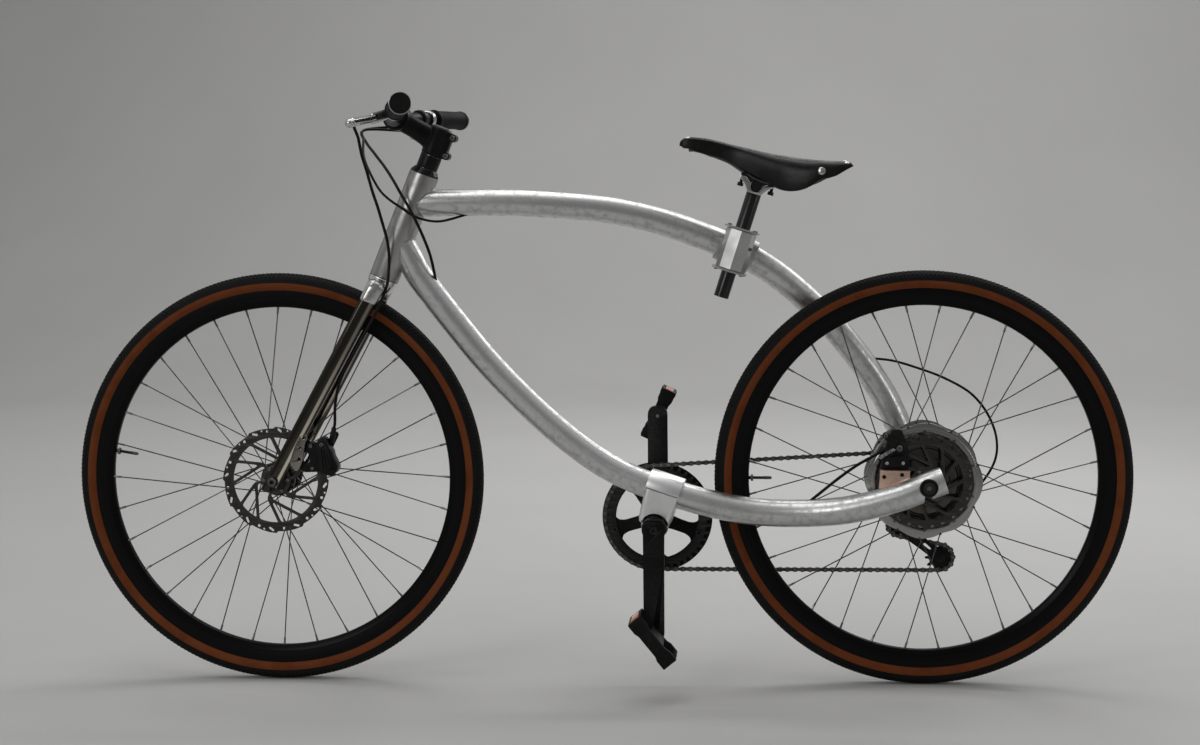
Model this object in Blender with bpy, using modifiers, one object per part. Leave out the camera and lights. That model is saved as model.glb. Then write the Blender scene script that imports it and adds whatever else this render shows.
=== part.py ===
"""Electric bicycle with a frame of two bent tubes that pass either side of the rear wheel.

Metres, +Z up. The front of the bicycle is at -X and its drive side is +Y. The origin is on the
ground, on the centre plane, half way between the wheels.
"""

import math

import bmesh
import bpy
from mathutils import Matrix, Vector

# Clearance left between two pieces that bear on each other.
GAP = 0.0003

# Wheels.
WHEELBASE = 1.080
WHEEL_R = 0.346
TYRE_H = 0.0295
TYRE_W = 0.035
RIM_H = 0.0285
RIM_W = 0.025
RIM_WELL_H = 0.0070
RIM_LIP_R = WHEEL_R - TYRE_H
RIM_NOSE_R = RIM_LIP_R - RIM_H
RIM_WELL_R = RIM_LIP_R - RIM_WELL_H
SPOKES = 32
SPOKE_R = 0.0010
SPOKE_SIDES = 3
SPOKE_STAGGER = 0.0024
WHEEL_SIDES = 36
FRONT_AXLE = Vector((-WHEELBASE / 2, 0.0, WHEEL_R))
REAR_AXLE = Vector((WHEELBASE / 2, 0.0, WHEEL_R))

# Front hub, between fork ends 100 mm apart.
FRONT_HUB_HALF = 0.050
FRONT_AXLE_R = 0.0045
FRONT_FLANGE_R = 0.026
FRONT_FLANGE_LEFT = 0.023
FRONT_FLANGE_RIGHT = 0.0285
FLANGE_HALF = 0.0023
FRONT_ROTOR_R = 0.090
FRONT_ROTOR_Y = -0.0395
ROTOR_T = 0.0018
ROTOR_ARMS = 6
ROTOR_PILOT_R = 0.017

# Rear hub motor, between frame ends 135 mm apart.
REAR_HUB_HALF = 0.0675
REAR_AXLE_R = 0.006
AXLE_COLLAR_R = 0.010
MOTOR_R = 0.096
MOTOR_BODY_R = 0.089
REAR_FLANGE_LEFT = 0.031
REAR_FLANGE_RIGHT = 0.0165
REAR_ROTOR_R = 0.080
REAR_ROTOR_Y = -0.0522
MOTOR_SIDES = 24

# Steering axis: its tilt from the vertical and the middle of the head tube.
HEAD_TILT = math.radians(22.2)
HEAD_MID = Vector((-0.3236, 0.0, 0.7695))
HEAD_HALF = 0.093
HEAD_R = 0.025
HEAD_BORE_R = 0.018
STEERER_R = 0.0143
SPACER_R = 0.018
CUP_H = 0.010
SPACER_H = 0.0225
STEM_H = 0.050
CROWN_H = 0.022
LEG_TOP = (0.0140, 0.0100)
LEG_END = (0.0123, 0.0060)
LEG_TOP_Y = 0.050
LEG_PAST_AXLE = 0.020
FRONT_CALIPER_Y = (-0.0552, -0.0290)
CALIPER_TAB_T = 0.0060

# Frame tubes.
TUBE_R = 0.0225
TUBE_BORE_R = 0.0190
TUBE_END_Y = REAR_HUB_HALF + TUBE_R

# Bottom bracket and drive.
CRANK_AXLE = Vector((0.096, 0.0, 0.271))
SHELL_R = 0.023
SHELL_HALF = 0.034
CUP_W = 0.0055
CUP_R = 0.0220
CUP_NECK_R = 0.0172
CUP_NECK_END = 0.020
SPINDLE_R = 0.012
CRANK_LENGTH = 0.170
CRANK_IN_Y = 0.0748
CRANK_OUT_Y = 0.0888
PITCH = 0.0127
CHAIN_LINE = 0.044
RING_TEETH = 44
SPROCKET_TEETH = (28, 24, 22, 20, 18, 16, 14)
DRIVEN_SPROCKET = 3
SPROCKET_STEP = 0.005
PULLEY_TEETH = 11
TOOTH_T = 0.0018
GUARD_R = 0.094
PLATE_T = 0.0009
ROLLER_HALF_W = 0.00155
ROLLER_R = 0.0030
CHAIN_PITCHES = 124

# Pedals.
PEDAL_L = 0.092
PEDAL_W = 0.060
PEDAL_AXLE_R = 0.0065
PEDAL_IN_Y = CRANK_OUT_Y + 0.0050

# Seat.
POST_R = 0.0125
POST_BORE_R = 0.0105
POST_TILT = math.radians(17.8)
POST_FOOT = Vector((0.2065, 0.0, 0.6486))
POST_LENGTH = 0.186

# Handlebar.
BAR_R = 0.0111
BAR_CLAMP_R = 0.0159
BAR_MID = Vector((-0.332, 0.0, 0.950))
BAR_END = Vector((-0.272, 0.298, 0.958))
GRIP_R = 0.0165
GRIP_L = 0.128
LEVER_Y = 0.150

CABLE_R = 0.0025


# Scene and materials.

def empty_scene():
    for obj in list(bpy.data.objects):
        bpy.data.objects.remove(obj, do_unlink=True)
    for name in ("electric_bicycle", "cutters"):
        group = bpy.data.collections.new(name)
        bpy.context.scene.collection.children.link(group)


def material(name, colour, roughness, metallic):
    made = bpy.data.materials.new(name)
    made.use_nodes = True
    shader = made.node_tree.nodes["Principled BSDF"]
    shader.inputs["Base Color"].default_value = (*colour, 1.0)
    shader.inputs["Roughness"].default_value = roughness
    shader.inputs["Metallic"].default_value = metallic
    made.diffuse_color = (*colour, 1.0)
    return made


# Shapes.

# Faces that lean less than this on each other count as one flat face.
FLAT = math.radians(0.2)
WELD = 0.000005


def from_bmesh(name, bm, matrix=None):
    """A mesh object holding the bmesh, with its faces turned outwards."""
    bmesh.ops.recalc_face_normals(bm, faces=bm.faces)
    mesh = bpy.data.meshes.new(name)
    bm.to_mesh(mesh)
    bm.free()
    obj = bpy.data.objects.new(name, mesh)
    if matrix:
        obj.matrix_world = matrix
    return obj


def from_curve(name, curve):
    """A welded mesh object made from a filled or bevelled curve."""
    temp = bpy.data.objects.new(name, curve)
    bpy.context.scene.collection.objects.link(temp)
    bpy.context.view_layer.update()
    graph = bpy.context.evaluated_depsgraph_get()
    mesh = bpy.data.meshes.new_from_object(temp.evaluated_get(graph))
    bpy.data.objects.remove(temp, do_unlink=True)
    bm = bmesh.new()
    bm.from_mesh(mesh)
    bpy.data.meshes.remove(mesh)
    bmesh.ops.remove_doubles(bm, verts=bm.verts, dist=1e-6)
    bmesh.ops.dissolve_limit(bm, angle_limit=FLAT, verts=bm.verts, edges=bm.edges)
    return from_bmesh(name, bm)


def swept(name, points, radius, resolution=4, radii=None):
    """A round rod of the given radius along the points."""
    curve = bpy.data.curves.new(name, "CURVE")
    curve.dimensions = "3D"
    curve.bevel_depth = radius
    curve.bevel_resolution = resolution
    curve.use_fill_caps = True
    line = curve.splines.new("POLY")
    line.points.add(len(points) - 1)
    for i, point in enumerate(points):
        line.points[i].co = (*point, 1.0)
        line.points[i].radius = radii[i] if radii else 1.0
    return from_curve(name, curve)


def plate(name, loops, low, high):
    """A flat outline in the XZ plane, with the later loops as holes, from y = low to y = high."""
    curve = bpy.data.curves.new(name, "CURVE")
    curve.dimensions = "2D"
    curve.fill_mode = "BOTH"
    curve.extrude = (high - low) / 2
    for loop in loops:
        line = curve.splines.new("POLY")
        line.points.add(len(loop) - 1)
        for i, (x, z) in enumerate(loop):
            line.points[i].co = (x, z, 0.0, 1.0)
        line.use_cyclic_u = True
    obj = from_curve(name, curve)
    middle = Matrix.Translation((0.0, (low + high) / 2, 0.0))
    obj.data.transform(middle @ Matrix.Rotation(math.pi / 2, 4, "X"))
    return obj


def turned(name, profile, matrix, sides, ring=False):
    """A turned piece about the matrix's local Z. The profile holds (radius, height), top first."""
    bm = bmesh.new()
    verts = [bm.verts.new((r, 0.0, h)) for r, h in profile]
    for a, b in zip(verts, verts[1:]):
        bm.edges.new((a, b))
    if ring:
        bm.edges.new((verts[-1], verts[0]))
    mesh = bpy.data.meshes.new(name)
    bm.to_mesh(mesh)
    bm.free()
    obj = bpy.data.objects.new(name, mesh)
    obj.matrix_world = matrix
    screw = obj.modifiers.new("turn", "SCREW")
    screw.angle = 2 * math.pi
    screw.steps = sides
    screw.render_steps = sides
    screw.use_merge_vertices = True
    screw.merge_threshold = 1e-5
    screw.use_normal_calculate = False
    return obj


def block(name, size, matrix):
    bm = bmesh.new()
    bmesh.ops.create_cube(bm, size=1.0)
    bmesh.ops.scale(bm, vec=size, verts=bm.verts)
    return from_bmesh(name, bm, matrix)


def rod(name, radius, start, end, sides=16):
    """A round bar between two points."""
    start = Vector(start)
    end = Vector(end)
    bm = bmesh.new()
    bmesh.ops.create_cone(bm, cap_ends=True, segments=sides, radius1=radius, radius2=radius,
                          depth=(end - start).length)
    turn = (end - start).to_track_quat("Z", "Y").to_matrix().to_4x4()
    return from_bmesh(name, bm, Matrix.Translation((start + end) / 2) @ turn)


def loft(name, rings):
    """A closed skin through rings of equally many points."""
    bm = bmesh.new()
    rows = [[bm.verts.new(point) for point in ring] for ring in rings]
    count = len(rows[0])
    for low, high in zip(rows, rows[1:]):
        for i in range(count):
            bm.faces.new((low[i], low[(i + 1) % count], high[(i + 1) % count], high[i]))
    bm.faces.new(rows[0])
    bm.faces.new(rows[-1])
    return from_bmesh(name, bm)


def helper(obj):
    """Keeps a Boolean's operand out of the model."""
    if not obj.users_collection:
        bpy.data.collections["cutters"].objects.link(obj)
        obj.hide_render = True
        obj.display_type = "WIRE"
    return obj


def boolean(obj, other, operation):
    step = obj.modifiers.new(operation.lower(), "BOOLEAN")
    step.operation = operation
    step.solver = "EXACT"
    step.object = helper(other)


def add(obj, *others):
    for other in others:
        boolean(obj, other, "UNION")


def cut(obj, *others):
    for other in others:
        boolean(obj, other, "DIFFERENCE")


def piece(obj, name, mat, pivot=None, smooth=True):
    """Names the object as one node of the model, with its origin at the pivot."""
    obj.name = name
    obj.data.name = name
    obj.data.materials.clear()
    obj.data.materials.append(mat)
    if pivot is not None:
        here = obj.matrix_world.copy()
        there = Matrix.Translation(pivot)
        obj.data.transform(there.inverted() @ here)
        obj.matrix_world = there
    for face in obj.data.polygons:
        face.use_smooth = smooth
    if any(step.type == "BOOLEAN" for step in obj.modifiers):
        weld = obj.modifiers.new("weld", "WELD")
        weld.merge_threshold = WELD
        tidy = obj.modifiers.new("flat_faces", "DECIMATE")
        tidy.decimate_type = "DISSOLVE"
        tidy.angle_limit = FLAT
    for step in obj.modifiers:
        if step.type == "SCREW":
            step.use_smooth_shade = smooth
    bpy.data.collections["electric_bicycle"].objects.link(obj)
    return obj


def circle(radius, count, centre=(0.0, 0.0), phase=0.0):
    return [(centre[0] + radius * math.cos(phase + 2 * math.pi * i / count),
             centre[1] + radius * math.sin(phase + 2 * math.pi * i / count)) for i in range(count)]


def capsule(a, b, radius_a, radius_b, count=6):
    """The outline of two round ends joined by straight sides."""
    along = Vector(b) - Vector(a)
    heading = math.atan2(along.y, along.x)
    lean = math.asin((radius_a - radius_b) / along.length)
    points = []
    for centre, radius, first, last in (
            (a, radius_a, heading + math.pi / 2 - lean, heading + 3 * math.pi / 2 + lean),
            (b, radius_b, heading - math.pi / 2 + lean, heading + math.pi / 2 - lean)):
        for i in range(count + 1):
            angle = first + (last - first) * i / count
            points.append((centre[0] + radius * math.cos(angle), centre[1] + radius * math.sin(angle)))
    return points


def smooth_path(points, count):
    """Evenly spaced points on the smooth curve through the given points."""
    line = [Vector(p) for p in points]
    dense = []
    steps = 12
    for i in range(len(line) - 1):
        before = line[max(i - 1, 0)]
        after = line[min(i + 2, len(line) - 1)]
        for s in range(steps):
            t = s / steps
            dense.append(0.5 * ((2 * line[i]) + (line[i + 1] - before) * t
                                + (2 * before - 5 * line[i] + 4 * line[i + 1] - after) * t * t
                                + (3 * line[i] - before - 3 * line[i + 1] + after) * t ** 3))
    dense.append(line[-1])
    lengths = [0.0]
    for a, b in zip(dense, dense[1:]):
        lengths.append(lengths[-1] + (b - a).length)
    found = []
    k = 0
    for i in range(count):
        target = lengths[-1] * i / (count - 1)
        while k < len(dense) - 2 and lengths[k + 1] < target:
            k += 1
        share = (target - lengths[k]) / (lengths[k + 1] - lengths[k])
        found.append(dense[k].lerp(dense[k + 1], min(max(share, 0.0), 1.0)))
    return found


def about_y(centre):
    """Turned pieces on a wheel's axle: local Z points along +Y."""
    return Matrix.Translation(centre) @ Matrix.Rotation(-math.pi / 2, 4, "X")


def xz(point):
    return (point[0], point[2])


def by_axle(axle, x, z):
    """A point of the side view, measured from an axle."""
    return (axle.x + x, axle.z + z)


def mirrored(point):
    return Vector((point[0], -point[1], point[2]))


empty_scene()

STEEL = material("polished_steel", (0.62, 0.62, 0.62), 0.25, 1.0)
ALLOY = material("brushed_aluminium", (0.74, 0.74, 0.73), 0.35, 1.0)
BLACK = material("black_anodised", (0.015, 0.015, 0.016), 0.40, 0.6)
RUBBER = material("black_rubber", (0.018, 0.018, 0.019), 0.75, 0.0)
TYRE_RUBBER = material("tyre_rubber", (0.020, 0.020, 0.020), 0.85, 0.0)
LEATHER = material("black_leather", (0.012, 0.012, 0.012), 0.45, 0.0)
CHROME = material("dark_chrome", (0.42, 0.41, 0.40), 0.15, 1.0)
COPPER = material("raw_bronze", (0.72, 0.50, 0.36), 0.40, 1.0)
CHAIN_STEEL = material("oiled_steel", (0.20, 0.19, 0.18), 0.40, 1.0)


# Rims and tyres. The tyre's foot stands in the well of the rim.

def rim_profile():
    half = RIM_W / 2
    return [(RIM_LIP_R, half), (RIM_WELL_R, half - 0.0027), (RIM_WELL_R, 0.0027 - half), (RIM_LIP_R, -half),
            (RIM_NOSE_R, -0.0065), (RIM_NOSE_R, 0.0065)]


def tyre_profile():
    foot = RIM_W / 2 - 0.0032
    half = TYRE_W / 2
    side = [(RIM_WELL_R + GAP, foot), (RIM_LIP_R + 0.0005, foot + 0.0029), (RIM_LIP_R + 0.0110, half),
            (WHEEL_R - 0.0055, half * 0.72)]
    return side + [(WHEEL_R, 0.0)] + [(r, -h) for r, h in reversed(side)]


def spoke_set(name, radius, flange_left, flange_right, crossing, first):
    """All the spokes of one wheel, about local Z, the first at the given angle of the rim.

    Neighbours on one flange leave it on opposite faces and cross.
    """
    bm = bmesh.new()
    step = 2 * math.pi / SPOKES
    for i in range(SPOKES):
        plane = -flange_left if i % 2 == 0 else flange_right
        way = 1 if (i // 2) % 2 == 0 else -1
        rim_angle = step * i + first
        hub_angle = rim_angle - way * crossing * 2 * step
        start = Vector((radius * math.cos(hub_angle), radius * math.sin(hub_angle),
                        plane + way * SPOKE_STAGGER))
        reach = RIM_NOSE_R * math.cos(math.pi / WHEEL_SIDES) - 0.0006
        end = Vector((reach * math.cos(rim_angle), reach * math.sin(rim_angle), math.copysign(0.002, plane)))
        turn = (end - start).to_track_quat("Z", "Y").to_matrix().to_4x4()
        bmesh.ops.create_cone(bm, cap_ends=True, segments=SPOKE_SIDES, radius1=SPOKE_R, radius2=SPOKE_R,
                              depth=(end - start).length,
                              matrix=Matrix.Translation((start + end) / 2) @ turn)
    return from_bmesh(name, bm)


def valve(axle, angle):
    """The tyre valve stands on the inside of the rim."""
    out = Vector((math.cos(angle), 0.0, math.sin(angle)))
    return rod("valve", 0.0030, axle + out * (RIM_NOSE_R - 0.038), axle + out * (RIM_NOSE_R + 0.004), 8)


def rim_and_tyre(side, axle, valve_angle):
    rim = turned(side + "_rim", rim_profile(), about_y(axle), WHEEL_SIDES, ring=True)
    add(rim, valve(axle, valve_angle))
    piece(rim, side + "_rim", BLACK)
    tyre = turned(side + "_tyre", tyre_profile(), about_y(axle), WHEEL_SIDES, ring=True)
    piece(tyre, side + "_tyre", TYRE_RUBBER)


rim_and_tyre("front", FRONT_AXLE, math.radians(171.2))
rim_and_tyre("rear", REAR_AXLE, math.radians(180.0))


# Front hub and its axle.

def front_hub():
    left, right, half = FRONT_FLANGE_LEFT, FRONT_FLANGE_RIGHT, FLANGE_HALF
    end = FRONT_HUB_HALF - GAP
    seat = -FRONT_ROTOR_Y - ROTOR_T / 2 - GAP
    bore = FRONT_AXLE_R + GAP
    profile = [(bore, end), (0.009, end), (0.013, right + half), (FRONT_FLANGE_R + 0.003, right + half),
               (FRONT_FLANGE_R + 0.003, right - half), (0.012, right - half), (0.012, half - left),
               (FRONT_FLANGE_R + 0.003, half - left), (FRONT_FLANGE_R + 0.003, -left - half),
               (0.021, -left - half), (0.021, -seat), (ROTOR_PILOT_R, -seat),
               (ROTOR_PILOT_R, -seat - 0.004), (0.009, -end), (bore, -end)]
    hub = turned("front_hub", profile, about_y(FRONT_AXLE), 16, ring=True)
    spokes = spoke_set("front_spokes", FRONT_FLANGE_R, left, right, 3, 0.0)
    spokes.matrix_world = about_y(FRONT_AXLE)
    add(hub, spokes)
    piece(hub, "front_hub", STEEL)


front_hub()


def rotor(name, axle, radius, y):
    """A disc brake rotor: friction ring, slanting arms and a bore on the hub's pilot."""
    centre = xz(axle)
    track = radius - 0.016
    hub = 0.023
    loops = [circle(radius, 28, centre)]
    for i in range(ROTOR_ARMS):
        start = 2 * math.pi * i / ROTOR_ARMS
        width = 2 * math.pi / ROTOR_ARMS * 0.72
        slant = 0.35
        window = []
        for share in (0.0, 0.5, 1.0):
            angle = start + width * share + slant
            window.append((centre[0] + track * math.cos(angle), centre[1] + track * math.sin(angle)))
        for share in (1.0, 0.0):
            angle = start + width * share
            window.append((centre[0] + hub * math.cos(angle), centre[1] + hub * math.sin(angle)))
        loops.append(window)
    sides = 14
    loops.append(circle((ROTOR_PILOT_R + GAP) / math.cos(math.pi / sides), sides, centre))
    disc = plate(name, loops, y - ROTOR_T / 2, y + ROTOR_T / 2)
    piece(disc, name, STEEL, axle, smooth=False)


rotor("front_rotor", FRONT_AXLE, FRONT_ROTOR_R, FRONT_ROTOR_Y)
rotor("rear_rotor", REAR_AXLE, REAR_ROTOR_R, REAR_ROTOR_Y)


# Rear hub. The closed motor housing carries the spokes, and the rotor on its left end.

def rear_hub():
    left, right, half = REAR_FLANGE_LEFT, REAR_FLANGE_RIGHT, FLANGE_HALF
    seat = -REAR_ROTOR_Y - ROTOR_T / 2 - GAP
    bore = REAR_AXLE_R + GAP
    face = right + half + 0.001
    profile = [(bore, face), (MOTOR_R - 0.010, face), (MOTOR_R, right + half), (MOTOR_R, right - half),
               (MOTOR_BODY_R, right - half - 0.002), (MOTOR_BODY_R, half + 0.002 - left),
               (MOTOR_R, half - left), (MOTOR_R, -left - half), (0.040, -left - 0.006),
               (0.024, -left - 0.012), (0.022, -seat), (ROTOR_PILOT_R, -seat),
               (ROTOR_PILOT_R, -seat - 0.004), (bore, -seat - 0.004)]
    hub = turned("rear_hub", profile, about_y(REAR_AXLE), MOTOR_SIDES, ring=True)
    spokes = spoke_set("rear_spokes", MOTOR_R - 0.004, left, right, 1, math.pi / SPOKES)
    spokes.matrix_world = about_y(REAR_AXLE)
    add(hub, spokes)
    piece(hub, "rear_hub", ALLOY)


rear_hub()


# Toothed wheels. A tooth stands in every gap between two rollers of the chain.

def pitch_radius(teeth):
    return teeth * PITCH / (2 * math.pi)


def toothed_loop(teeth, centre, phase, tip=0.0034, foot=0.0023, fine=True):
    """The outline of a chain wheel; phase is the angle of one tooth."""
    pitch_r = pitch_radius(teeth)
    root = pitch_r - 0.0044
    step = 2 * math.pi / teeth
    points = []
    for i in range(teeth):
        middle = phase + step * i
        if fine:
            corners = ((root, -foot), (pitch_r + tip, 0.0), (root, foot))
        else:
            corners = ((root, -0.0030), (pitch_r + tip, 0.0))
        for radius, half in corners:
            angle = middle + half / radius
            points.append((centre[0] + radius * math.cos(angle), centre[1] + radius * math.sin(angle)))
    return points


# Run of the chain round the ring, the driven sprocket and the two pulleys. Each wheel is
# (centre, radius, turning sense): +1 where the chain goes round it counterclockwise in XZ.

GUIDE_AXLE = REAR_AXLE + Vector((-0.033, CHAIN_LINE, -0.084))
CAGE_LENGTH = 0.088


def tangent(first, second):
    """The straight run that leaves the first circle and joins the second."""
    c1, r1, s1 = first
    c2, r2, s2 = second
    across = Vector(c2) - Vector(c1)
    base = math.atan2(across.y, across.x)
    lean = math.asin(max(-1.0, min(1.0, (s1 * r1 - s2 * r2) / across.length)))
    heading = base + lean
    normal = Vector((math.sin(heading), -math.cos(heading)))
    return Vector(c1) + normal * s1 * r1, Vector(c2) + normal * s2 * r2


def chain_wheels(cage_angle):
    tension = Vector(xz(GUIDE_AXLE)) + CAGE_LENGTH * Vector((math.cos(cage_angle), math.sin(cage_angle)))
    pulley = pitch_radius(PULLEY_TEETH)
    return [(xz(CRANK_AXLE), pitch_radius(RING_TEETH), -1),
            (xz(REAR_AXLE), pitch_radius(SPROCKET_TEETH[DRIVEN_SPROCKET]), -1),
            (xz(GUIDE_AXLE), pulley, 1),
            (tuple(tension), pulley, -1)]


def chain_run(cage_angle):
    """The chain's path as straight and round stretches, and its length."""
    wheels = chain_wheels(cage_angle)
    count = len(wheels)
    runs = [tangent(wheels[i], wheels[(i + 1) % count]) for i in range(count)]
    stretches = []
    total = 0.0
    for i in range(count):
        start, end = runs[i]
        stretches.append(("line", start, end, (end - start).length))
        centre, radius, sense = wheels[(i + 1) % count]
        a = end - Vector(centre)
        b = runs[(i + 1) % count][0] - Vector(centre)
        first = math.atan2(a.y, a.x)
        sweep = (math.atan2(b.y, b.x) - first) * sense % (2 * math.pi)
        stretches.append(("arc", (Vector(centre), radius, first, sense), None, radius * sweep))
        total += stretches[-2][3] + stretches[-1][3]
    return stretches, total


def solve_cage_angle():
    """The cage angle at which the chain is a whole number of links long."""
    target = CHAIN_PITCHES * PITCH
    low, high = math.radians(-75), math.radians(-5)
    for _ in range(60):
        middle = (low + high) / 2
        if (chain_run(middle)[1] - target) * (chain_run(low)[1] - target) <= 0:
            high = middle
        else:
            low = middle
    return (low + high) / 2


CAGE_ANGLE = solve_cage_angle()
RUN, RUN_LENGTH = chain_run(CAGE_ANGLE)
TENSION_AXLE = Vector((chain_wheels(CAGE_ANGLE)[3][0][0], CHAIN_LINE, chain_wheels(CAGE_ANGLE)[3][0][1]))


def on_chain(distance):
    """Point and heading on the chain's path."""
    left = distance % RUN_LENGTH
    for kind, a, b, length in RUN:
        if left <= length:
            if kind == "line":
                return a.lerp(b, left / length), (b - a).normalized()
            centre, radius, first, sense = a
            angle = first + sense * left / radius
            out = Vector((math.cos(angle), math.sin(angle)))
            return centre + out * radius, Vector((-out.y, out.x)) * sense
        left -= length
    return RUN[0][1].copy(), (RUN[0][2] - RUN[0][1]).normalized()


def tooth_phase(wheel):
    """The angle of a tooth half way between two rollers on the given wheel of the run."""
    before = sum(stretch[3] for stretch in RUN[:2 * wheel + 1])
    centre, radius, first, sense = RUN[2 * wheel + 1][1]
    gap = (math.ceil(before / PITCH - 0.5) + 0.5) * PITCH - before
    return first + sense * gap / radius


def chain():
    """Inner and outer plates in turn down each side, joined at every pin by a roller."""
    bm = bmesh.new()
    inner = ROLLER_HALF_W
    mid = inner + PLATE_T
    links = ((inner, mid, 0.0036), (mid + 0.0001, mid + 0.0001 + PLATE_T, 0.0042))
    rows = []
    for k in range(CHAIN_PITCHES):
        spot, heading = on_chain(k * PITCH)
        up = Vector((-heading.y, heading.x))
        rows.append((spot - heading * ROLLER_R, up, links[(k + 1) % 2]))
        rows.append((spot + heading * ROLLER_R, up, links[k % 2]))
    sides = []
    for side in (-1, 1):
        rings = []
        for middle, up, (near, far, tall) in rows:
            corners = []
            for y, h in ((near, -tall), (near, tall), (far, tall), (far, -tall)):
                spot = middle + up * h
                corners.append(bm.verts.new((spot.x, CHAIN_LINE + side * y, spot.y)))
            rings.append(corners)
        sides.append(rings)
        for i in range(len(rings)):
            here, there = rings[i], rings[(i + 1) % len(rings)]
            for j in range(1 if i % 2 == 0 else 0, 4):
                bm.faces.new((here[j], here[(j + 1) % 4], there[(j + 1) % 4], there[j]))
    for i in range(0, len(rows), 2):
        left, right = [(rings[i][0], rings[i][1], rings[i + 1][1], rings[i + 1][0]) for rings in sides]
        for j in range(4):
            bm.faces.new((left[j], left[(j + 1) % 4], right[(j + 1) % 4], right[j]))
    piece(from_bmesh("chain", bm), "chain", CHAIN_STEEL, smooth=False)


chain()


SPROCKETS_OUTSIDE = len(SPROCKET_TEETH) - 1 - DRIVEN_SPROCKET
CASSETTE_END = CHAIN_LINE + SPROCKET_STEP * SPROCKETS_OUTSIDE + TOOTH_T / 2 + 0.0006


def cassette():
    """Seven sprockets on one hollow body; the chain runs on the middle one."""
    low = REAR_FLANGE_RIGHT + FLANGE_HALF + 0.001 + GAP
    high = CASSETTE_END
    bore = REAR_AXLE_R + GAP
    body = turned("cassette", [(bore, high), (0.017, high), (0.017, low), (bore, low)],
                  about_y(REAR_AXLE), 12, ring=True)
    for k, teeth in enumerate(SPROCKET_TEETH):
        y = CHAIN_LINE + (k - DRIVEN_SPROCKET) * SPROCKET_STEP
        driven = k == DRIVEN_SPROCKET
        loops = [toothed_loop(teeth, xz(REAR_AXLE), tooth_phase(0) if driven else 0.1 * k, fine=driven),
                 circle(0.0155, 8, xz(REAR_AXLE))]
        add(body, plate("sprocket", loops, y - TOOTH_T / 2, y + TOOTH_T / 2))
    piece(body, "cassette", CHAIN_STEEL, smooth=False)


cassette()


# Chainring, its guard and the cranks.

SPIDER_IN = CHAIN_LINE + TOOTH_T / 2 + GAP
SPIDER_OUT = SPIDER_IN + 0.0040
GUARD_IN = SPIDER_OUT + GAP
GUARD_OUT = GUARD_IN + 0.0030
SPIDER_REACH = 0.078
RING_BORE_R = 0.070


def chainring():
    centre = xz(CRANK_AXLE)
    loops = [toothed_loop(RING_TEETH, centre, tooth_phase(3)), circle(RING_BORE_R, 24, centre)]
    ring = plate("chainring", loops, CHAIN_LINE - TOOTH_T / 2, CHAIN_LINE + TOOTH_T / 2)
    piece(ring, "chainring", CHAIN_STEEL, CRANK_AXLE, smooth=False)
    guard = plate("chain_guard", [circle(GUARD_R, 32, centre), circle(RING_BORE_R + 0.003, 24, centre)],
                  GUARD_IN, GUARD_OUT)
    piece(guard, "chain_guard", BLACK, CRANK_AXLE, smooth=False)


chainring()


def spider_loop():
    """Five arms that stand behind the ring."""
    points = []
    for i in range(5):
        middle = math.pi / 2 + 2 * math.pi * i / 5
        for radius, half in ((0.022, -0.52), (SPIDER_REACH, -0.135), (SPIDER_REACH, 0.135), (0.022, 0.52)):
            angle = middle + half
            points.append((CRANK_AXLE.x + radius * math.cos(angle), CRANK_AXLE.z + radius * math.sin(angle)))
    return points


def crank(name, side, up):
    eye = CRANK_AXLE + Vector((0.0, 0.0, up * CRANK_LENGTH))
    low, high = sorted((side * CRANK_IN_Y, side * CRANK_OUT_Y))
    arm = plate(name, [capsule(xz(CRANK_AXLE), xz(eye), 0.018, 0.0165)], low, high)
    bevel = arm.modifiers.new("edges", "BEVEL")
    bevel.width = 0.003
    bevel.segments = 1
    bevel.limit_method = "ANGLE"
    bevel.angle_limit = math.radians(50)
    start = eye + Vector((0.0, side * (CRANK_OUT_Y - 0.004), 0.0))
    end = eye + Vector((0.0, side * (PEDAL_IN_Y + PEDAL_W - 0.012), 0.0))
    add(arm, rod("pedal_axle", PEDAL_AXLE_R, start, end, 12))
    return arm


def at_crank(y):
    return CRANK_AXLE + Vector((0.0, y, 0.0))


right_crank = crank("crank_right", 1, 1)
add(right_crank,
    rod("boss", 0.020, at_crank(SPIDER_IN), at_crank(CRANK_IN_Y + 0.004)),
    plate("spider", [spider_loop()], SPIDER_IN, SPIDER_OUT),
    rod("spindle", SPINDLE_R, at_crank(SPIDER_IN + 0.002), at_crank(-CRANK_IN_Y - 0.010)))
piece(right_crank, "crank_right", BLACK, CRANK_AXLE)

left_crank = crank("crank_left", -1, -1)
add(left_crank, rod("boss", 0.020, at_crank(-CRANK_IN_Y - 0.004), at_crank(-0.0425)))
cut(left_crank, rod("spindle_hole", SPINDLE_R + GAP, at_crank(-CRANK_IN_Y - 0.010 - GAP), at_crank(-0.040)))
piece(left_crank, "crank_left", BLACK, CRANK_AXLE)


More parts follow.
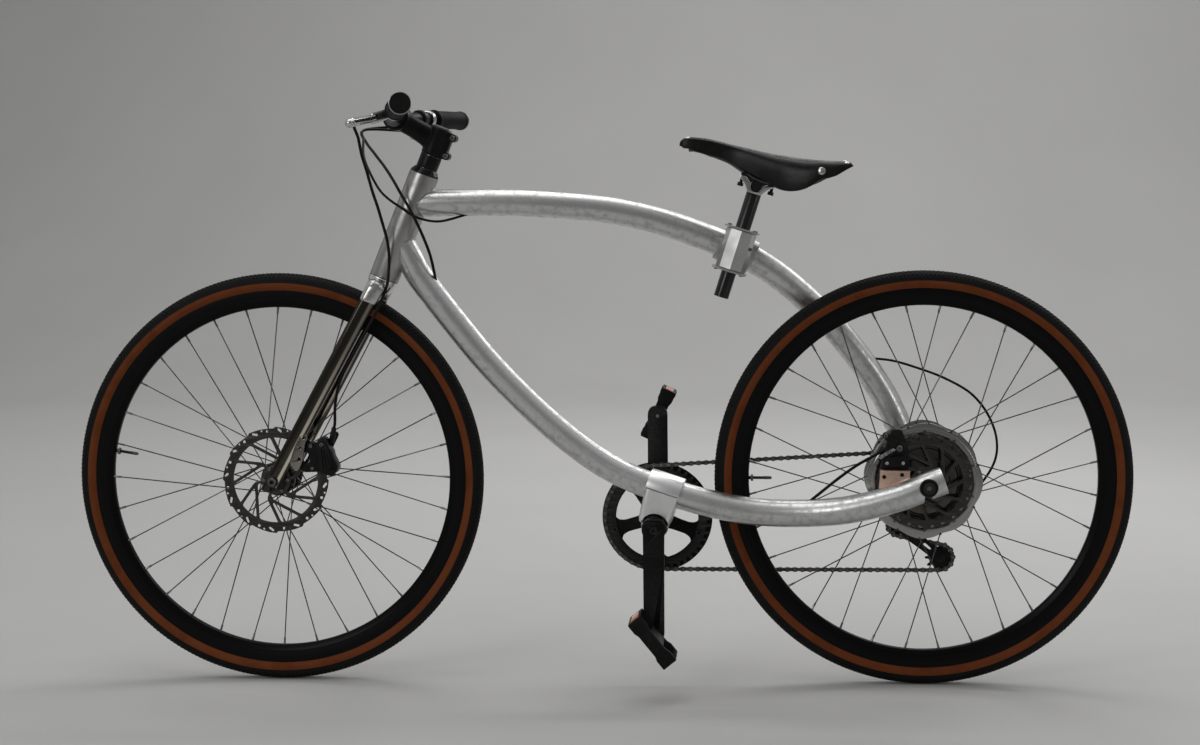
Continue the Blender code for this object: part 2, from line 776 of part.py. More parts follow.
def pedal(name, side, up, lean):
    """A platform with an open cage either side of its barrel."""
    eye = CRANK_AXLE + Vector((0.0, 0.0, up * CRANK_LENGTH))
    place = Matrix.Translation(eye) @ Matrix.Rotation(lean, 4, "Y")
    half = PEDAL_L / 2
    outline = [(-half, -0.013), (-half * 0.45, -0.0105), (half * 0.45, -0.0105), (half, -0.013),
               (half, 0.013), (half * 0.45, 0.0105), (-half * 0.45, 0.0105), (-half, 0.013)]
    low, high = sorted((side * PEDAL_IN_Y, side * (PEDAL_IN_Y + PEDAL_W)))
    body = plate(name, [outline], low, high)
    near = Vector((0.0, side * (PEDAL_IN_Y - 0.002), 0.0))
    far = Vector((0.0, side * (PEDAL_IN_Y + PEDAL_W - 0.012 + GAP), 0.0))
    cutters = [rod("axle_hole", PEDAL_AXLE_R + GAP, near, far, 12)]
    for way in (-1, 1):
        middle = Matrix.Translation((way * 0.0265, (low + high) / 2, 0.0))
        cutters.append(block("cage_window", (0.022, PEDAL_W - 0.014, 0.04), middle))
    for made in [body] + cutters:
        made.matrix_world = place @ made.matrix_world
    cut(body, *cutters)
    piece(body, name, BLACK, place.to_translation(), smooth=False)


pedal("pedal_left", -1, -1, math.radians(51))
pedal("pedal_right", 1, 1, math.radians(115))


# Frame tubes, along the middle lines read from the photograph.

UPPER_LINE = smooth_path([
    (-0.308, 0.000, 0.8062), (-0.262, 0.000, 0.8077), (-0.162, 0.004, 0.8082), (-0.095, 0.0085, 0.8053),
    (0.004, 0.0186, 0.7965), (0.087, 0.0303, 0.7795), (0.171, 0.0414, 0.7510), (0.232, 0.0495, 0.7245),
    (0.300, 0.0600, 0.6830), (0.368, 0.0715, 0.6240), REAR_AXLE + Vector((-0.110, 0.0815, 0.2070)),
    REAR_AXLE + Vector((-0.060, 0.0875, 0.1340)), REAR_AXLE + Vector((-0.025, TUBE_END_Y, 0.0600)),
    REAR_AXLE + Vector((0.0, TUBE_END_Y, 0.0)), REAR_AXLE + Vector((0.0095, TUBE_END_Y, -0.0225))], 18)
LOWER_LINE = smooth_path([
    (-0.3320, 0.000, 0.7480), (-0.3110, 0.000, 0.7090), (-0.2882, 0.000, 0.6705), (-0.1977, -0.004, 0.5562),
    (-0.1302, -0.010, 0.4851), (-0.0627, -0.018, 0.4247), (0.0046, -0.026, 0.3763), (0.0716, -0.034, 0.3440),
    (0.1713, -0.0438, 0.3134), (0.2537, -0.0465, 0.2974), (0.3356, -0.0560, 0.2955),
    REAR_AXLE + Vector((-0.1240, -0.0760, -0.0406)), REAR_AXLE + Vector((-0.0442, -0.0880, -0.0185)),
    REAR_AXLE + Vector((0.0, -TUBE_END_Y, 0.0)), REAR_AXLE + Vector((0.0261, -TUBE_END_Y, 0.0095))], 20)
STEER = Matrix.Translation(HEAD_MID) @ Matrix.Rotation(HEAD_TILT, 4, "Y")


def steer_point(x, y, z):
    """World point from the steering frame: z up the axis, x square to it and backwards."""
    return STEER @ Vector((x, y, z))


def along(line, x):
    """The point of a line at the given x, and its heading there."""
    for a, b in zip(line, line[1:]):
        if a.x <= x <= b.x:
            return a.lerp(b, (x - a.x) / (b.x - a.x)), (b - a).normalized()
    return line[-1].copy(), (line[-1] - line[-2]).normalized()


def past(line):
    """The line run on a little at both ends, for a bore that goes right through."""
    first = line[0] + (line[0] - line[1]).normalized() * 0.002
    last = line[-1] + (line[-1] - line[-2]).normalized() * 0.002
    return [first] + line[1:-1] + [last]


def open_slot(axle, radius, low, high):
    """The cutter of a slot that is round at the axle and open below it."""
    arch = [(axle.x + radius * math.cos(math.pi * i / 8), axle.z + radius * math.sin(math.pi * i / 8))
            for i in range(9)]
    mouth = axle.z - 0.05
    return plate("open_slot", [arch + [(axle.x - radius, mouth), (axle.x + radius, mouth)]], low, high)


def axle_seat(side):
    """The cutters that open a tube's end for the axle, with flats for nut and collar."""
    near, far = side * 0.05, side * 0.13
    outer = side * (TUBE_END_Y + TUBE_R - 0.0020)
    inner = side * (REAR_HUB_HALF + 0.0015)
    at = [REAR_AXLE + Vector((0, y, 0)) for y in (near, inner, outer, far)]
    return (open_slot(REAR_AXLE, REAR_AXLE_R + GAP, *sorted((near, far))),
            rod("nut_flat", 0.0155, at[2], at[3], 20),
            rod("collar_flat", AXLE_COLLAR_R + 0.0005, at[1], at[0]))


def frame_tube(name, line, side, ports):
    tube = swept(name, line, TUBE_R, 4)
    cut(tube, swept("bore", past(line), TUBE_BORE_R, 2))
    cut(tube, rod("head_mitre", HEAD_R + GAP, steer_point(0, 0, -0.13), steer_point(0, 0, 0.13), 20))
    cut(tube, *axle_seat(side))
    cut(tube, *ports)
    piece(tube, name, ALLOY)


piece(turned("head_tube", [(HEAD_BORE_R, HEAD_HALF), (HEAD_R, HEAD_HALF), (HEAD_R, -HEAD_HALF),
                           (HEAD_BORE_R, -HEAD_HALF)], STEER, 20, ring=True), "head_tube", ALLOY)


# Rear axle with the bolts that hold it in the frame.

def rear_axle():
    inner = REAR_HUB_HALF + 0.0015 - GAP
    tip = TUBE_END_Y + TUBE_R + 0.004
    left_face = -REAR_ROTOR_Y + ROTOR_T / 2 + 0.006
    right_face = CASSETTE_END + GAP
    profile = [(0.0, tip), (REAR_AXLE_R, tip), (REAR_AXLE_R, inner), (AXLE_COLLAR_R, inner),
               (AXLE_COLLAR_R, right_face), (REAR_AXLE_R, right_face), (REAR_AXLE_R, -left_face),
               (AXLE_COLLAR_R, -left_face), (AXLE_COLLAR_R, -inner), (REAR_AXLE_R, -inner),
               (REAR_AXLE_R, -tip), (0.0, -tip)]
    piece(turned("rear_axle", profile, about_y(REAR_AXLE), 12), "rear_axle", STEEL)
    seat = TUBE_END_Y + TUBE_R - 0.0020 + GAP
    for name, side in (("axle_bolt_left", -1), ("axle_bolt_right", 1)):
        washer, cap, height = 0.0150, 0.0095, 0.0095
        nut = [(0.0, seat + height), (cap, seat + height), (cap, seat + 0.003), (washer, seat + 0.003),
               (washer, seat), (REAR_AXLE_R + GAP, seat), (REAR_AXLE_R + GAP, tip + GAP), (0.0, tip + GAP)]
        matrix = about_y(REAR_AXLE) if side > 0 else about_y(REAR_AXLE) @ Matrix.Rotation(math.pi, 4, "X")
        piece(turned(name, nut, matrix, 12), name, BLACK)


rear_axle()


# Bottom bracket clamp: a split sleeve on the lower tube with the crank shell hung under it.

CLAMP_AT, CLAMP_DIR = along(LOWER_LINE, 0.112)
CLAMP_R = 0.0290
CLAMP_HALF = 0.0285
CLAMP_SPLIT = 0.0020
CAP_EAR_H = 0.010
BLOCK_EAR_H = 0.012


def clamp_matrix():
    x_axis = CLAMP_DIR
    y_axis = Vector((0.0, 0.0, 1.0)).cross(x_axis).normalized()
    z_axis = x_axis.cross(y_axis)
    turn = Matrix((x_axis, y_axis, z_axis)).transposed().to_4x4()
    return Matrix.Translation(CLAMP_AT) @ turn


def sleeve(name, at, heading, radius, half):
    return rod(name, radius, at - heading * half, at + heading * half, 24)


def bottom_bracket():
    place = clamp_matrix()
    tube_room = swept("tube_room", past(LOWER_LINE), TUBE_R + GAP, 4)
    ear_x = 2 * CLAMP_HALF - 0.004
    ear_y = 2 * CLAMP_R + 0.012
    room = 0.1
    far_half = (room + CLAMP_SPLIT) / 2
    cap = sleeve("bb_clamp_cap", CLAMP_AT, CLAMP_DIR, CLAMP_R, CLAMP_HALF)
    add(cap, block("ears", (ear_x, ear_y, CAP_EAR_H), place @ Matrix.Translation((0, 0, CAP_EAR_H / 2))))
    cut(cap, block("below", (room, room, room), place @ Matrix.Translation((0, 0, CLAMP_SPLIT - far_half))),
        tube_room)
    piece(cap, "bb_clamp_cap", ALLOY)

    block_part = sleeve("bb_clamp_block", CLAMP_AT, CLAMP_DIR, CLAMP_R, CLAMP_HALF)
    lower_ears = block("ears", (ear_x, ear_y, BLOCK_EAR_H),
                       place @ Matrix.Translation((0, 0, -BLOCK_EAR_H / 2)))
    outline = [(0.0862, 0.330), (0.0765, 0.283), (0.0800, 0.262), (0.1120, 0.262), (0.1215, 0.279),
               (0.1370, 0.318)]
    web = plate("web", [outline], 0.0005 - SHELL_HALF, 0.008)
    shell = rod("shell", SHELL_R, at_crank(-SHELL_HALF), at_crank(SHELL_HALF), 24)
    add(block_part, lower_ears, web, shell)
    above = block("above", (room, room, room), place @ Matrix.Translation((0, 0, far_half - CLAMP_SPLIT)))
    cut(block_part, above, tube_room,
        rod("shell_bore", CUP_NECK_R + 2 * GAP, at_crank(-0.05), at_crank(0.05), 20))
    piece(block_part, "bb_clamp_block", ALLOY)

    for name, side in (("bb_cup_left", -1), ("bb_cup_right", 1)):
        face = SHELL_HALF + GAP
        bore = SPINDLE_R + GAP
        profile = [(bore, face + CUP_W), (CUP_R, face + CUP_W), (CUP_R, face),
                   (CUP_NECK_R, face), (CUP_NECK_R, CUP_NECK_END), (bore, CUP_NECK_END)]
        matrix = about_y(CRANK_AXLE) if side > 0 else about_y(CRANK_AXLE) @ Matrix.Rotation(math.pi, 4, "X")
        piece(turned(name, profile, matrix, 16, ring=True), name, BLACK)


bottom_bracket()


# Seat clamp: a sleeve on the upper tube with an eight-sided block that grips the post.

POST_DIR = Vector((math.sin(POST_TILT), 0.0, math.cos(POST_TILT)))
SEAT_BLOCK_Z = 0.7265
SEAT_BLOCK_MID = POST_FOOT + POST_DIR * ((SEAT_BLOCK_Z - POST_FOOT.z) / POST_DIR.z)
SEAT_BLOCK_R = 0.0212
SEAT_BLOCK_HALF = 0.034
SEAT_SLEEVE_R = 0.0295
SEAT_SLEEVE_HALF = 0.0300


def seat_clamp():
    at, heading = along(UPPER_LINE, SEAT_BLOCK_MID.x)
    body = sleeve("seat_clamp", at, heading, SEAT_SLEEVE_R, SEAT_SLEEVE_HALF)
    up = POST_DIR * SEAT_BLOCK_HALF
    past_block = up + POST_DIR * 0.01
    octagon = rod("post_block", SEAT_BLOCK_R, SEAT_BLOCK_MID - up, SEAT_BLOCK_MID + up, 8)
    web = block("web", (0.034, 0.030, 0.052), Matrix.Translation(SEAT_BLOCK_MID + Vector((0.0, 0.021, 0.0)))
                @ Matrix.Rotation(POST_TILT, 4, "Y"))
    add(body, web, octagon)
    cut(body, swept("tube_room", past(UPPER_LINE), TUBE_R + GAP, 4),
        rod("post_bore", POST_R + GAP, SEAT_BLOCK_MID - past_block, SEAT_BLOCK_MID + past_block, 20))
    slit = block("slit", (0.03, 0.0024, 0.09), Matrix.Translation(SEAT_BLOCK_MID - Vector((0.020, 0.0, 0.0)))
                 @ Matrix.Rotation(POST_TILT, 4, "Y"))
    cut(body, slit)
    piece(body, "seat_clamp", ALLOY, smooth=False)


seat_clamp()


# Seat post, with a round head across it that the saddle's cradle tilts on.

TILT_AXIS = POST_FOOT + POST_DIR * (POST_LENGTH + 0.006)
HEAD_PIN_R = 0.0095


def seat_post():
    top = POST_FOOT + POST_DIR * POST_LENGTH
    post = rod("seatpost", POST_R, POST_FOOT, top, 20)
    cut(post, rod("post_inside", POST_BORE_R, POST_FOOT - POST_DIR * 0.01, top - POST_DIR * 0.02, 16))
    across = Vector((0.0, 0.019, 0.0))
    add(post, rod("head_pin", HEAD_PIN_R, TILT_AXIS - across, TILT_AXIS + across, 16))
    piece(post, "seatpost", BLACK, POST_FOOT)


seat_post()


# Saddle: a stretched leather top on two steel rails.

SADDLE_STATIONS = (
    # x and height of the top from the tilt axis, half width, depth of the skirt
    (-0.1267, 0.0686, 0.0110, 0.010), (-0.1202, 0.0731, 0.0155, 0.018), (-0.0952, 0.0711, 0.0185, 0.025),
    (-0.0502, 0.0626, 0.0225, 0.035), (-0.0102, 0.0556, 0.0340, 0.048), (0.0248, 0.0516, 0.0520, 0.056),
    (0.0498, 0.0491, 0.0655, 0.055), (0.0798, 0.0471, 0.0765, 0.044), (0.1098, 0.0451, 0.0825, 0.028),
    (0.1348, 0.0431, 0.0830, 0.016), (0.1528, 0.0411, 0.0745, 0.010))
SADDLE_SECTION = ((-1.00, 1.00), (-0.98, 0.40), (-0.84, 0.11), (-0.50, 0.02), (0.0, 0.0))
LEATHER_T = 0.0045


def saddle():
    bm = bmesh.new()
    shape = list(SADDLE_SECTION) + [(-y, d) for y, d in reversed(SADDLE_SECTION[:-1])]
    rows = []
    for x, top, half, depth in SADDLE_STATIONS:
        rows.append([bm.verts.new(TILT_AXIS + Vector((x, y * half, top - d * depth))) for y, d in shape])
    for a, b in zip(rows, rows[1:]):
        for i in range(len(shape) - 1):
            bm.faces.new((a[i], b[i], b[i + 1], a[i + 1]))
    bmesh.ops.recalc_face_normals(bm, faces=bm.faces)
    if sum(face.normal.z for face in bm.faces) < 0:
        bmesh.ops.reverse_faces(bm, faces=bm.faces)
    mesh = bpy.data.meshes.new("saddle")
    bm.to_mesh(mesh)
    bm.free()
    obj = bpy.data.objects.new("saddle", mesh)
    shell = obj.modifiers.new("leather", "SOLIDIFY")
    shell.thickness = LEATHER_T
    shell.offset = -1.0
    piece(obj, "saddle", LEATHER, TILT_AXIS)


saddle()

RAIL_POINTS = (
    # x, half width and height from the tilt axis
    (-0.1072, 0.0040, 0.0566), (-0.0872, 0.0060, 0.0466), (-0.0652, 0.0095, 0.0336), (-0.0432, 0.0140, 0.0236),
    (-0.0202, 0.0185, 0.0166), (0.0048, 0.0205, 0.0101), (0.0348, 0.0210, 0.0021), (0.0648, 0.0250, -0.0024),
    (0.0968, 0.0340, 0.0046), (0.1328, 0.0450, 0.0266))


def saddle_frame():
    across = Matrix.Rotation(POST_TILT, 4, "Y")
    cradle = block("saddle_frame", (0.048, 0.047, 0.017),
                   Matrix.Translation(TILT_AXIS + POST_DIR * 0.0095) @ across)
    for side in (-1, 1):
        route = smooth_path([TILT_AXIS + Vector((x, side * y, z)) for x, y, z in RAIL_POINTS], 11)
        add(cradle, swept("rail", route, 0.0035, 2))
    nose = block("nose_plate", (0.012, 0.016, 0.0146),
                 Matrix.Translation(TILT_AXIS + Vector((-0.1052, 0.0, 0.0589))))
    cantle = block("cantle", (0.012, 0.120, 0.008),
                   Matrix.Translation(TILT_AXIS + Vector((0.1328, 0.0, 0.0326))))
    add(cradle, nose, cantle)
    groove = Vector((0.0, 0.030, 0.0))
    cut(cradle, rod("pin_groove", HEAD_PIN_R + GAP, TILT_AXIS - groove, TILT_AXIS + groove, 16),
        rod("post_room", POST_R + GAP, TILT_AXIS - POST_DIR * 0.02, TILT_AXIS, 20))
    piece(cradle, "saddle_frame", STEEL, TILT_AXIS)


saddle_frame()


# Fork: crown with its steerer, and two tapered blades with open ends.

HUB_IN_STEER = STEER.inverted() @ FRONT_AXLE
CROWN_TOP = -HEAD_HALF - GAP
CROWN_FOOT = CROWN_TOP - CROWN_H
STEM_FOOT = HEAD_HALF + GAP + CUP_H + GAP + SPACER_H + GAP


def fork():
    top = STEM_FOOT + STEM_H - 0.003
    profile = [(0.0, top), (STEERER_R, top), (STEERER_R, CROWN_TOP + 0.008),
               (HEAD_BORE_R - GAP, CROWN_TOP + 0.008), (HEAD_BORE_R - GAP, CROWN_TOP), (HEAD_R, CROWN_TOP),
               (HEAD_R, CROWN_TOP - 0.009), (0.019, CROWN_FOOT), (0.0, CROWN_FOOT)]
    crown = turned("fork_crown", profile, STEER, 16)
    rings = []
    for y, half_x, half_z in ((-0.0605, 0.0100, 0.0060), (-0.057, 0.0140, 0.0090), (0.0, 0.0150, 0.0095),
                              (0.057, 0.0140, 0.0090), (0.0605, 0.0100, 0.0060)):
        middle = CROWN_FOOT + 0.0095
        rings.append([steer_point(half_x * math.cos(a), y, middle + half_z * math.sin(a))
                      for a in (2 * math.pi * i / 10 for i in range(10))])
    add(crown, loft("crown_beam", rings))
    piece(crown, "fork_crown", ALLOY)

    for name, side in (("fork_leg_left", -1), ("fork_leg_right", 1)):
        end_y = FRONT_HUB_HALF + LEG_END[1]
        foot = HUB_IN_STEER.z - LEG_PAST_AXLE
        head = CROWN_FOOT - GAP
        rings = []
        for share in (0.0, 0.08, 0.35, 0.65, 0.88, 1.0):
            z = head + (foot - head) * share
            x = HUB_IN_STEER.x * share * (head - foot) / (head - HUB_IN_STEER.z)
            shaped = min(share / 0.93, 1.0)
            y = side * (LEG_TOP_Y + (end_y - LEG_TOP_Y) * shaped)
            half_x = LEG_TOP[0] + (LEG_END[0] - LEG_TOP[0]) * shaped
            half_y = LEG_TOP[1] + (LEG_END[1] - LEG_TOP[1]) * shaped
            rings.append([steer_point(x + half_x * math.cos(a), y + half_y * math.sin(a), z)
                          for a in (2 * math.pi * i / 12 for i in range(12))])
        leg = loft(name, rings)
        reach = Vector((0.0, side * 0.03, 0.0))
        middle = FRONT_AXLE + Vector((0.0, side * end_y, 0.0))
        slot = open_slot(FRONT_AXLE, FRONT_AXLE_R + GAP, middle.y - 0.03, middle.y + 0.03)
        inner = FRONT_AXLE + Vector((0.0, side * FRONT_HUB_HALF, 0.0))
        outer = FRONT_AXLE + Vector((0.0, side * (end_y + LEG_END[1] - 0.001), 0.0))
        if side < 0:
            outline = [by_axle(FRONT_AXLE, x, z) for x, z in (
                (0.028, 0.038), (0.043, 0.076), (0.062, 0.0745), (0.085, 0.048), (0.085, 0.026),
                (0.060, 0.022))]
            add(leg, plate("caliper_tab", [outline], FRONT_CALIPER_Y[0] - GAP - CALIPER_TAB_T,
                           FRONT_CALIPER_Y[0] - GAP))
        cut(leg, slot, rod("hub_flat", 0.0125, inner - reach, inner),
            rod("nut_flat", 0.0105, outer, outer + reach))
        piece(leg, name, CHROME, FRONT_AXLE)


fork()


def front_axle():
    seat = FRONT_HUB_HALF + 2 * LEG_END[1] - 0.001 + GAP
    profile = [(0.0, seat + 0.007), (0.0075, seat + 0.007), (0.0095, seat + 0.005), (0.0095, seat),
               (FRONT_AXLE_R, seat), (FRONT_AXLE_R, -seat), (0.0095, -seat), (0.0095, -seat - 0.005),
               (0.0075, -seat - 0.007), (0.0, -seat - 0.007)]
    piece(turned("front_axle", profile, about_y(FRONT_AXLE), 12), "front_axle", STEEL)


front_axle()


# Headset cup, spacers and stem.

def headset():
    base = HEAD_HALF + GAP
    bore = STEERER_R + 0.0005
    neck = HEAD_BORE_R - 2 * GAP
    cup = [(bore, base + CUP_H), (0.0190, base + CUP_H), (0.0240, base + 0.004), (0.0240, base), (neck, base),
           (neck, base - 0.012), (bore, base - 0.012)]
    piece(turned("headset_cup_upper", cup, STEER, 16, ring=True), "headset_cup_upper", BLACK)
    low = base + CUP_H + GAP
    high = low + SPACER_H
    spacer = [(STEERER_R + GAP, high), (SPACER_R, high), (SPACER_R, low), (STEERER_R + GAP, low)]
    piece(turned("steerer_spacer", spacer, STEER, 16, ring=True), "steerer_spacer", BLACK)


headset()


def bar_points():
    """The handlebar's middle line: straight in the stem, then swept back to its ends."""
    bend = [(BAR_MID.x, 0.0, BAR_MID.z), (BAR_MID.x, 0.034, BAR_MID.z),
            (BAR_MID.x + 0.0005, 0.045, BAR_MID.z), (BAR_MID.x + 0.004, 0.070, BAR_MID.z + 0.001),
            (BAR_MID.x + 0.013, 0.105, BAR_MID.z + 0.0028)]
    knee = Vector(bend[-1])
    tail = [knee.lerp(BAR_END - (BAR_END - knee).normalized() * 0.004, share) for share in (0.5, 1.0)]
    half = [Vector(p) for p in bend] + tail
    return [mirrored(p) for p in reversed(half[1:])] + half


def bar_radii(points, swell=0.0):
    radii = []
    for p in points:
        thick = BAR_CLAMP_R if abs(p.y) < 0.040 else (0.0135 if abs(p.y) < 0.050 else BAR_R)
        radii.append((thick + swell) / BAR_R)
    return radii


BAR_LINE = bar_points()
GRIP_DIR = (BAR_END - Vector(BAR_LINE[-3])).normalized()


def bar_at(y, side):
    """A point on the swept part of the bar, |y| from the middle."""
    knee = Vector(BAR_LINE[-3])
    share = (y - knee.y) / (BAR_END.y - knee.y)
    spot = knee.lerp(BAR_END, share)
    return spot if side > 0 else mirrored(spot)


def bar_room(name):
    """The room that the bar takes up in a piece clamped on it."""
    first = BAR_LINE[0] + (BAR_LINE[0] - BAR_LINE[1]).normalized() * GAP
    last = BAR_LINE[-1] + (BAR_LINE[-1] - BAR_LINE[-2]).normalized() * GAP
    return swept(name, [first] + BAR_LINE[1:-1] + [last], BAR_R, 4, bar_radii(BAR_LINE, GAP))


piece(swept("handlebar", BAR_LINE, BAR_R, 4, bar_radii(BAR_LINE)), "handlebar", BLACK, HEAD_MID)

STEM_TOP = STEM_FOOT + STEM_H


def stem():
    body = rod("stem", 0.0185, steer_point(0, 0, STEM_FOOT), steer_point(0, 0, STEM_TOP))
    across = Vector((0.0, 0.021, 0.0))
    ears = block("stem_ears", (0.020, 0.024, STEM_H - 0.004),
                 STEER @ Matrix.Translation((0.0185, 0.0, (STEM_FOOT + STEM_TOP) / 2)))
    neck_from = steer_point(0.0, 0.0, (STEM_FOOT + STEM_TOP) / 2)
    neck = loft("neck", [[start + Vector((0.0, y, 0.0)) + lift * z for y, z in outline]
                         for start, lift, outline in stem_sections(neck_from)])
    add(body, ears, neck, rod("bar_clamp", 0.0215, BAR_MID - across, BAR_MID + across))
    bolts = []
    for z in (STEM_FOOT + 0.010, STEM_TOP - 0.010):
        bolts.append(rod("pinch_bolt", 0.0040, steer_point(0.0230, -0.0150, z),
                         steer_point(0.0230, 0.0100, z), 6))
    cut(body, block("stem_slit", (0.040, 0.0020, 0.09),
                    STEER @ Matrix.Translation((0.0305, 0.0, (STEM_FOOT + STEM_TOP) / 2))))
    add(body, *bolts)
    cut(body, rod("steerer_room", STEERER_R + GAP, steer_point(0, 0, STEM_FOOT - 0.01),
                  steer_point(0, 0, STEM_TOP - 0.003 + GAP), 16), bar_room("bar_room"))
    piece(body, "stem", BLACK, HEAD_MID)


def stem_sections(start):
    run = (BAR_MID - start).normalized()
    lift = run.cross(Vector((0.0, 1.0, 0.0))).normalized()
    if lift.z < 0:
        lift = -lift
    found = []
    for share, half_y, half_z in ((0.10, 0.0150, 0.0190), (0.60, 0.0165, 0.0165), (0.95, 0.0195, 0.0180)):
        at = start.lerp(BAR_MID, share)
        corner = 0.006
        outline = [(half_y, half_z - corner), (half_y - corner, half_z), (corner - half_y, half_z),
                   (-half_y, half_z - corner), (-half_y, corner - half_z), (corner - half_y, -half_z),
                   (half_y - corner, -half_z), (half_y, corner - half_z)]
        found.append((at, lift, outline))
    return found


stem()


def grips():
    for name, side in (("grip_left", -1), ("grip_right", 1)):
        way = GRIP_DIR if side > 0 else mirrored(GRIP_DIR)
        end = BAR_END if side > 0 else mirrored(BAR_END)
        start = end - way * GRIP_L
        lip = end - way * 0.006
        line = [start, start + way * 0.003, start + way * 0.006, lip - way * 0.02, lip, end]
        body = swept(name, line, GRIP_R, 4, [0.88, 1.06, 0.94, 0.94, 1.04, 0.97])
        cut(body, bar_room("bar_room"))
        piece(body, name, RUBBER, HEAD_MID)


grips()


# Brake levers. At each side: out along the bar, forwards of it, and the pivot's axis.

LEVER_DROP = math.radians(20)


def lever_frame(side):
    out = GRIP_DIR if side > 0 else mirrored(GRIP_DIR)
    front = Vector((-math.cos(LEVER_DROP), 0.0, -math.sin(LEVER_DROP)))
    front = (front - out * front.dot(out)).normalized()
    axis = out.cross(front).normalized()
    at = bar_at(LEVER_Y, side)
    turn = Matrix((out, front, axis)).transposed().to_4x4()
    return Matrix.Translation(at) @ turn, axis


def flat(name, loops, low, high, matrix):
    """A flat outline in the matrix's local XY plane, between two heights of its local Z."""
    obj = plate(name, loops, -high, -low)
    obj.data.transform(Matrix.Rotation(-math.pi / 2, 4, "X"))
    obj.matrix_world = matrix
    return obj


LEVER_PIVOT = (0.004, 0.034)
LEVER_PIN_R = 0.0025
LEVER_T = 0.0084
BARREL = ((-0.018, 0.026), (-0.040, 0.032))
BARREL_HOLE = 0.008


def local(matrix, x, y, z=0.0):
    return matrix @ Vector((x, y, z))


def barrel_run(place, past_mouth):
    """A point on the barrel's axis, measured outwards from its mouth."""
    start, end = local(place, *BARREL[0]), local(place, *BARREL[1])
    return end + (end - start).normalized() * past_mouth


def barrel_hole(place):
    return barrel_run(place, -BARREL_HOLE), barrel_run(place, BARREL_HOLE)


def cable_mouth(place):
    """The first points of a cable: it stands in the barrel and leaves it straight."""
    return [barrel_run(place, distance) for distance in (GAP - BARREL_HOLE, 0.002, 0.012)]


def brake_lever(side, label):
    place, axis = lever_frame(side)
    out = (place.to_3x3() @ Vector((1.0, 0.0, 0.0))).normalized()
    centre = place.to_translation()
    bracket = rod("lever_bracket_" + label, 0.0155, centre - out * 0.006, centre + out * 0.006, 12)
    outline = [(-0.018, 0.009), (0.0075, 0.009), (0.012, 0.030), (0.011, 0.040), (-0.004, 0.042),
               (-0.020, 0.034)]
    body = flat("bracket_body", [outline], -0.0075, 0.0075, place)
    barrel = rod("barrel", 0.0045, local(place, *BARREL[0]), local(place, *BARREL[1]), 10)
    add(bracket, body, barrel)
    reach = 0.006
    half = LEVER_T / 2 + GAP
    cut(bracket, flat("lever_slot", [[(-0.007, 0.025), (0.030, 0.022), (0.030, 0.050), (-0.012, 0.050)]],
                      -half, half, place))
    pin = rod("lever_pin", LEVER_PIN_R, local(place, *LEVER_PIVOT, -reach),
              local(place, *LEVER_PIVOT, reach), 8)
    add(bracket, pin)
    cut(bracket, bar_room("bar_room"),
        rod("cable_end", CABLE_R + 2 * GAP, *barrel_hole(place), 8))
    piece(bracket, "lever_bracket_" + label, STEEL, HEAD_MID, smooth=False)

    blade = [(-0.0015, 0.0275), (0.009, 0.0285), (0.024, 0.0385), (0.055, 0.0495), (0.085, 0.0610),
             (0.104, 0.0710), (0.112, 0.0780), (0.111, 0.0860), (0.103, 0.0865), (0.084, 0.0735),
             (0.055, 0.0610), (0.020, 0.0520), (0.004, 0.0445), (-0.0035, 0.0390), (-0.0040, 0.0320)]
    lever = flat("brake_lever_" + label, [blade, circle(LEVER_PIN_R + 2 * GAP, 10, LEVER_PIVOT)],
                 -LEVER_T / 2, LEVER_T / 2, place)
    pivot = local(place, *LEVER_PIVOT)
    piece(lever, "brake_lever_" + label, ALLOY, pivot, smooth=False)
    return place, axis, pivot


LEFT_PLACE, LEFT_LEVER_AXIS, LEFT_LEVER_PIVOT = brake_lever(-1, "left")
RIGHT_PLACE, RIGHT_LEVER_AXIS, RIGHT_LEVER_PIVOT = brake_lever(1, "right")


# Gear shifter under the right side of the bar.

POD_IN, POD_OUT = -0.012, -0.028
SHIFT_PIN_R = 0.0030
SHIFT_LEVER_T = 0.0030
SHIFT_STOP = ((-0.010, 0.008, -0.020), (-0.026, 0.016, -0.020))
STOP_HOLE = 0.006


def stop_hole(start, mouth):
    """The cutter of the hole that holds a cable's end, in a stop that runs from start to its mouth."""
    way = (mouth - start).normalized() * STOP_HOLE
    return rod("cable_end", CABLE_R + 2 * GAP, mouth - way, mouth + way, 8)


def stop_mouth(start, mouth):
    """The points of a cable's end: it stands in the stop and leaves it straight."""
    way = (mouth - start).normalized()
    return [mouth + way * distance for distance in (GAP - STOP_HOLE, 0.002, 0.010)]


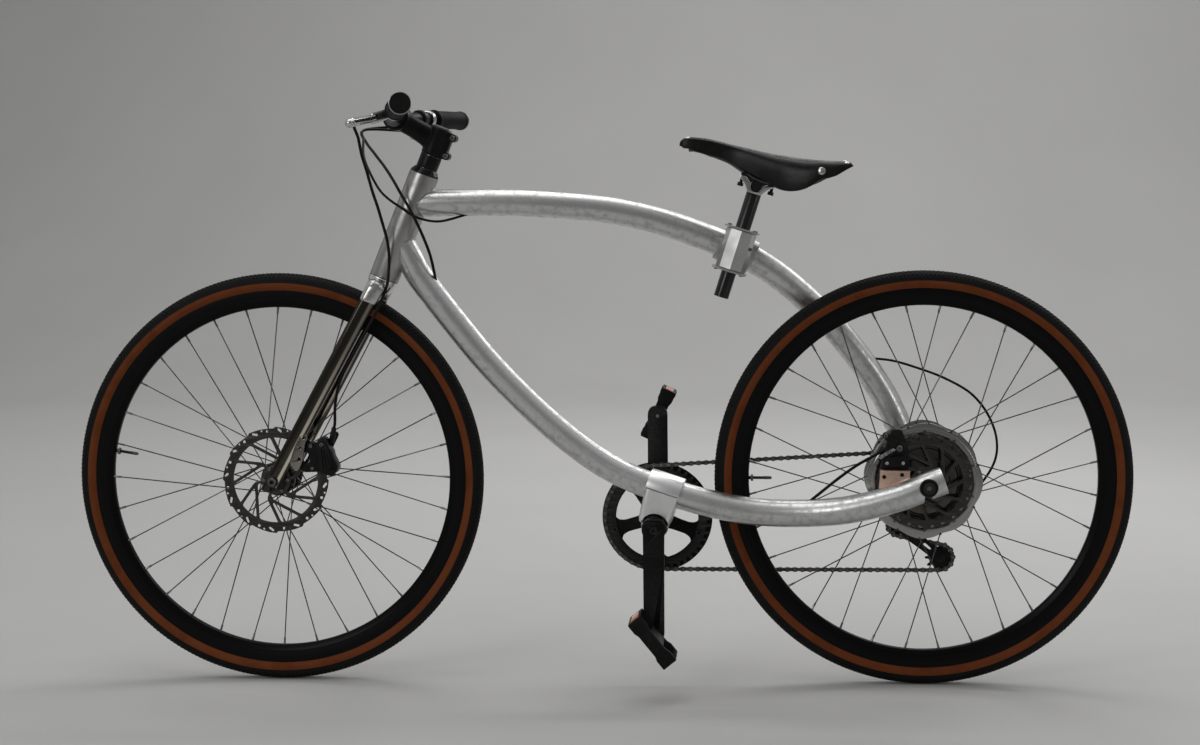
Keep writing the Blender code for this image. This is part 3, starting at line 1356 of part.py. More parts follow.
def shifter():
    """Local X runs outwards along the bar, Y forwards and Z upwards."""
    out = (RIGHT_PLACE.to_3x3() @ Vector((1.0, 0.0, 0.0))).normalized()
    centre = bar_at(LEVER_Y, 1) - out * 0.034
    up = Vector((0.0, 0.0, 1.0))
    up = (up - out * up.dot(out)).normalized()
    front = up.cross(out).normalized()
    place = Matrix.Translation(centre) @ Matrix((out, front, up)).transposed().to_4x4()
    body = rod("shifter_body", 0.0155, centre - out * 0.006, centre + out * 0.006, 12)
    pod = flat("pod", [[(-0.016, -0.012), (0.010, -0.012), (0.014, 0.004), (0.008, 0.014), (-0.012, 0.014),
                        (-0.018, 0.006)]], POD_OUT, POD_IN, place)
    pivot = local(place, -0.002, 0.0, POD_OUT - 0.0015)
    pin = rod("shift_pin", SHIFT_PIN_R, pivot + up * 0.006, pivot - up * 0.004, 10)
    start, mouth = (local(place, *spot) for spot in SHIFT_STOP)
    stop = rod("cable_stop", 0.0040, start, mouth, 8)
    add(body, pod, pin, stop)
    cut(body, bar_room("bar_room"), stop_hole(start, mouth))
    piece(body, "shifter_body", BLACK, HEAD_MID, smooth=False)
    lever = flat("shifter_lever", [capsule((-0.002, 0.0), (0.018, -0.022), 0.0070, 0.0045, 4),
                                   circle(SHIFT_PIN_R + 2 * GAP, 10, (-0.002, 0.0))],
                 POD_OUT - GAP - SHIFT_LEVER_T, POD_OUT - GAP, place)
    piece(lever, "shifter_lever", ALLOY, pivot, smooth=False)
    return stop_mouth(start, mouth)


SHIFT_MOUTH = shifter()


# Disc brake calipers with their cable arms.

# Where each cable's housing ends: a stop on the caliper, from inside the body to its mouth.
FRONT_STOP = (FRONT_AXLE + Vector((0.0950, -0.0360, 0.0620)), FRONT_AXLE + Vector((0.1000, -0.0380, 0.0880)))
REAR_STOP = (REAR_AXLE + Vector((-0.0560, -0.0590, 0.0620)), REAR_AXLE + Vector((-0.0760, -0.0590, 0.0500)))
FRONT_ARM_PIVOT = FRONT_AXLE + Vector((0.0840, -0.0280, 0.0500))
REAR_ARM_PIVOT = REAR_AXLE + Vector((-0.0440, -0.0660, 0.0590))
REAR_CALIPER_Y = (-0.0660, -0.0410)
ARM_SPINDLE_R = 0.0050
ARM_T = 0.0045


def caliper(label, corners, span, side, stop, origin):
    """A body over the edge of the rotor, with the stop that the cable's housing ends in."""
    body = plate(label + "_caliper", [corners], *span)
    bevel = body.modifiers.new("edges", "BEVEL")
    bevel.width = 0.002
    bevel.segments = 1
    axle, rotor_r, rotor_y, pivot = {
        "front": (FRONT_AXLE, FRONT_ROTOR_R, FRONT_ROTOR_Y, FRONT_ARM_PIVOT),
        "rear": (REAR_AXLE, REAR_ROTOR_R, REAR_ROTOR_Y, REAR_ARM_PIVOT)}[label]
    half = ROTOR_T / 2 + 0.0008
    cut(body, rod("rotor_room", rotor_r + 0.0025, (axle.x, rotor_y - half, axle.z),
                  (axle.x, rotor_y + half, axle.z), 40))
    face = span[0] if side < 0 else span[1]
    cut(body, rod("arm_bore", ARM_SPINDLE_R + 2 * GAP, (pivot.x, face + side * 0.002, pivot.z),
                  (pivot.x, face - side * 0.0065, pivot.z), 12))
    add(body, rod("stop", 0.0045, *stop, 10))
    cut(body, stop_hole(*stop))
    piece(body, label + "_caliper", BLACK, origin)


def caliper_arm(label, pivot, end, face, side):
    """The arm that the cable pulls, on its spindle in the caliper's face."""
    near = face + side * GAP
    arm = plate(label + "_caliper_arm", [capsule(xz(pivot), end, 0.0085, 0.0050, 5)],
                *sorted((near, near + side * ARM_T)))
    add(arm, rod("arm_spindle", ARM_SPINDLE_R, (pivot.x, near + side * 0.002, pivot.z),
                 (pivot.x, face - side * 0.006, pivot.z), 12))
    piece(arm, label + "_caliper_arm", BLACK, pivot)


def calipers():
    """The rear body stands on a bracket; the front one bolts to the tab of the left fork blade."""
    rear = [(-0.060, 0.0285), (-0.031, 0.0285), (-0.026, 0.046), (-0.026, 0.074), (-0.034, 0.090),
            (-0.054, 0.090), (-0.062, 0.078), (-0.062, 0.046)]
    caliper("rear", [by_axle(REAR_AXLE, *spot) for spot in rear], REAR_CALIPER_Y, -1, REAR_STOP, None)
    caliper_arm("rear", REAR_ARM_PIVOT, by_axle(REAR_AXLE, -0.0660, 0.0800), REAR_CALIPER_Y[0], -1)
    front = [(0.052, 0.030), (0.079, 0.014), (0.100, 0.018), (0.107, 0.034), (0.101, 0.065), (0.084, 0.075),
             (0.060, 0.070)]
    caliper("front", [by_axle(FRONT_AXLE, *spot) for spot in front], FRONT_CALIPER_Y, 1, FRONT_STOP,
            FRONT_AXLE)
    caliper_arm("front", FRONT_ARM_PIVOT, by_axle(FRONT_AXLE, 0.1000, 0.0750), FRONT_CALIPER_Y[1], 1)


calipers()


def caliper_bracket():
    """A plate that stands on the lower tube."""
    outline = [by_axle(REAR_AXLE, x, z) for x, z in (
        (-0.0760, -0.0140), (-0.0760, 0.0282), (-0.0320, 0.0282), (-0.0290, -0.0060))]
    body = plate("rear_caliper_bracket", [outline], -0.0760, -0.0600)
    cut(body, swept("tube_room", past(LOWER_LINE), TUBE_R + GAP, 4))
    piece(body, "rear_caliper_bracket", COPPER)


caliper_bracket()


# Derailleur: hanger with its upper knuckle, link, lower knuckle, cage and two pulleys.

HANGER_BOLT = REAR_AXLE + Vector((0.0155, 0.0, -0.0332))
LINK_TOP = REAR_AXLE + Vector((0.0100, 0.0760, -0.0500))
LINK_FOOT = REAR_AXLE + Vector((-0.0310, 0.0665, -0.0820))
LINK_AXIS = Vector((LINK_FOOT.z - LINK_TOP.z, 0.0, LINK_TOP.x - LINK_FOOT.x)).normalized()
LINK_HALF = 0.0055
LINK_EYE_R = 0.0050
LINK_PIN_R = 0.0020
LUG_R = 0.0030
PULLEY_BOLT_R = 0.0025


def lug_at(pivot):
    """The middle of the lug that stands beside a link's eye and holds its pin."""
    return pivot + LINK_AXIS * (LINK_HALF + GAP + LUG_R)


def link_pin(pivot):
    return rod("link_pin", LINK_PIN_R, lug_at(pivot), pivot - LINK_AXIS * LINK_HALF, 8)


def derailleur_parts():
    inner = REAR_HUB_HALF - 0.0050
    outer = REAR_HUB_HALF - 0.0012
    hang = plate("derailleur_hanger", [capsule(xz(REAR_AXLE), xz(HANGER_BOLT), 0.0150, 0.0100, 4)],
                 inner, outer)
    bolt_from = Vector((HANGER_BOLT.x, inner + 0.001, HANGER_BOLT.z))
    add(hang, rod("bolt", 0.0085, bolt_from, bolt_from + Vector((0.0, 0.0200, 0.0)), 10),
        plate("cable_arm", [capsule(xz(HANGER_BOLT), by_axle(REAR_AXLE, 0.0470, -0.0470), 0.0065, 0.0060, 3)],
              0.0750, 0.0820),
        plate("upper_lug", [capsule(xz(HANGER_BOLT), xz(lug_at(LINK_TOP)), LUG_R, LUG_R - 0.0001, 3)],
              0.0715, 0.0800),
        link_pin(LINK_TOP))
    cut(hang, rod("axle_room", AXLE_COLLAR_R + GAP, REAR_AXLE + Vector((0, 0.05, 0)),
                  REAR_AXLE + Vector((0, 0.07, 0)), 12))
    piece(hang, "derailleur_hanger", BLACK)

    run = (LINK_FOOT - LINK_TOP).normalized()
    turn = Matrix((run, LINK_AXIS.cross(run), LINK_AXIS)).transposed().to_4x4()
    length = (LINK_FOOT - LINK_TOP).length
    link = block("derailleur_link", (length, 0.006, 2 * LINK_HALF - 0.0004),
                 Matrix.Translation((LINK_TOP + LINK_FOOT) / 2) @ turn)
    for end in (LINK_TOP, LINK_FOOT):
        add(link, rod("eye", LINK_EYE_R, end - LINK_AXIS * LINK_HALF, end + LINK_AXIS * LINK_HALF, 10))
        cut(link, rod("eye_hole", LINK_PIN_R + GAP, end - LINK_AXIS * 0.01, end + LINK_AXIS * 0.01, 8))
    piece(link, "derailleur_link", BLACK, LINK_TOP)

    pivot = GUIDE_AXLE
    cage_out = CHAIN_LINE + 0.0070
    knuckle = rod("derailleur_knuckle", 0.0095, (pivot.x, cage_out + GAP, pivot.z),
                  (pivot.x, 0.0600, pivot.z), 14)
    add(knuckle, plate("lower_lug", [circle(LUG_R, 8, xz(lug_at(LINK_FOOT)))], 0.0560, 0.0705),
        link_pin(LINK_FOOT))
    piece(knuckle, "derailleur_knuckle", BLACK, LINK_FOOT)

    guide, tension = xz(GUIDE_AXLE), xz(TENSION_AXLE)
    shape = [capsule(guide, tension, 0.0105, 0.0085, 5)]
    cage = plate("derailleur_cage", shape, cage_out - 0.0016, cage_out)
    inner_plate = plate("inner_plate", shape, CHAIN_LINE - 0.0070, CHAIN_LINE - 0.0054)
    bolts = []
    for axle in (GUIDE_AXLE, TENSION_AXLE):
        reach = Vector((0.0, 0.0062, 0.0))
        bolts.append(rod("pulley_bolt", PULLEY_BOLT_R, axle - reach, axle + reach, 8))
    add(cage, inner_plate, *bolts)
    piece(cage, "derailleur_cage", BLACK, GUIDE_AXLE)

    for name, wheel, axle in (("guide_pulley", 1, GUIDE_AXLE), ("tension_pulley", 2, TENSION_AXLE)):
        loops = [toothed_loop(PULLEY_TEETH, xz(axle), tooth_phase(wheel), tip=0.0024, foot=0.0015),
                 circle(0.0060, 8, xz(axle))]
        pulley = plate(name, loops, CHAIN_LINE - TOOTH_T / 2, CHAIN_LINE + TOOTH_T / 2)
        ring = [circle(0.0080, 12, xz(axle)), circle(PULLEY_BOLT_R + 2 * GAP, 10, xz(axle))]
        hub = plate("pulley_hub", ring, CHAIN_LINE - 0.0045, CHAIN_LINE + 0.0045)
        add(pulley, hub)
        piece(pulley, name, BLACK, axle, smooth=False)


derailleur_parts()


# Cable housings. Two of them run inside the frame tubes: a route to the tube, its middle line,
# and a route from the tube. Each tube is opened along its own cable.

FRONT_CABLE = [(-0.3846, -0.098, 0.9380), (-0.3811, -0.086, 0.9136), (-0.3782, -0.075, 0.8866),
               (-0.3728, -0.066, 0.8624), (-0.3660, -0.056, 0.8297), (-0.3583, -0.047, 0.8001),
               (-0.3516, -0.041, 0.7719), (-0.3457, -0.038, 0.7471), (-0.3427, -0.038, 0.7222),
               (-0.3432, -0.040, 0.6974), (-0.3450, -0.046, 0.6740), (-0.3525, -0.052, 0.6510),
               (-0.3700, -0.060, 0.6130), (-0.3990, -0.065, 0.5600), (-0.4230, -0.062, 0.5150),
               (-0.4345, -0.050, 0.4750)]
SHIFT_CABLE = [(-0.4000, 0.060, 0.9330), (-0.3980, 0.037, 0.9150), (-0.3930, 0.012, 0.8880),
               (-0.3781, -0.014, 0.8601), (-0.3593, -0.026, 0.8299), (-0.3416, -0.0300, 0.8132),
               (-0.3245, -0.0310, 0.8015), (-0.3077, -0.0315, 0.7898), (-0.2944, -0.0310, 0.7831),
               (-0.2751, -0.0245, 0.7780), (-0.2594, -0.0190, 0.7772), (-0.2437, -0.0130, 0.7805),
               (-0.2250, -0.0070, 0.7860), (-0.1950, 0.0010, 0.7950), (-0.1500, 0.0050, 0.7990)]
SHIFT_TAIL = [(0.4480, 0.0815, 0.5410), (0.4640, 0.0830, 0.5390), (0.5000, 0.0870, 0.5340),
              (0.5450, 0.0900, 0.5200), (0.5860, 0.0910, 0.5040), (0.6290, 0.0905, 0.4790),
              (0.6580, 0.0900, 0.4440), (0.6735, 0.0890, 0.4019), (0.6700, 0.0860, 0.3610),
              (0.6420, 0.0820, 0.3180), (0.6140, 0.0800, 0.3000), (0.5935, 0.0790, 0.2965)]
BRAKE_CABLE = [(-0.4080, 0.085, 0.9330), (-0.3982, 0.060, 0.9120), (-0.3790, 0.030, 0.8930),
               (-0.3570, 0.004, 0.8700), (-0.3385, -0.020, 0.8480), (-0.3238, -0.0340, 0.8260),
               (-0.3063, -0.0420, 0.7980), (-0.2933, -0.0420, 0.7716), (-0.2830, -0.0350, 0.7450),
               (-0.2761, -0.0240, 0.7200), (-0.2720, -0.0120, 0.6920), (-0.2690, -0.0040, 0.6680),
               (-0.2550, -0.0020, 0.6350), (-0.2200, -0.0030, 0.5880)]
BRAKE_TAIL = [(0.3150, -0.0540, 0.2990), (0.3380, -0.0590, 0.3060), (0.3620, -0.0615, 0.3250),
              (0.4000, -0.0630, 0.3560), (0.4300, -0.0610, 0.3770)]
SHIFT_CABLE_R = 0.0021
PORT_ROOM = 0.0010


def inside(line, x_from, x_to, step):
    """Points on a tube's middle line between two stations."""
    count = round((x_to - x_from) / step)
    return [along(line, x_from + (x_to - x_from) * i / count)[0] for i in range(count + 1)]


def cable_run(start, route, end, count):
    """A cable's middle line along a route, straight where it leaves a mouth at its start or end."""
    line = start[1:] + [Vector(p) for p in route] + end[:0:-1]
    return start[:1] + smooth_path(line, count) + end[:1]


FRONT_CABLE_LINE = cable_run(cable_mouth(LEFT_PLACE), FRONT_CABLE, stop_mouth(*FRONT_STOP), 28)
SHIFT_CABLE_LINE = (cable_run(SHIFT_MOUTH, SHIFT_CABLE, [], 22)
                    + inside(UPPER_LINE, -0.10, 0.40, 0.12)
                    + cable_run([], SHIFT_TAIL, [], 13))
BRAKE_CABLE_LINE = (cable_run(cable_mouth(RIGHT_PLACE), BRAKE_CABLE, [], 22)
                    + inside(LOWER_LINE, -0.17, 0.28, 0.12)
                    + cable_run([], BRAKE_TAIL, stop_mouth(*REAR_STOP), 12))


def port(cable, radius, x_from, x_to):
    """The cutter of the hole that a cable passes through, along the cable itself."""
    return swept("port", [p for p in cable if x_from < p.x < x_to], radius + PORT_ROOM, 2)


piece(swept("front_brake_cable", FRONT_CABLE_LINE, CABLE_R, 2), "front_brake_cable", RUBBER, HEAD_MID)
piece(swept("shift_cable", SHIFT_CABLE_LINE, SHIFT_CABLE_R, 2), "shift_cable", RUBBER)
piece(swept("rear_brake_cable", BRAKE_CABLE_LINE, CABLE_R, 2), "rear_brake_cable", RUBBER)

frame_tube("upper_tube", UPPER_LINE, 1, [port(SHIFT_CABLE_LINE, SHIFT_CABLE_R, -0.262, -0.18),
                                         port(SHIFT_CABLE_LINE, SHIFT_CABLE_R, 0.43, 0.53)])
frame_tube("lower_tube", LOWER_LINE, -1, [port(BRAKE_CABLE_LINE, CABLE_R, -0.2755, -0.23),
                                          port(BRAKE_CABLE_LINE, CABLE_R, 0.30, 0.385)])
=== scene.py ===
"""An electric bicycle of bare aluminium tube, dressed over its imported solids.

Metres, +Z up. The front of the bicycle is at -X and its drive side is +Y.
"""

from math import asin, atan2, copysign, cos, hypot, pi, radians, sin, sqrt

import bmesh
import bpy
from mathutils import Matrix, Vector


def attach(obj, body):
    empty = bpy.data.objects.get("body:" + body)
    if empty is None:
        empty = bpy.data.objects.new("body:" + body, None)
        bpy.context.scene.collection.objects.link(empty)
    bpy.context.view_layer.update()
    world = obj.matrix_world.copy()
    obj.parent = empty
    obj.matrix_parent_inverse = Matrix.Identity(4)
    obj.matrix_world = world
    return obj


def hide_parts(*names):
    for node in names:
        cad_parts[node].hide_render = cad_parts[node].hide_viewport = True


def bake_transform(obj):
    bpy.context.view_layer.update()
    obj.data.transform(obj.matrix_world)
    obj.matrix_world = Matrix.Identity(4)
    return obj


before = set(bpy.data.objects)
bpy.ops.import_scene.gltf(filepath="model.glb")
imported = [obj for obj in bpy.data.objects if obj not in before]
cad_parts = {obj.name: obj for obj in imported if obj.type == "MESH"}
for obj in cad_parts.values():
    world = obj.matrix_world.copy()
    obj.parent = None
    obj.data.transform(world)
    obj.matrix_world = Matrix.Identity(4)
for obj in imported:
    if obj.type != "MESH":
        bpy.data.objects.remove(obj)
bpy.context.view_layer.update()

# Camera. It stands three metres off the near side, a little behind the middle and 0.8 m up,
# with a moderate telephoto lens. The shift is the photograph's own framing.

CAMERA_AT = Vector((0.2459, -3.0606, 0.8019))
CAMERA_RIGHT = Vector((0.998167, 0.06017, -0.006549))
CAMERA_UP = Vector((0.002622, 0.065106, 0.997875))
lens = bpy.data.cameras.new("photo_camera")
lens.lens = 55.2
lens.sensor_width = 36.0
lens.shift_x = -0.0278
lens.shift_y = -0.0398
camera = bpy.data.objects.new("photo_camera", lens)
turn = Matrix((CAMERA_RIGHT, CAMERA_UP, CAMERA_RIGHT.cross(CAMERA_UP))).transposed().to_4x4()
camera.matrix_world = Matrix.Translation(CAMERA_AT) @ turn
bpy.context.scene.collection.objects.link(camera)
bpy.context.scene.camera = camera
bpy.context.scene.view_settings.view_transform = "Standard"

# Studio. A pale floor sweeps up into a backdrop, under a wide soft box overhead and one at the
# front, with a strip behind and one at the side. The fifth lamp lights the backdrop alone.

PAPER_FRONT = -7.0
BEND_START = 4.6
BEND_R = 2.6
PAPER_TOP = 9.0
PAPER_HALF = 9.0


def node(tree, kind, inputs=None, **settings):
    """One shader node; each input is a value or the socket that feeds it."""
    made = tree.nodes.new(kind)
    for key, value in settings.items():
        setattr(made, key, value)
    for key, value in (inputs or {}).items():
        if isinstance(value, bpy.types.NodeSocket):
            tree.links.new(value, made.inputs[key])
        else:
            made.inputs[key].default_value = value
    return made


def noise(tree, place, scale, detail, **more):
    inputs = {"Vector": place, "Scale": scale, "Detail": detail, **more}
    return node(tree, "ShaderNodeTexNoise", inputs).outputs["Fac"]


def maths(tree, operation, first, second, **settings):
    return node(tree, "ShaderNodeMath", {0: first, 1: second}, operation=operation,
                **settings).outputs["Value"]


def mixed(tree, share, first, second):
    return node(tree, "ShaderNodeMix", {"Factor": share, "A": first, "B": second},
                data_type="RGBA").outputs["Result"]


def ranged(tree, value, low, high, start=0.0, end=1.0, **settings):
    """A value that runs from low to high while the given one runs from start to end."""
    inputs = {"Value": value, "From Min": start, "From Max": end, "To Min": low, "To Max": high}
    return node(tree, "ShaderNodeMapRange", inputs, **settings).outputs["Result"]


def plain_paper():
    made = bpy.data.materials.new("backdrop_paper")
    made.use_nodes = True
    tree = made.node_tree
    shader = tree.nodes["Principled BSDF"].inputs
    place = node(tree, "ShaderNodeNewGeometry").outputs["Position"]
    cloud = noise(tree, place, 1.3, 3.0)
    tint = mixed(tree, cloud, (0.47, 0.465, 0.455, 1.0), (0.53, 0.525, 0.515, 1.0))
    tree.links.new(tint, shader["Base Color"])
    shader["Roughness"].default_value = 0.85
    return made


def sweep_of_paper():
    """Flat paper from behind the camera, a round bend at its far end and a wall above that."""
    rows = [(PAPER_FRONT, 0.0), (BEND_START, 0.0)]
    for i in range(1, 17):
        angle = pi / 2 * i / 16
        rows.append((BEND_START + BEND_R * sin(angle), BEND_R - BEND_R * cos(angle)))
    rows.append((BEND_START + BEND_R, PAPER_TOP))
    bm = bmesh.new()
    lines = [[bm.verts.new((x, y, z)) for x in (-PAPER_HALF, PAPER_HALF)] for y, z in rows]
    for a, b in zip(lines, lines[1:]):
        bm.faces.new((a[0], a[1], b[1], b[0]))
    mesh = bpy.data.meshes.new("floor")
    bm.to_mesh(mesh)
    bm.free()
    for face in mesh.polygons:
        face.use_smooth = True
    paper = bpy.data.objects.new("floor", mesh)
    paper.data.materials.append(plain_paper())
    bpy.context.scene.collection.objects.link(paper)


sweep_of_paper()


def soft_box(name, at, aim, size, power):
    """A rectangular lamp at one point, turned towards another."""
    lamp = bpy.data.lights.new(name, "AREA")
    lamp.shape = "RECTANGLE"
    lamp.size, lamp.size_y = size
    lamp.energy = power
    box = bpy.data.objects.new(name, lamp)
    ray = Vector(aim) - Vector(at)
    box.matrix_world = Matrix.Translation(at) @ ray.to_track_quat("-Z", "Y").to_matrix().to_4x4()
    bpy.context.scene.collection.objects.link(box)


soft_box("top_box", (-0.1, 0.1, 3.0), (0.0, 0.0, 0.5), (3.6, 1.2), 22.0)
soft_box("front_box", (-2.2, -3.2, 2.0), (0.0, 0.0, 0.5), (1.6, 1.6), 26.0)
soft_box("rear_strip", (1.6, 2.0, 2.2), (0.0, 0.0, 0.6), (2.6, 0.7), 16.0)
soft_box("paper_box", (0.9, 2.2, 4.6), (0.9, 6.2, 1.4), (3.6, 1.2), 132.0)
soft_box("side_strip", (3.6, -1.3, 1.5), (0.0, 0.0, 0.6), (0.35, 1.4), 8.0)

world = bpy.data.worlds.new("studio")
bpy.context.scene.world = world
world.use_nodes = True
sky = world.node_tree
way = node(sky, "ShaderNodeTexCoord").outputs["Generated"]
way = node(sky, "ShaderNodeSeparateXYZ", {"Vector": way}).outputs
shade_of_room = ranged(sky, way["Z"], 0.3, 0.6, -0.2, 0.9)
# The end of the room behind the camera is darker than the end with the paper.
near_side = ranged(sky, way["Y"], 0.42, 1.0, -0.75, 0.1)
backing = sky.nodes["Background"].inputs
sky.links.new(maths(sky, "MULTIPLY", shade_of_room, near_side), backing["Strength"])
backing["Color"].default_value = (0.98, 0.99, 1.0, 1.0)

# Frame tubes. Two bent aluminium tubes of 45 mm, drawn and left bare. Each starts in a mitre on
# the head tube, passes one side of the rear wheel and ends in an open slot for the axle.

GAP = 0.0003
WHEELBASE = 1.08
WHEEL_R = 0.346
FRONT_AXLE = Vector((-WHEELBASE / 2, 0.0, WHEEL_R))
REAR_AXLE = Vector((WHEELBASE / 2, 0.0, WHEEL_R))
REAR_HUB_HALF = 0.0675
REAR_AXLE_R = 0.006
AXLE_COLLAR_R = 0.01
TUBE_R = 0.0225
TUBE_BORE_R = 0.019
TUBE_END_Y = REAR_HUB_HALF + TUBE_R
NUT_FLAT = 0.002
HEAD_TILT = radians(22.2)
HEAD_MID = Vector((-0.3236, 0.0, 0.7695))
HEAD_HALF = 0.093
HEAD_R = 0.025
HEAD_BORE_R = 0.018
STEER = Matrix.Translation(HEAD_MID) @ Matrix.Rotation(HEAD_TILT, 4, "Y")


def effect(name, inputs, outputs):
    """A shader node group with named sockets, its inputs and its outputs."""
    tree = bpy.data.node_groups.new(name, "ShaderNodeTree")
    for label, kind, value in inputs:
        socket = tree.interface.new_socket(label, in_out="INPUT", socket_type="NodeSocket" + kind)
        if value is not None:
            socket.default_value = value
    for label, kind in outputs:
        tree.interface.new_socket(label, in_out="OUTPUT", socket_type="NodeSocket" + kind)
    return tree, tree.nodes.new("NodeGroupInput").outputs, tree.nodes.new("NodeGroupOutput").inputs


def drawn_grain():
    """Streaks of the drawing die or the brush: the smallest scale lies along them."""
    tree, given, found = effect("drawn_grain", [("Place", "Vector", None), ("Scale", "Vector", (1, 1, 1))],
                                [("Streak", "Float"), ("Scratch", "Float")])
    stretched = node(tree, "ShaderNodeVectorMath", {0: given["Place"], 1: given["Scale"]},
                     operation="MULTIPLY").outputs["Vector"]
    fine = noise(tree, stretched, 1.0, 3.0, Roughness=0.65)
    sparse = noise(tree, stretched, 0.37, 1.0)
    tree.links.new(fine, found["Streak"])
    tree.links.new(ranged(tree, sparse, 0.0, 1.0, 0.62, 0.74), found["Scratch"])
    return tree


def clouding():
    """Soft blotches of oxide, oil or handling."""
    tree, given, found = effect("clouding", [("Place", "Vector", None), ("Scale", "Float", 8.0),
                                             ("Low", "Float", 0.42), ("High", "Float", 0.66)],
                                [("Mask", "Float")])
    broad = noise(tree, given["Place"], given["Scale"], 6.0, Roughness=0.62)
    mask = ranged(tree, broad, 0.0, 1.0, given["Low"], given["High"], interpolation_type="SMOOTHSTEP")
    tree.links.new(mask, found["Mask"])
    return tree


def edge_wear():
    """Where a raised edge has rubbed: bright on sharp ridges, broken up by noise."""
    tree, given, found = effect("edge_wear", [("Place", "Vector", None), ("Amount", "Float", 0.5)],
                                [("Mask", "Float")])
    pointed = node(tree, "ShaderNodeNewGeometry").outputs["Pointiness"]
    ridge = ranged(tree, pointed, 0.0, 1.0, 0.52, 0.62)
    broken = maths(tree, "MULTIPLY", ridge, noise(tree, given["Place"], 190.0, 4.0))
    tree.links.new(maths(tree, "MULTIPLY", broken, given["Amount"], use_clamp=True), found["Mask"])
    return tree


EFFECTS = {"grain": drawn_grain(), "clouds": clouding(), "wear": edge_wear()}


def placed(tree, name, **values):
    """One of the effects, placed in a material with its own values."""
    return node(tree, "ShaderNodeGroup", {key.capitalize(): value for key, value in values.items()},
                node_tree=EFFECTS[name]).outputs


def new_finish(name, slot, along=False):
    """An empty finish: its material, node tree, shader and the place that its textures read.

    A piece that was straightened carries the attribute that along reads; others use object space.
    """
    made = bpy.data.materials.new(name)
    made.use_nodes = True
    made["slot"] = slot
    tree = made.node_tree
    if along:
        place = node(tree, "ShaderNodeAttribute", attribute_name="straight").outputs["Vector"]
    else:
        place = node(tree, "ShaderNodeTexCoord").outputs["Object"]
    return made, tree, tree.nodes["Principled BSDF"].inputs, place


def rgba(colour):
    """A colour with its alpha; a single number is a grey."""
    return (*colour, 1.0) if isinstance(colour, tuple) else (colour, colour, colour, 1.0)


def relief(tree, shader, height, strength, distance, **more):
    """Raises the surface by a height, through the shader's normal."""
    inputs = {"Height": height, "Strength": strength, "Distance": distance, **more}
    tree.links.new(node(tree, "ShaderNodeBump", inputs).outputs["Normal"], shader["Normal"])


def metal(name, slot, colour, clouded, rough, grain, along=False, clouds=(9.0, 0.42, 0.66),
          metallic=1.0, wear=0.0, bare=(0.8, 0.8, 0.79), bump=0.05, shine=0.5):
    """A metal finish: two colours in soft clouds, a grain in its gloss and height, and worn edges."""
    made, tree, shader, place = new_finish(name, slot, along)
    marks = placed(tree, "grain", place=place, scale=grain if isinstance(grain, tuple) else (grain,) * 3)
    scale, low, high = clouds
    cloud = placed(tree, "clouds", place=place, scale=scale, low=low, high=high)["Mask"]
    tint = mixed(tree, cloud, rgba(colour), rgba(clouded))
    shader["Metallic"].default_value = metallic
    shader["Specular IOR Level"].default_value = shine
    if wear:
        tint = mixed(tree, placed(tree, "wear", place=place, amount=wear)["Mask"], tint, rgba(bare))
    tree.links.new(tint, shader["Base Color"])
    uneven = maths(tree, "ADD", marks["Streak"], cloud)
    tree.links.new(ranged(tree, uneven, *rough, 0.3, 1.5), shader["Roughness"])
    relief(tree, shader, maths(tree, "SUBTRACT", marks["Streak"], marks["Scratch"]), bump, 0.0004)
    return made


def curve_through(before, a, b, after, t):
    """The smooth curve between a and b at t, with the neighbours that set its slopes."""
    return 0.5 * (2 * a + (b - before) * t + (2 * before - 5 * a + 4 * b - after) * t * t
                  + (3 * a - before - 3 * b + after) * t ** 3)


def lengths_along(line):
    """The distance from the start of a line to each of its points."""
    found = [0.0]
    for a, b in zip(line, line[1:]):
        found.append(found[-1] + (b - a).length)
    return found


def smooth_path(points, count):
    """Evenly spaced points on the smooth curve through the given points."""
    line = [Vector(p) for p in points]
    dense = []
    for i in range(len(line) - 1):
        before = line[max(i - 1, 0)]
        after = line[min(i + 2, len(line) - 1)]
        dense += [curve_through(before, line[i], line[i + 1], after, s / 16) for s in range(16)]
    dense.append(line[-1])
    lengths = lengths_along(dense)
    found = []
    k = 0
    for i in range(count):
        target = lengths[-1] * i / (count - 1)
        while k < len(dense) - 2 and lengths[k + 1] < target:
            k += 1
        share = (target - lengths[k]) / max(lengths[k + 1] - lengths[k], 1e-9)
        found.append(dense[k].lerp(dense[k + 1], min(max(share, 0.0), 1.0)))
    return found


def frames_along(line):
    """A sideways and an upward direction at each point of a line, carried along without twist."""
    line = [Vector(p) for p in line]
    heading = (line[1] - line[0]).normalized()
    side = heading.orthogonal().normalized()
    found = []
    for i, point in enumerate(line):
        ahead = (line[min(i + 1, len(line) - 1)] - line[max(i - 1, 0)]).normalized()
        side = (side - ahead * side.dot(ahead)).normalized()
        found.append((point, side, ahead.cross(side)))
    return found


def made_of(name, bm):
    """A smooth object from the mesh being built."""
    bmesh.ops.recalc_face_normals(bm, faces=bm.faces)
    mesh = bpy.data.meshes.new(name)
    bm.to_mesh(mesh)
    bm.free()
    for face in mesh.polygons:
        face.use_smooth = True
    obj = bpy.data.objects.new(name, mesh)
    bpy.context.scene.collection.objects.link(obj)
    return obj


def skin_through(bm, rings, loop=False):
    """Faces between rings of equally many points, with a cap on both ends unless they close up."""
    rows = [[bm.verts.new(point) for point in ring] for ring in rings]
    count = len(rows[0])
    for low, high in list(zip(rows, rows[1:])) + ([(rows[-1], rows[0])] if loop else []):
        for i in range(count):
            bm.faces.new((low[i], low[(i + 1) % count], high[(i + 1) % count], high[i]))
    if not loop:
        bm.faces.new(rows[0])
        bm.faces.new(rows[-1])


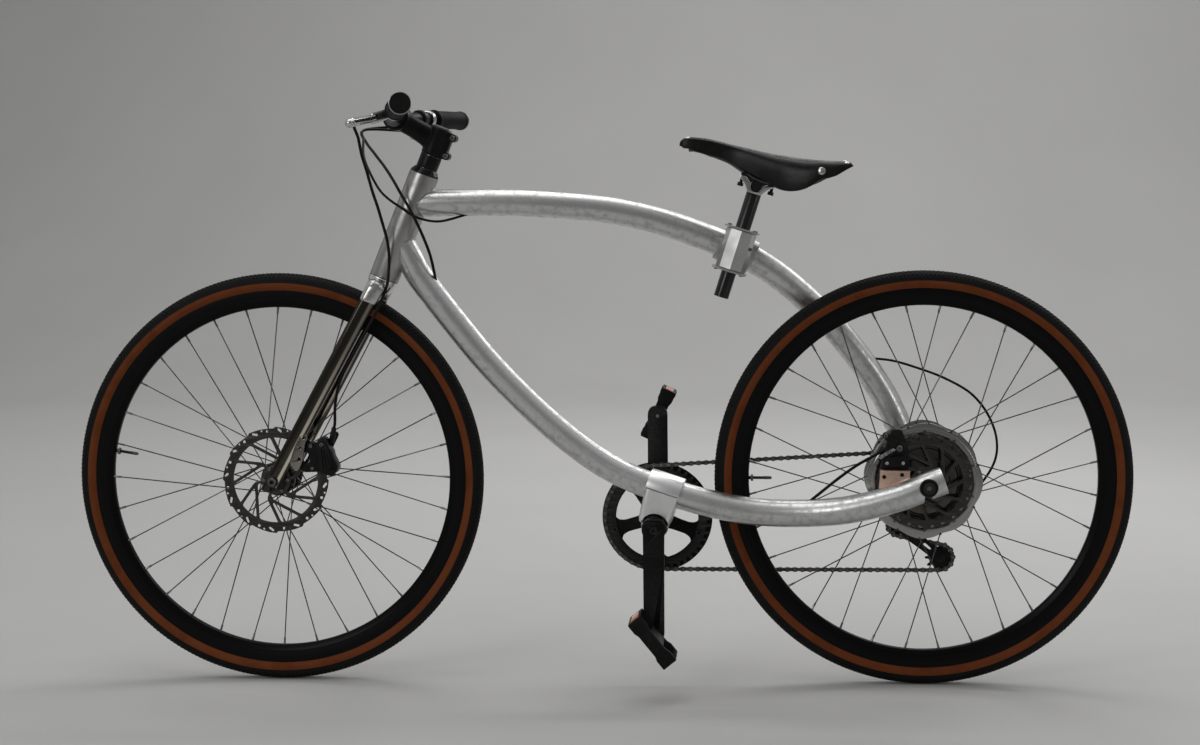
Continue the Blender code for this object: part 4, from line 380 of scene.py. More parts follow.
def skinned(name, rings, loop=False):
    bm = bmesh.new()
    skin_through(bm, rings, loop)
    return made_of(name, bm)


def swept(name, line, radius, sides=24, radii=None):
    """A round rod along a line. radii scales the radius at each point."""
    rings = []
    for i, (point, side, up) in enumerate(frames_along(line)):
        r = radius * (radii[i] if radii else 1.0)
        rings.append([point + (side * cos(a) + up * sin(a)) * r
                      for a in (2 * pi * k / sides for k in range(sides))])
    return skinned(name, rings)


def worked(obj, *steps, bevel=0.0, segments=2, angle=35.0):
    """The object after Boolean steps of ('cut' or 'add', tool) and a bevel, as a plain mesh."""
    for kind, tool in steps:
        step = obj.modifiers.new(kind, "BOOLEAN")
        step.operation = "DIFFERENCE" if kind == "cut" else "UNION"
        step.solver = "EXACT"
        step.object = tool
    if bevel:
        step = obj.modifiers.new("edges", "BEVEL")
        step.width = bevel
        step.segments = segments
        step.limit_method = "ANGLE"
        step.angle_limit = radians(angle)
    bpy.context.view_layer.update()
    graph = bpy.context.evaluated_depsgraph_get()
    mesh = bpy.data.meshes.new_from_object(obj.evaluated_get(graph))
    obj.modifiers.clear()
    obj.data = mesh
    mesh.name = obj.name
    for tool in {tool for _, tool in steps}:
        bpy.data.objects.remove(tool, do_unlink=True)
    return obj


def straightened(obj, line):
    """Stores each point's place beside the line and along it, for a grain that follows a bent tube."""
    frames = frames_along(line)
    lengths = lengths_along([point for point, _, _ in frames])
    marks = obj.data.attributes.new("straight", "FLOAT_VECTOR", "POINT")
    for vertex in obj.data.vertices:
        here = obj.matrix_world @ vertex.co
        best = min(range(len(frames)), key=lambda k: (frames[k][0] - here).length_squared)
        point, side, up = frames[best]
        off = here - point
        marks.data[vertex.index].vector = (off.dot(side), off.dot(up),
                                           lengths[best] + off.dot(side.cross(up)))
    return obj


def show(obj, material, body, *nodes, crisp=38.0):
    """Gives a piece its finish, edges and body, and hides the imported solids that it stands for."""
    obj.data.materials.clear()
    obj.data.materials.append(material)
    if obj.type == "MESH":
        for face in obj.data.polygons:
            face.use_smooth = True
        obj.data.set_sharp_from_angle(angle=radians(crisp))
    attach(obj, body)
    if nodes:
        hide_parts(*nodes)
    return obj


def plate(name, loops, low, high, bevel=0.0):
    """A flat outline in the XZ plane, later loops as holes, from y = low to y = high."""
    curve = bpy.data.curves.new(name, "CURVE")
    curve.dimensions = "2D"
    curve.fill_mode = "BOTH"
    curve.extrude = (high - low) / 2 - bevel
    curve.bevel_depth = bevel
    curve.bevel_resolution = 1
    curve.offset = -bevel
    for loop in loops:
        line = curve.splines.new("POLY")
        line.points.add(len(loop) - 1)
        for i, (x, z) in enumerate(loop):
            line.points[i].co = (x, z, 0.0, 1.0)
        line.use_cyclic_u = True
    temp = bpy.data.objects.new(name, curve)
    bpy.context.scene.collection.objects.link(temp)
    bpy.context.view_layer.update()
    mesh = bpy.data.meshes.new_from_object(temp.evaluated_get(bpy.context.evaluated_depsgraph_get()))
    bpy.data.objects.remove(temp, do_unlink=True)
    bm = bmesh.new()
    bm.from_mesh(mesh)
    bmesh.ops.remove_doubles(bm, verts=bm.verts, dist=1e-6)
    obj = made_of(name, bm)
    stand = Matrix.Translation((0.0, (low + high) / 2, 0.0)) @ Matrix.Rotation(pi / 2, 4, "X")
    obj.data.transform(stand)
    return obj


def polar(radius, angle, centre=(0.0, 0.0)):
    return centre[0] + radius * cos(angle), centre[1] + radius * sin(angle)


def arc(radius, first, last, count, centre):
    return [polar(radius, first + (last - first) * i / count, centre) for i in range(count + 1)]


def flat_xz(point):
    return point.x, point.z


def beside(point, y):
    """The point moved across the bicycle."""
    return Vector(point) + Vector((0.0, y, 0.0))


def rod(name, radius, start, end, sides=32):
    """A round bar between two points."""
    return swept(name, [start, end], radius, sides)


def crosswise(name, radius, at, low, high, sides=32):
    """A round bar across the bicycle, between two distances from a point."""
    return rod(name, radius, beside(at, low), beside(at, high), sides)


def steer_point(x, y, z):
    """World point from the steering frame: z up the axis, x square to it and backwards."""
    return STEER @ Vector((x, y, z))


def past(line):
    """The line made 2 mm longer at both ends, for a tool that has to pass clean through."""
    first = line[0] + (line[0] - line[1]).normalized() * 0.002
    last = line[-1] + (line[-1] - line[-2]).normalized() * 0.002
    return [first] + line[1:-1] + [last]


def along(line, x):
    """The point of a line at a given x, and its heading there."""
    for a, b in zip(line, line[1:]):
        if a.x <= x <= b.x:
            return a.lerp(b, (x - a.x) / (b.x - a.x)), (b - a).normalized()
    return line[-1].copy(), (line[-1] - line[-2]).normalized()


UPPER_LINE = smooth_path([
    (-0.308, 0.0, 0.8062), (-0.262, 0.0, 0.8077), (-0.162, 0.004, 0.8082), (-0.095, 0.0085, 0.8053),
    (0.004, 0.0186, 0.7965), (0.087, 0.0303, 0.7795), (0.171, 0.0414, 0.751), (0.232, 0.0495, 0.7245),
    (0.3, 0.06, 0.683), (0.368, 0.0715, 0.624), (0.43, 0.0815, 0.553), (0.48, 0.0875, 0.48),
    (0.515, TUBE_END_Y, 0.406), (0.54, TUBE_END_Y, 0.346), (0.5495, TUBE_END_Y, 0.3235)], 110)
LOWER_LINE = smooth_path([
    (-0.332, 0.0, 0.748), (-0.311, 0.0, 0.709), (-0.2882, 0.0, 0.6705), (-0.1977, -0.004, 0.5562),
    (-0.1302, -0.01, 0.4851), (-0.0627, -0.018, 0.4247), (0.0046, -0.026, 0.3763), (0.0716, -0.034, 0.344),
    (0.1713, -0.0438, 0.3134), (0.2537, -0.0465, 0.2974), (0.3356, -0.056, 0.2955),
    (0.416, -0.076, 0.3054), (0.4958, -0.088, 0.3275), (0.54, -TUBE_END_Y, 0.346),
    (0.5661, -TUBE_END_Y, 0.3555)], 120)


def open_slot(axle, radius, low, high):
    """The tool of a slot that is round at the axle and open below it."""
    mouth = axle.z - 0.05
    outline = arc(radius, 0.0, pi, 16, flat_xz(axle))
    outline += [(axle.x - radius, mouth), (axle.x + radius, mouth)]
    return plate("open_slot", [outline], low, high)


def frame_tube(name, line, side, ports):
    """ports holds (line, radius) of the tools that open the wall for a cable."""
    clear, wide = side * 0.05, side * 0.13
    outer = side * (TUBE_END_Y + TUBE_R - NUT_FLAT)
    inner = side * (REAR_HUB_HALF + 0.0015)
    tube = worked(
        swept(name, line, TUBE_R, 56),
        ("cut", swept("bore", past(line), TUBE_BORE_R, 32)),
        ("cut", rod("head_mitre", HEAD_R + GAP, steer_point(0, 0, -0.13), steer_point(0, 0, 0.13), 64)),
        ("cut", open_slot(REAR_AXLE, REAR_AXLE_R + GAP, *sorted((clear, wide)))),
        ("cut", crosswise("nut_flat", 0.0155, REAR_AXLE, outer, wide, 48)),
        ("cut", crosswise("collar_flat", AXLE_COLLAR_R + 0.0005, REAR_AXLE, inner, clear)),
        *[("cut", swept("port", path, radius, 16)) for path, radius in ports])
    return straightened(tube, line)


BARE_TUBE = metal("bare_tube_aluminium", "brushed_aluminium", (0.64, 0.64, 0.63), (0.48, 0.48, 0.47),
                  (0.28, 0.5), (420.0, 420.0, 14.0), along=True, clouds=(90.0, 0.44, 0.7), bump=0.13)

# Cables. Three black housings of 5 and 4.2 mm: the left lever's runs down to the front caliper,
# the shifter's goes inside the upper tube, and the right lever's inside the lower tube.


def mm(*rows, base=(0.0, 0.0, 0.0)):
    """Rows of millimetres from a base, in metres."""
    return [tuple(start + value / 1000 for start, value in zip(base, row)) for row in rows]


CABLE_R = 0.0025
SHIFT_CABLE_R = 0.0021
PORT_ROOM = 0.001
LEFT_MOUTH = mm((-343.01, -125.28, 942.81), (-347.55, -116.78, 941.68), (-352.22, -108.02, 940.52))
RIGHT_MOUTH = [(x, -y, z) for x, y, z in LEFT_MOUTH]
SHIFT_MOUTH = mm((-333.97, 100.37, 932.58), (-338.95, 94.49, 932.4), (-344.12, 88.39, 932.21))
FRONT_STOP = ((-0.445, -0.036, 0.408), (-0.44, -0.038, 0.434))
REAR_STOP = ((0.484, -0.059, 0.408), (0.464, -0.059, 0.396))
FRONT_CABLE = mm((-384.6, -98, 938), (-381.1, -86, 913.6), (-378.2, -75, 886.6), (-372.8, -66, 862.4),
                 (-366, -56, 829.7), (-358.3, -47, 800.1), (-351.6, -41, 771.9), (-345.7, -38, 747.1),
                 (-342.7, -38, 722.2), (-343.2, -40, 697.4), (-345, -46, 674), (-352.5, -52, 651),
                 (-370, -60, 613), (-399, -65, 560), (-423, -62, 515), (-434.5, -50, 475),
                 (-438.12, -38.75, 443.79), (-439.62, -38.15, 435.96), (-441.07, -37.57, 428.42))
SHIFT_CABLE = mm((-400, 60, 933), (-398, 37, 915), (-393, 12, 888), (-378.1, -14, 860.1),
                 (-359.3, -26, 829.9), (-341.6, -30, 813.2), (-324.5, -31, 801.5), (-307.7, -31.5, 789.8),
                 (-294.4, -31, 783.1), (-275.1, -24.5, 778), (-259.4, -19, 777.2), (-243.7, -13, 780.5),
                 (-225, -7, 786), (-195, 1, 795), (-150, 5, 799))
SHIFT_TAIL = mm((448, 81.5, 541), (464, 83, 539), (500, 87, 534), (545, 90, 520), (586, 91, 504),
                (629, 90.5, 479), (658, 90, 444), (673.5, 89, 401.9), (670, 86, 361), (642, 82, 318),
                (614, 80, 300), (593.5, 79, 296.5))
BRAKE_CABLE = mm((-408, 85, 933), (-398.2, 60, 912), (-379, 30, 893), (-357, 4, 870), (-338.5, -20, 848),
                 (-323.8, -34, 826), (-306.3, -42, 798), (-293.3, -42, 771.6), (-283, -35, 745),
                 (-276.1, -24, 720), (-272, -12, 692), (-269, -4, 668), (-255, -2, 635), (-220, -3, 588))
BRAKE_TAIL = mm((315, -54, 299), (338, -59, 306), (362, -61.5, 325), (400, -63, 356), (430, -61, 377),
                (455.43, -59, 390.86), (462.29, -59, 394.97), (468.89, -59, 398.93))


def inside(line, x_from, x_to, count):
    return [along(line, x_from + (x_to - x_from) * i / (count - 1))[0] for i in range(count)]


FRONT_LINE = smooth_path(LEFT_MOUTH + FRONT_CABLE, 110)
SHIFT_LINE = smooth_path(SHIFT_MOUTH + SHIFT_CABLE + inside(UPPER_LINE, -0.1, 0.4, 6) + SHIFT_TAIL, 220)
BRAKE_LINE = smooth_path(RIGHT_MOUTH + BRAKE_CABLE + inside(LOWER_LINE, -0.17, 0.28, 5) + BRAKE_TAIL, 200)


def rubber(name, slot, colour, worn, rough, scale, bump, distance=0.0003):
    """A black rubber or plastic: even colour, paler where handled, with a fine pebbled height."""
    made, tree, shader, place = new_finish(name, slot)
    cloud = placed(tree, "clouds", place=place, scale=26.0, low=0.4, high=0.75)["Mask"]
    tree.links.new(mixed(tree, cloud, rgba(colour), rgba(worn)), shader["Base Color"])
    shader["Specular IOR Level"].default_value = 0.15
    tree.links.new(ranged(tree, cloud, *rough), shader["Roughness"])
    relief(tree, shader, noise(tree, place, scale, 2.0), bump, distance)
    return made

HOUSING = rubber("cable_housing", "black_rubber", 0.0035, 0.0075, (0.3, 0.48), 900.0, 0.15)


def cable(name, line, radius, turning=None):
    """A housing on its line. When turning is given, the housing stays off the steering; its two points are
    not used.
    """
    housing = swept(name, line, radius, 20)
    housing.data.materials.append(HOUSING)
    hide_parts(name[:-8])
    if turning:
        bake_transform(housing)
    else:
        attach(housing, "steering")


cable("front_brake_cable_housing", FRONT_LINE, CABLE_R)
cable("shift_cable_housing", SHIFT_LINE, SHIFT_CABLE_R, ((-0.385, 0.0, 0.905), (-0.262, -0.02, 0.776)))
cable("rear_brake_cable_housing", BRAKE_LINE, CABLE_R, ((-0.39, 0.05, 0.905), (-0.27, -0.004, 0.668)))

# The two tubes themselves, each opened where its cable goes in and comes out.


def port(line, x_from, x_to, radius):
    return [point for point in line if x_from < point.x < x_to], radius + PORT_ROOM


show(frame_tube("upper_tube_drawn", UPPER_LINE, 1, [port(SHIFT_LINE, -0.262, -0.18, SHIFT_CABLE_R),
                                                    port(SHIFT_LINE, 0.43, 0.53, SHIFT_CABLE_R)]),
     BARE_TUBE, "frame", "upper_tube")
show(frame_tube("lower_tube_drawn", LOWER_LINE, -1, [port(BRAKE_LINE, -0.2755, -0.23, CABLE_R),
                                                     port(BRAKE_LINE, 0.3, 0.385, CABLE_R)]),
     BARE_TUBE, "frame", "lower_tube")

# Tyres. Black rubber with a fine block tread, and a brown stripe on each wall next to the rim.
# Each one stands in the well of its rim.

TYRE_W = 0.035
RIM_LIP_R = 0.3165
RIM_NOSE_R = 0.288
RIM_W = 0.025
RIM_WELL_R = 0.3095
STRIPE = (0.3172, 0.3292)
TREAD_H = 0.0012
CASING_HALF = 0.0172
CASING_MID = WHEEL_R - TREAD_H - CASING_HALF


def about_y(centre):
    """Turned pieces on an axle: local Z points along +Y."""
    return Matrix.Translation(centre) @ Matrix.Rotation(-pi / 2, 4, "X")


def eased(outline, radius, closed=True, steps=3):
    """The outline with its corners rounded."""
    found = []
    count = len(outline)
    for i in range(count):
        here = Vector(outline[i])
        if not closed and i in (0, count - 1):
            found.append(tuple(here))
            continue
        before, after = Vector(outline[i - 1]) - here, Vector(outline[(i + 1) % count]) - here
        a = here + before.normalized() * min(radius, before.length * 0.45)
        b = here + after.normalized() * min(radius, after.length * 0.45)
        for s in range(steps + 1):
            t = s / steps
            found.append(tuple(a * (1 - t) ** 2 + here * (2 * t * (1 - t)) + b * t * t))
    return found


def turned(name, profile, place, sides=96, closed=False):
    """A turned piece about the matrix's local Z. The profile holds (radius, height)."""
    bm = bmesh.new()
    rows = []
    for k in range(sides):
        c, s = polar(1.0, 2 * pi * k / sides)
        rows.append([bm.verts.new(place @ Vector((r * c, r * s, h))) for r, h in profile])
    for k in range(sides):
        a, b = rows[k], rows[(k + 1) % sides]
        for i in range(len(profile) if closed else len(profile) - 1):
            j = (i + 1) % len(profile)
            bm.faces.new((a[i], b[i], b[j], a[j]))
    bmesh.ops.remove_doubles(bm, verts=bm.verts, dist=1e-7)
    return ringed(made_of(name, bm), place)


def ringed(obj, place):
    """Stores radius and height, for finishes that run round a turned piece."""
    back = place.inverted()
    marks = obj.data.attributes.get("straight")
    marks = marks or obj.data.attributes.new("straight", "FLOAT_VECTOR", "POINT")
    for vertex in obj.data.vertices:
        here = back @ vertex.co
        marks.data[vertex.index].vector = (hypot(here.x, here.y), here.z, 0.0)
    return obj


def joined(name, parts):
    """Several meshes as one piece."""
    bm = bmesh.new()
    for part in parts:
        part.data.transform(part.matrix_world)
        bm.from_mesh(part.data)
        bpy.data.objects.remove(part, do_unlink=True)
    mesh = bpy.data.meshes.new(name)
    bm.to_mesh(mesh)
    bm.free()
    obj = bpy.data.objects.new(name, mesh)
    bpy.context.scene.collection.objects.link(obj)
    return obj


def tyre_section():
    """The wall as part of an ellipse, then a bead that tucks into the rim."""
    wall = [(CASING_MID + CASING_HALF * cos(a), TYRE_W / 2 * sin(a))
            for a in (radians(8 * i - 112) for i in range(29))]
    foot = [(RIM_LIP_R + 0.0006, 0.0124), (RIM_WELL_R + GAP, 0.0093)]
    return [(r, -h) for r, h in reversed(foot)] + wall + foot


def tread(bm, place):
    """Seven rows of small blocks, staggered from row to row."""
    count = 300
    for row, lean in enumerate((-60, -41, -20, 0, 20, 41, 60)):
        out = Vector(polar(1.0, radians(lean)))
        across = Vector((-out.y, out.x))
        base = Vector((CASING_MID + 0.0169 * out.x, CASING_HALF * out.y))
        wide, long = (0.0023, 0.0021) if row % 2 else (0.0025, 0.0024)
        for k in range(count):
            turn = 2 * pi * (k + 0.5 * (row % 2)) / count
            corners = []
            for rise, shrink in ((0.0, 1.0), (TREAD_H, 0.72)):
                for u, v in ((-1, -1), (1, -1), (1, 1), (-1, 1)):
                    r, h = base + out * rise + across * u * wide * shrink
                    angle = turn + v * long * shrink / WHEEL_R
                    corners.append(bm.verts.new(place @ Vector((*polar(r, angle), h))))
            bm.faces.new(corners[4:])
            for i in range(4):
                bm.faces.new((corners[i], corners[(i + 1) % 4], corners[4 + (i + 1) % 4], corners[4 + i]))


def tyre_rubber():
    made, tree, shader, place = new_finish("tyre_rubber_striped", "tyre_rubber", along=True)
    radius = node(tree, "ShaderNodeSeparateXYZ", {"Vector": place}).outputs["X"]
    inner = ranged(tree, radius, 0.0, 1.0, STRIPE[0] - 0.0004, STRIPE[0])
    outer = ranged(tree, radius, 0.0, 1.0, STRIPE[1] + 0.0004, STRIPE[1])
    stripe = maths(tree, "MULTIPLY", inner, outer)
    world_place = node(tree, "ShaderNodeTexCoord").outputs["Object"]
    scuff = placed(tree, "clouds", place=world_place, scale=22.0, low=0.42, high=0.72)["Mask"]
    black = mixed(tree, scuff, (0.0045, 0.0045, 0.0042, 1.0), (0.01, 0.0098, 0.009, 1.0))
    brown = mixed(tree, scuff, (0.15, 0.037, 0.0085, 1.0), (0.115, 0.028, 0.0068, 1.0))
    tree.links.new(mixed(tree, stripe, black, brown), shader["Base Color"])
    tree.links.new(ranged(tree, scuff, 0.62, 0.8), shader["Roughness"])
    shader["Specular IOR Level"].default_value = 0.15
    relief(tree, shader, noise(tree, world_place, 700.0, 2.0), 0.25, 0.0003)
    return made


TYRE = tyre_rubber()


def tyre(side, axle):
    place = about_y(axle)
    casing = turned(side + "_casing", tyre_section(), place, 180, closed=True)
    blocks = bmesh.new()
    tread(blocks, place)
    both = joined(side + "_tyre_rubber", [casing, made_of(side + "_tread", blocks)])
    show(ringed(both, place), TYRE, side + "_wheel", side + "_tyre")


tyre("front", FRONT_AXLE)
tyre("rear", REAR_AXLE)

# Rims. Deep black extrusions, rolled and joined, with hooked edges for the tyre. The valve stands
# on the inside with its nut and cap.

RIM_BLACK = metal("rim_black", "black_anodised", 0.0038, 0.007, (0.22, 0.36), 900.0, along=True,
                  metallic=0.0, bump=0.03, shine=0.07)
VALVE_BLACK = metal("valve_black", "black_anodised", 0.008, 0.016, (0.3, 0.45), 500.0, metallic=0.2,
                    wear=0.4, shine=0.2)


def towards(start, way):
    """A place at the start whose local Z points along the way."""
    return Matrix.Translation(start) @ way.to_track_quat("Z", "Y").to_matrix().to_4x4()


def rim(side, axle, valve_angle):
    half = RIM_W / 2
    section = [(RIM_LIP_R, half), (RIM_LIP_R, half - 0.0014), (RIM_LIP_R - 0.0016, half - 0.0024),
               (RIM_WELL_R, half - 0.0027), (RIM_WELL_R, 0.0027 - half),
               (RIM_LIP_R - 0.0016, 0.0024 - half),
               (RIM_LIP_R, 0.0014 - half), (RIM_LIP_R, -half), (RIM_LIP_R - 0.009, -half),
               (RIM_LIP_R - 0.02, -0.01), (RIM_NOSE_R + 0.0012, -0.0062), (RIM_NOSE_R, -0.003),
               (RIM_NOSE_R, 0.003), (RIM_NOSE_R + 0.0012, 0.0062), (RIM_LIP_R - 0.02, 0.01),
               (RIM_LIP_R - 0.009, half)]
    place = about_y(axle)
    show(turned(side + "_rim_extrusion", eased(section, 0.0009), place, 180, closed=True), RIM_BLACK,
         side + "_wheel", side + "_rim")
    out = Vector((cos(valve_angle), 0.0, sin(valve_angle)))
    foot = RIM_NOSE_R - 0.038
    stem = mm((0, 0), (1.6, 0), (2.6, 2), (2.8, 13), (2.1, 14))
    for k in range(12):
        stem += [(0.0026, 0.0146 + 0.0013 * k), (0.0022, 0.0152 + 0.0013 * k)]
    stem += mm((2.6, 30.5), (5.5, 31), (5.8, 34.5), (3, 35.2), (3, 39.5))
    show(turned(side + "_valve", stem, towards(axle + out * foot, out), 20), VALVE_BLACK, side + "_wheel")


rim("front", FRONT_AXLE, radians(171.2))
rim("rear", REAR_AXLE, radians(180.0))

# Spokes. Thirty-two to a wheel, of drawn steel with a bent head in the flange, crossing in pairs
# and pulled up by steel nipples in the rim.

SPOKES = 32
SPOKE_R = 0.001
SPOKE_STAGGER = 0.0024
FRONT_FLANGE_R = 0.026
FRONT_FLANGE_LEFT = 0.023
FRONT_FLANGE_RIGHT = 0.0285
FLANGE_HALF = 0.0023
MOTOR_R = 0.096
MOTOR_BODY_R = 0.089
REAR_FLANGE_LEFT = 0.031
REAR_FLANGE_RIGHT = 0.0165

SPOKE_STEEL = metal("spoke_steel", "polished_steel", (0.095, 0.093, 0.088), (0.06, 0.058, 0.055),
                    (0.22, 0.36), 900.0, bump=0.0)
NIPPLE_STEEL = metal("nipple_steel", "polished_steel", (0.2, 0.195, 0.185), (0.12, 0.118, 0.112),
                     (0.25, 0.4), 900.0, bump=0.0)


def spoke_set(side, axle, radius, flange_left, flange_right, crossing, first):
    place = about_y(axle)
    spokes, nipples = [], []
    step = 2 * pi / SPOKES
    for i in range(SPOKES):
        plane = -flange_left if i % 2 == 0 else flange_right
        way = 1 if (i // 2) % 2 == 0 else -1
        rim_angle = step * i + first
        hub_angle = rim_angle - way * crossing * 2 * step
        across = Vector((*polar(radius, hub_angle), 0.0))
        start = across + Vector((0.0, 0.0, plane + way * SPOKE_STAGGER))
        end = Vector((*polar(RIM_NOSE_R + 0.0005, rim_angle), copysign(0.002, plane)))
        run = (end - start).normalized()
        bend = [across + Vector((0.0, 0.0, plane + way * depth))
                for depth in (-0.0036, -0.0029, -0.0028, 0.001)]
        line = bend + [start + run * 0.003, end]
        widths = [1.3, 2.1, 1.0, 1.0, 1.0, 1.0]
        spokes.append(swept("spoke", [place @ p for p in line], SPOKE_R, 8, widths))
        neck = end - run * 0.0125
        line = (neck, neck + run * 0.0006, end - run * 0.004, end)
        nipples.append(swept("nipple", [place @ p for p in line], 0.0018, 8, [0.75, 1.0, 1.0, 1.25]))
    show(joined(side + "_spokes", spokes), SPOKE_STEEL, side + "_wheel")
    show(joined(side + "_nipples", nipples), NIPPLE_STEEL, side + "_wheel")


spoke_set("front", FRONT_AXLE, FRONT_FLANGE_R, FRONT_FLANGE_LEFT, FRONT_FLANGE_RIGHT, 3, 0.0)
spoke_set("rear", REAR_AXLE, MOTOR_R - 0.004, REAR_FLANGE_LEFT, REAR_FLANGE_RIGHT, 1, pi / SPOKES)

# Front hub. A turned black shell with two flanges, the rotor's seat on its left end, and a
# narrow nose over each bearing.

FRONT_HUB_HALF = 0.05
FRONT_AXLE_R = 0.0045
ROTOR_PILOT_R = 0.017
FRONT_ROTOR_R = 0.09
REAR_ROTOR_R = 0.08
FRONT_ROTOR_Y = -0.0395
REAR_ROTOR_Y = -0.0522
ROTOR_T = 0.0018

HUB_BLACK = metal("hub_black", "black_anodised", 0.008, 0.016, (0.24, 0.38), (1500.0, 1500.0, 1.0),
                  along=True, metallic=0.3, wear=0.35, bump=0.06, shine=0.25)


def front_hub():
    left, right, half = FRONT_FLANGE_LEFT, FRONT_FLANGE_RIGHT, FLANGE_HALF
    rim_r = FRONT_FLANGE_R + 0.003
    end = FRONT_HUB_HALF - GAP
    seat = -FRONT_ROTOR_Y - ROTOR_T / 2 - GAP
    bore = FRONT_AXLE_R + GAP
    section = [(bore, end), (0.0085, end), (0.009, end - 0.004), (0.0125, end - 0.005),
               (0.013, right + 0.007),
               (0.015, right + half), (rim_r, right + half), (rim_r, right - half), (0.015, right - half),
               (0.012, right - half - 0.006), (0.0112, 0.0), (0.012, half + 0.006 - left),
               (0.015, half - left), (rim_r, half - left), (rim_r, -left - half), (0.021, -left - half),
               (0.021, -seat), (ROTOR_PILOT_R, -seat), (ROTOR_PILOT_R, -seat - 0.004),
               (0.0125, -seat - 0.0055), (0.009, -end + 0.003), (0.0085, -end), (bore, -end)]
    show(turned("front_hub_shell", eased(section, 0.0007, steps=2), about_y(FRONT_AXLE), 72, closed=True),
         HUB_BLACK, "front_wheel", "front_hub")


front_hub()

# Disc brake rotors. Stamped and ground steel: a slotted track with a stepped edge, carried by
# thin slanting arms, and six bolts that hold it on the hub.

ROTOR_STEEL = metal("rotor_steel", "polished_steel", (0.075, 0.072, 0.067), (0.045, 0.043, 0.04),
                    (0.3, 0.46), (2200.0, 700.0, 1.0), along=True, bump=0.12, clouds=(30.0, 0.4, 0.7))
BOLT_STEEL = metal("bolt_steel", "polished_steel", (0.16, 0.16, 0.155), (0.09, 0.09, 0.088), (0.22, 0.4),
                   700.0, wear=0.5)


def disc(radius, count, centre):
    return arc(radius, 0.0, 2 * pi, count, centre)[:-1]


def slot_outline(middle, heading, length, width):
    """A slot with round ends."""
    way = Vector(polar((length - width) / 2, heading))
    return (arc(width / 2, heading + pi / 2, heading + 3 * pi / 2, 7, middle - way)
            + arc(width / 2, heading - pi / 2, heading + pi / 2, 7, middle + way))


def inset(outline, distance):
    """The outline moved inwards, edge by edge."""
    points = [Vector(p) for p in outline]
    area = sum(a.x * b.y - b.x * a.y for a, b in zip(points, points[1:] + points[:1]))
    found = []
    for i, here in enumerate(points):
        before = (here - points[i - 1]).normalized()
        after = (points[(i + 1) % len(points)] - here).normalized()
        inward = [Vector((-way.y, way.x)) * copysign(distance, area) for way in (before, after)]
        middle = (inward[0] + inward[1]) / 2
        found.append(here + middle * distance ** 2 / max(middle.length_squared, 0.05 * distance ** 2))
    return found


def rotor(name, axle, radius, y):
    centre = Vector(flat_xz(axle))
    size = radius / FRONT_ROTOR_R
    degree = pi / 180

    def spot(r, angle):
        return centre + Vector(polar(r, angle * degree))

    edge, loops = [], []
    for k in range(12):
        first = 1 + 30 * k
        for turn, drop in ((0.8, 0.003), (7, 0.0025), (14, 0.0018), (21, 0.0009), (28.6, 0.0)):
            edge.append(spot(radius - drop, first + turn))
        loops.append(disc(0.0025, 12, spot(radius - 0.0072, first + 8)))
        loops.append(disc(0.0017, 10, spot(radius - 0.0047, first + 14.5)))
        heading = (first + 23 + 90 - 33) * degree
        loops.append(slot_outline(spot(radius - 0.0064, first + 23), heading, 0.0102, 0.0038))
    track, fork, hub, half_arm = radius - 0.016, 0.034 * size, 0.0225, 0.0025
    for k in range(6):
        h = 60 * k + 8
        for first, path in ((27, [spot(fork, h)]),
                            (57, [spot(fork, h + 60)] + [spot(hub, h + 60 - 10 * i) for i in range(7)]
                             + [spot(fork, h)])):
            ring = [spot(track, h + first + 5 * i) for i in range(7)]
            loops.append(eased(inset(ring + path, half_arm), 0.0065, steps=4))
    loops.append(disc(ROTOR_PILOT_R + GAP, 40, centre))
    ring = plate(name + "_steel", [edge] + loops, y - ROTOR_T / 2, y + ROTOR_T / 2, 0.00022)
    body = name.split("_")[0] + "_wheel"
    show(ringed(ring, about_y(axle)), ROTOR_STEEL, body, name)
    bolts = []
    for x, z in disc(0.0205, 6, (axle.x, axle.z)):
        at = (x, y - ROTOR_T / 2, z)
        head = mm((0, -1.2), (1.1, -1.2), (1.3, -2.2), (2.6, -2.2), (3.1, -1.4), (3.1, 0))
        bolts.append(turned("rotor_bolt", head, about_y(at), 12))
    show(joined(name + "_bolts", bolts), BOLT_STEEL, body)


rotor("front_rotor", FRONT_AXLE, FRONT_ROTOR_R, FRONT_ROTOR_Y)
rotor("rear_rotor", REAR_AXLE, REAR_ROTOR_R, REAR_ROTOR_Y)

# Rear hub motor. A die-cast silver shell with a lobed flange for the spokes at each end, and a
# stepped cover of polished aluminium on the brake side, held by ten screws, its colour painted dark as
# painted shade.

MOTOR_SILVER = metal("motor_silver", "brushed_aluminium", (0.36, 0.355, 0.34), (0.22, 0.215, 0.2),
                     (0.18, 0.3), (1600.0, 1600.0, 1.0), along=True, bump=0.03)
# Painted shade: the cover's dark colour stands for the dark room that its polished face reflects.
MOTOR_COVER_PAINTED_DARK = metal("motor_cover_painted_dark", "brushed_aluminium", (0.115, 0.105, 0.09), (0.065, 0.058, 0.048),
                   (0.12, 0.26), (1400.0, 1400.0, 1.0), along=True, wear=0.2, bump=0.06)


def lobed_ring(name, middle, half):
    """A flange whose rim swells round each pair of spoke heads."""
    centre = flat_xz(REAR_AXLE)
    edge = []
    for k in range(160):
        a = 2 * pi * k / 160
        swell = 0.5 + 0.5 * cos(8 * a + 0.4)
        edge.append(polar(MOTOR_R - 0.0046 * (1 - swell ** 0.6), a, centre))
    return ringed(plate(name, [edge, disc(0.08, 96, centre)], middle - half, middle + half, 0.0006),
                  about_y(REAR_AXLE))


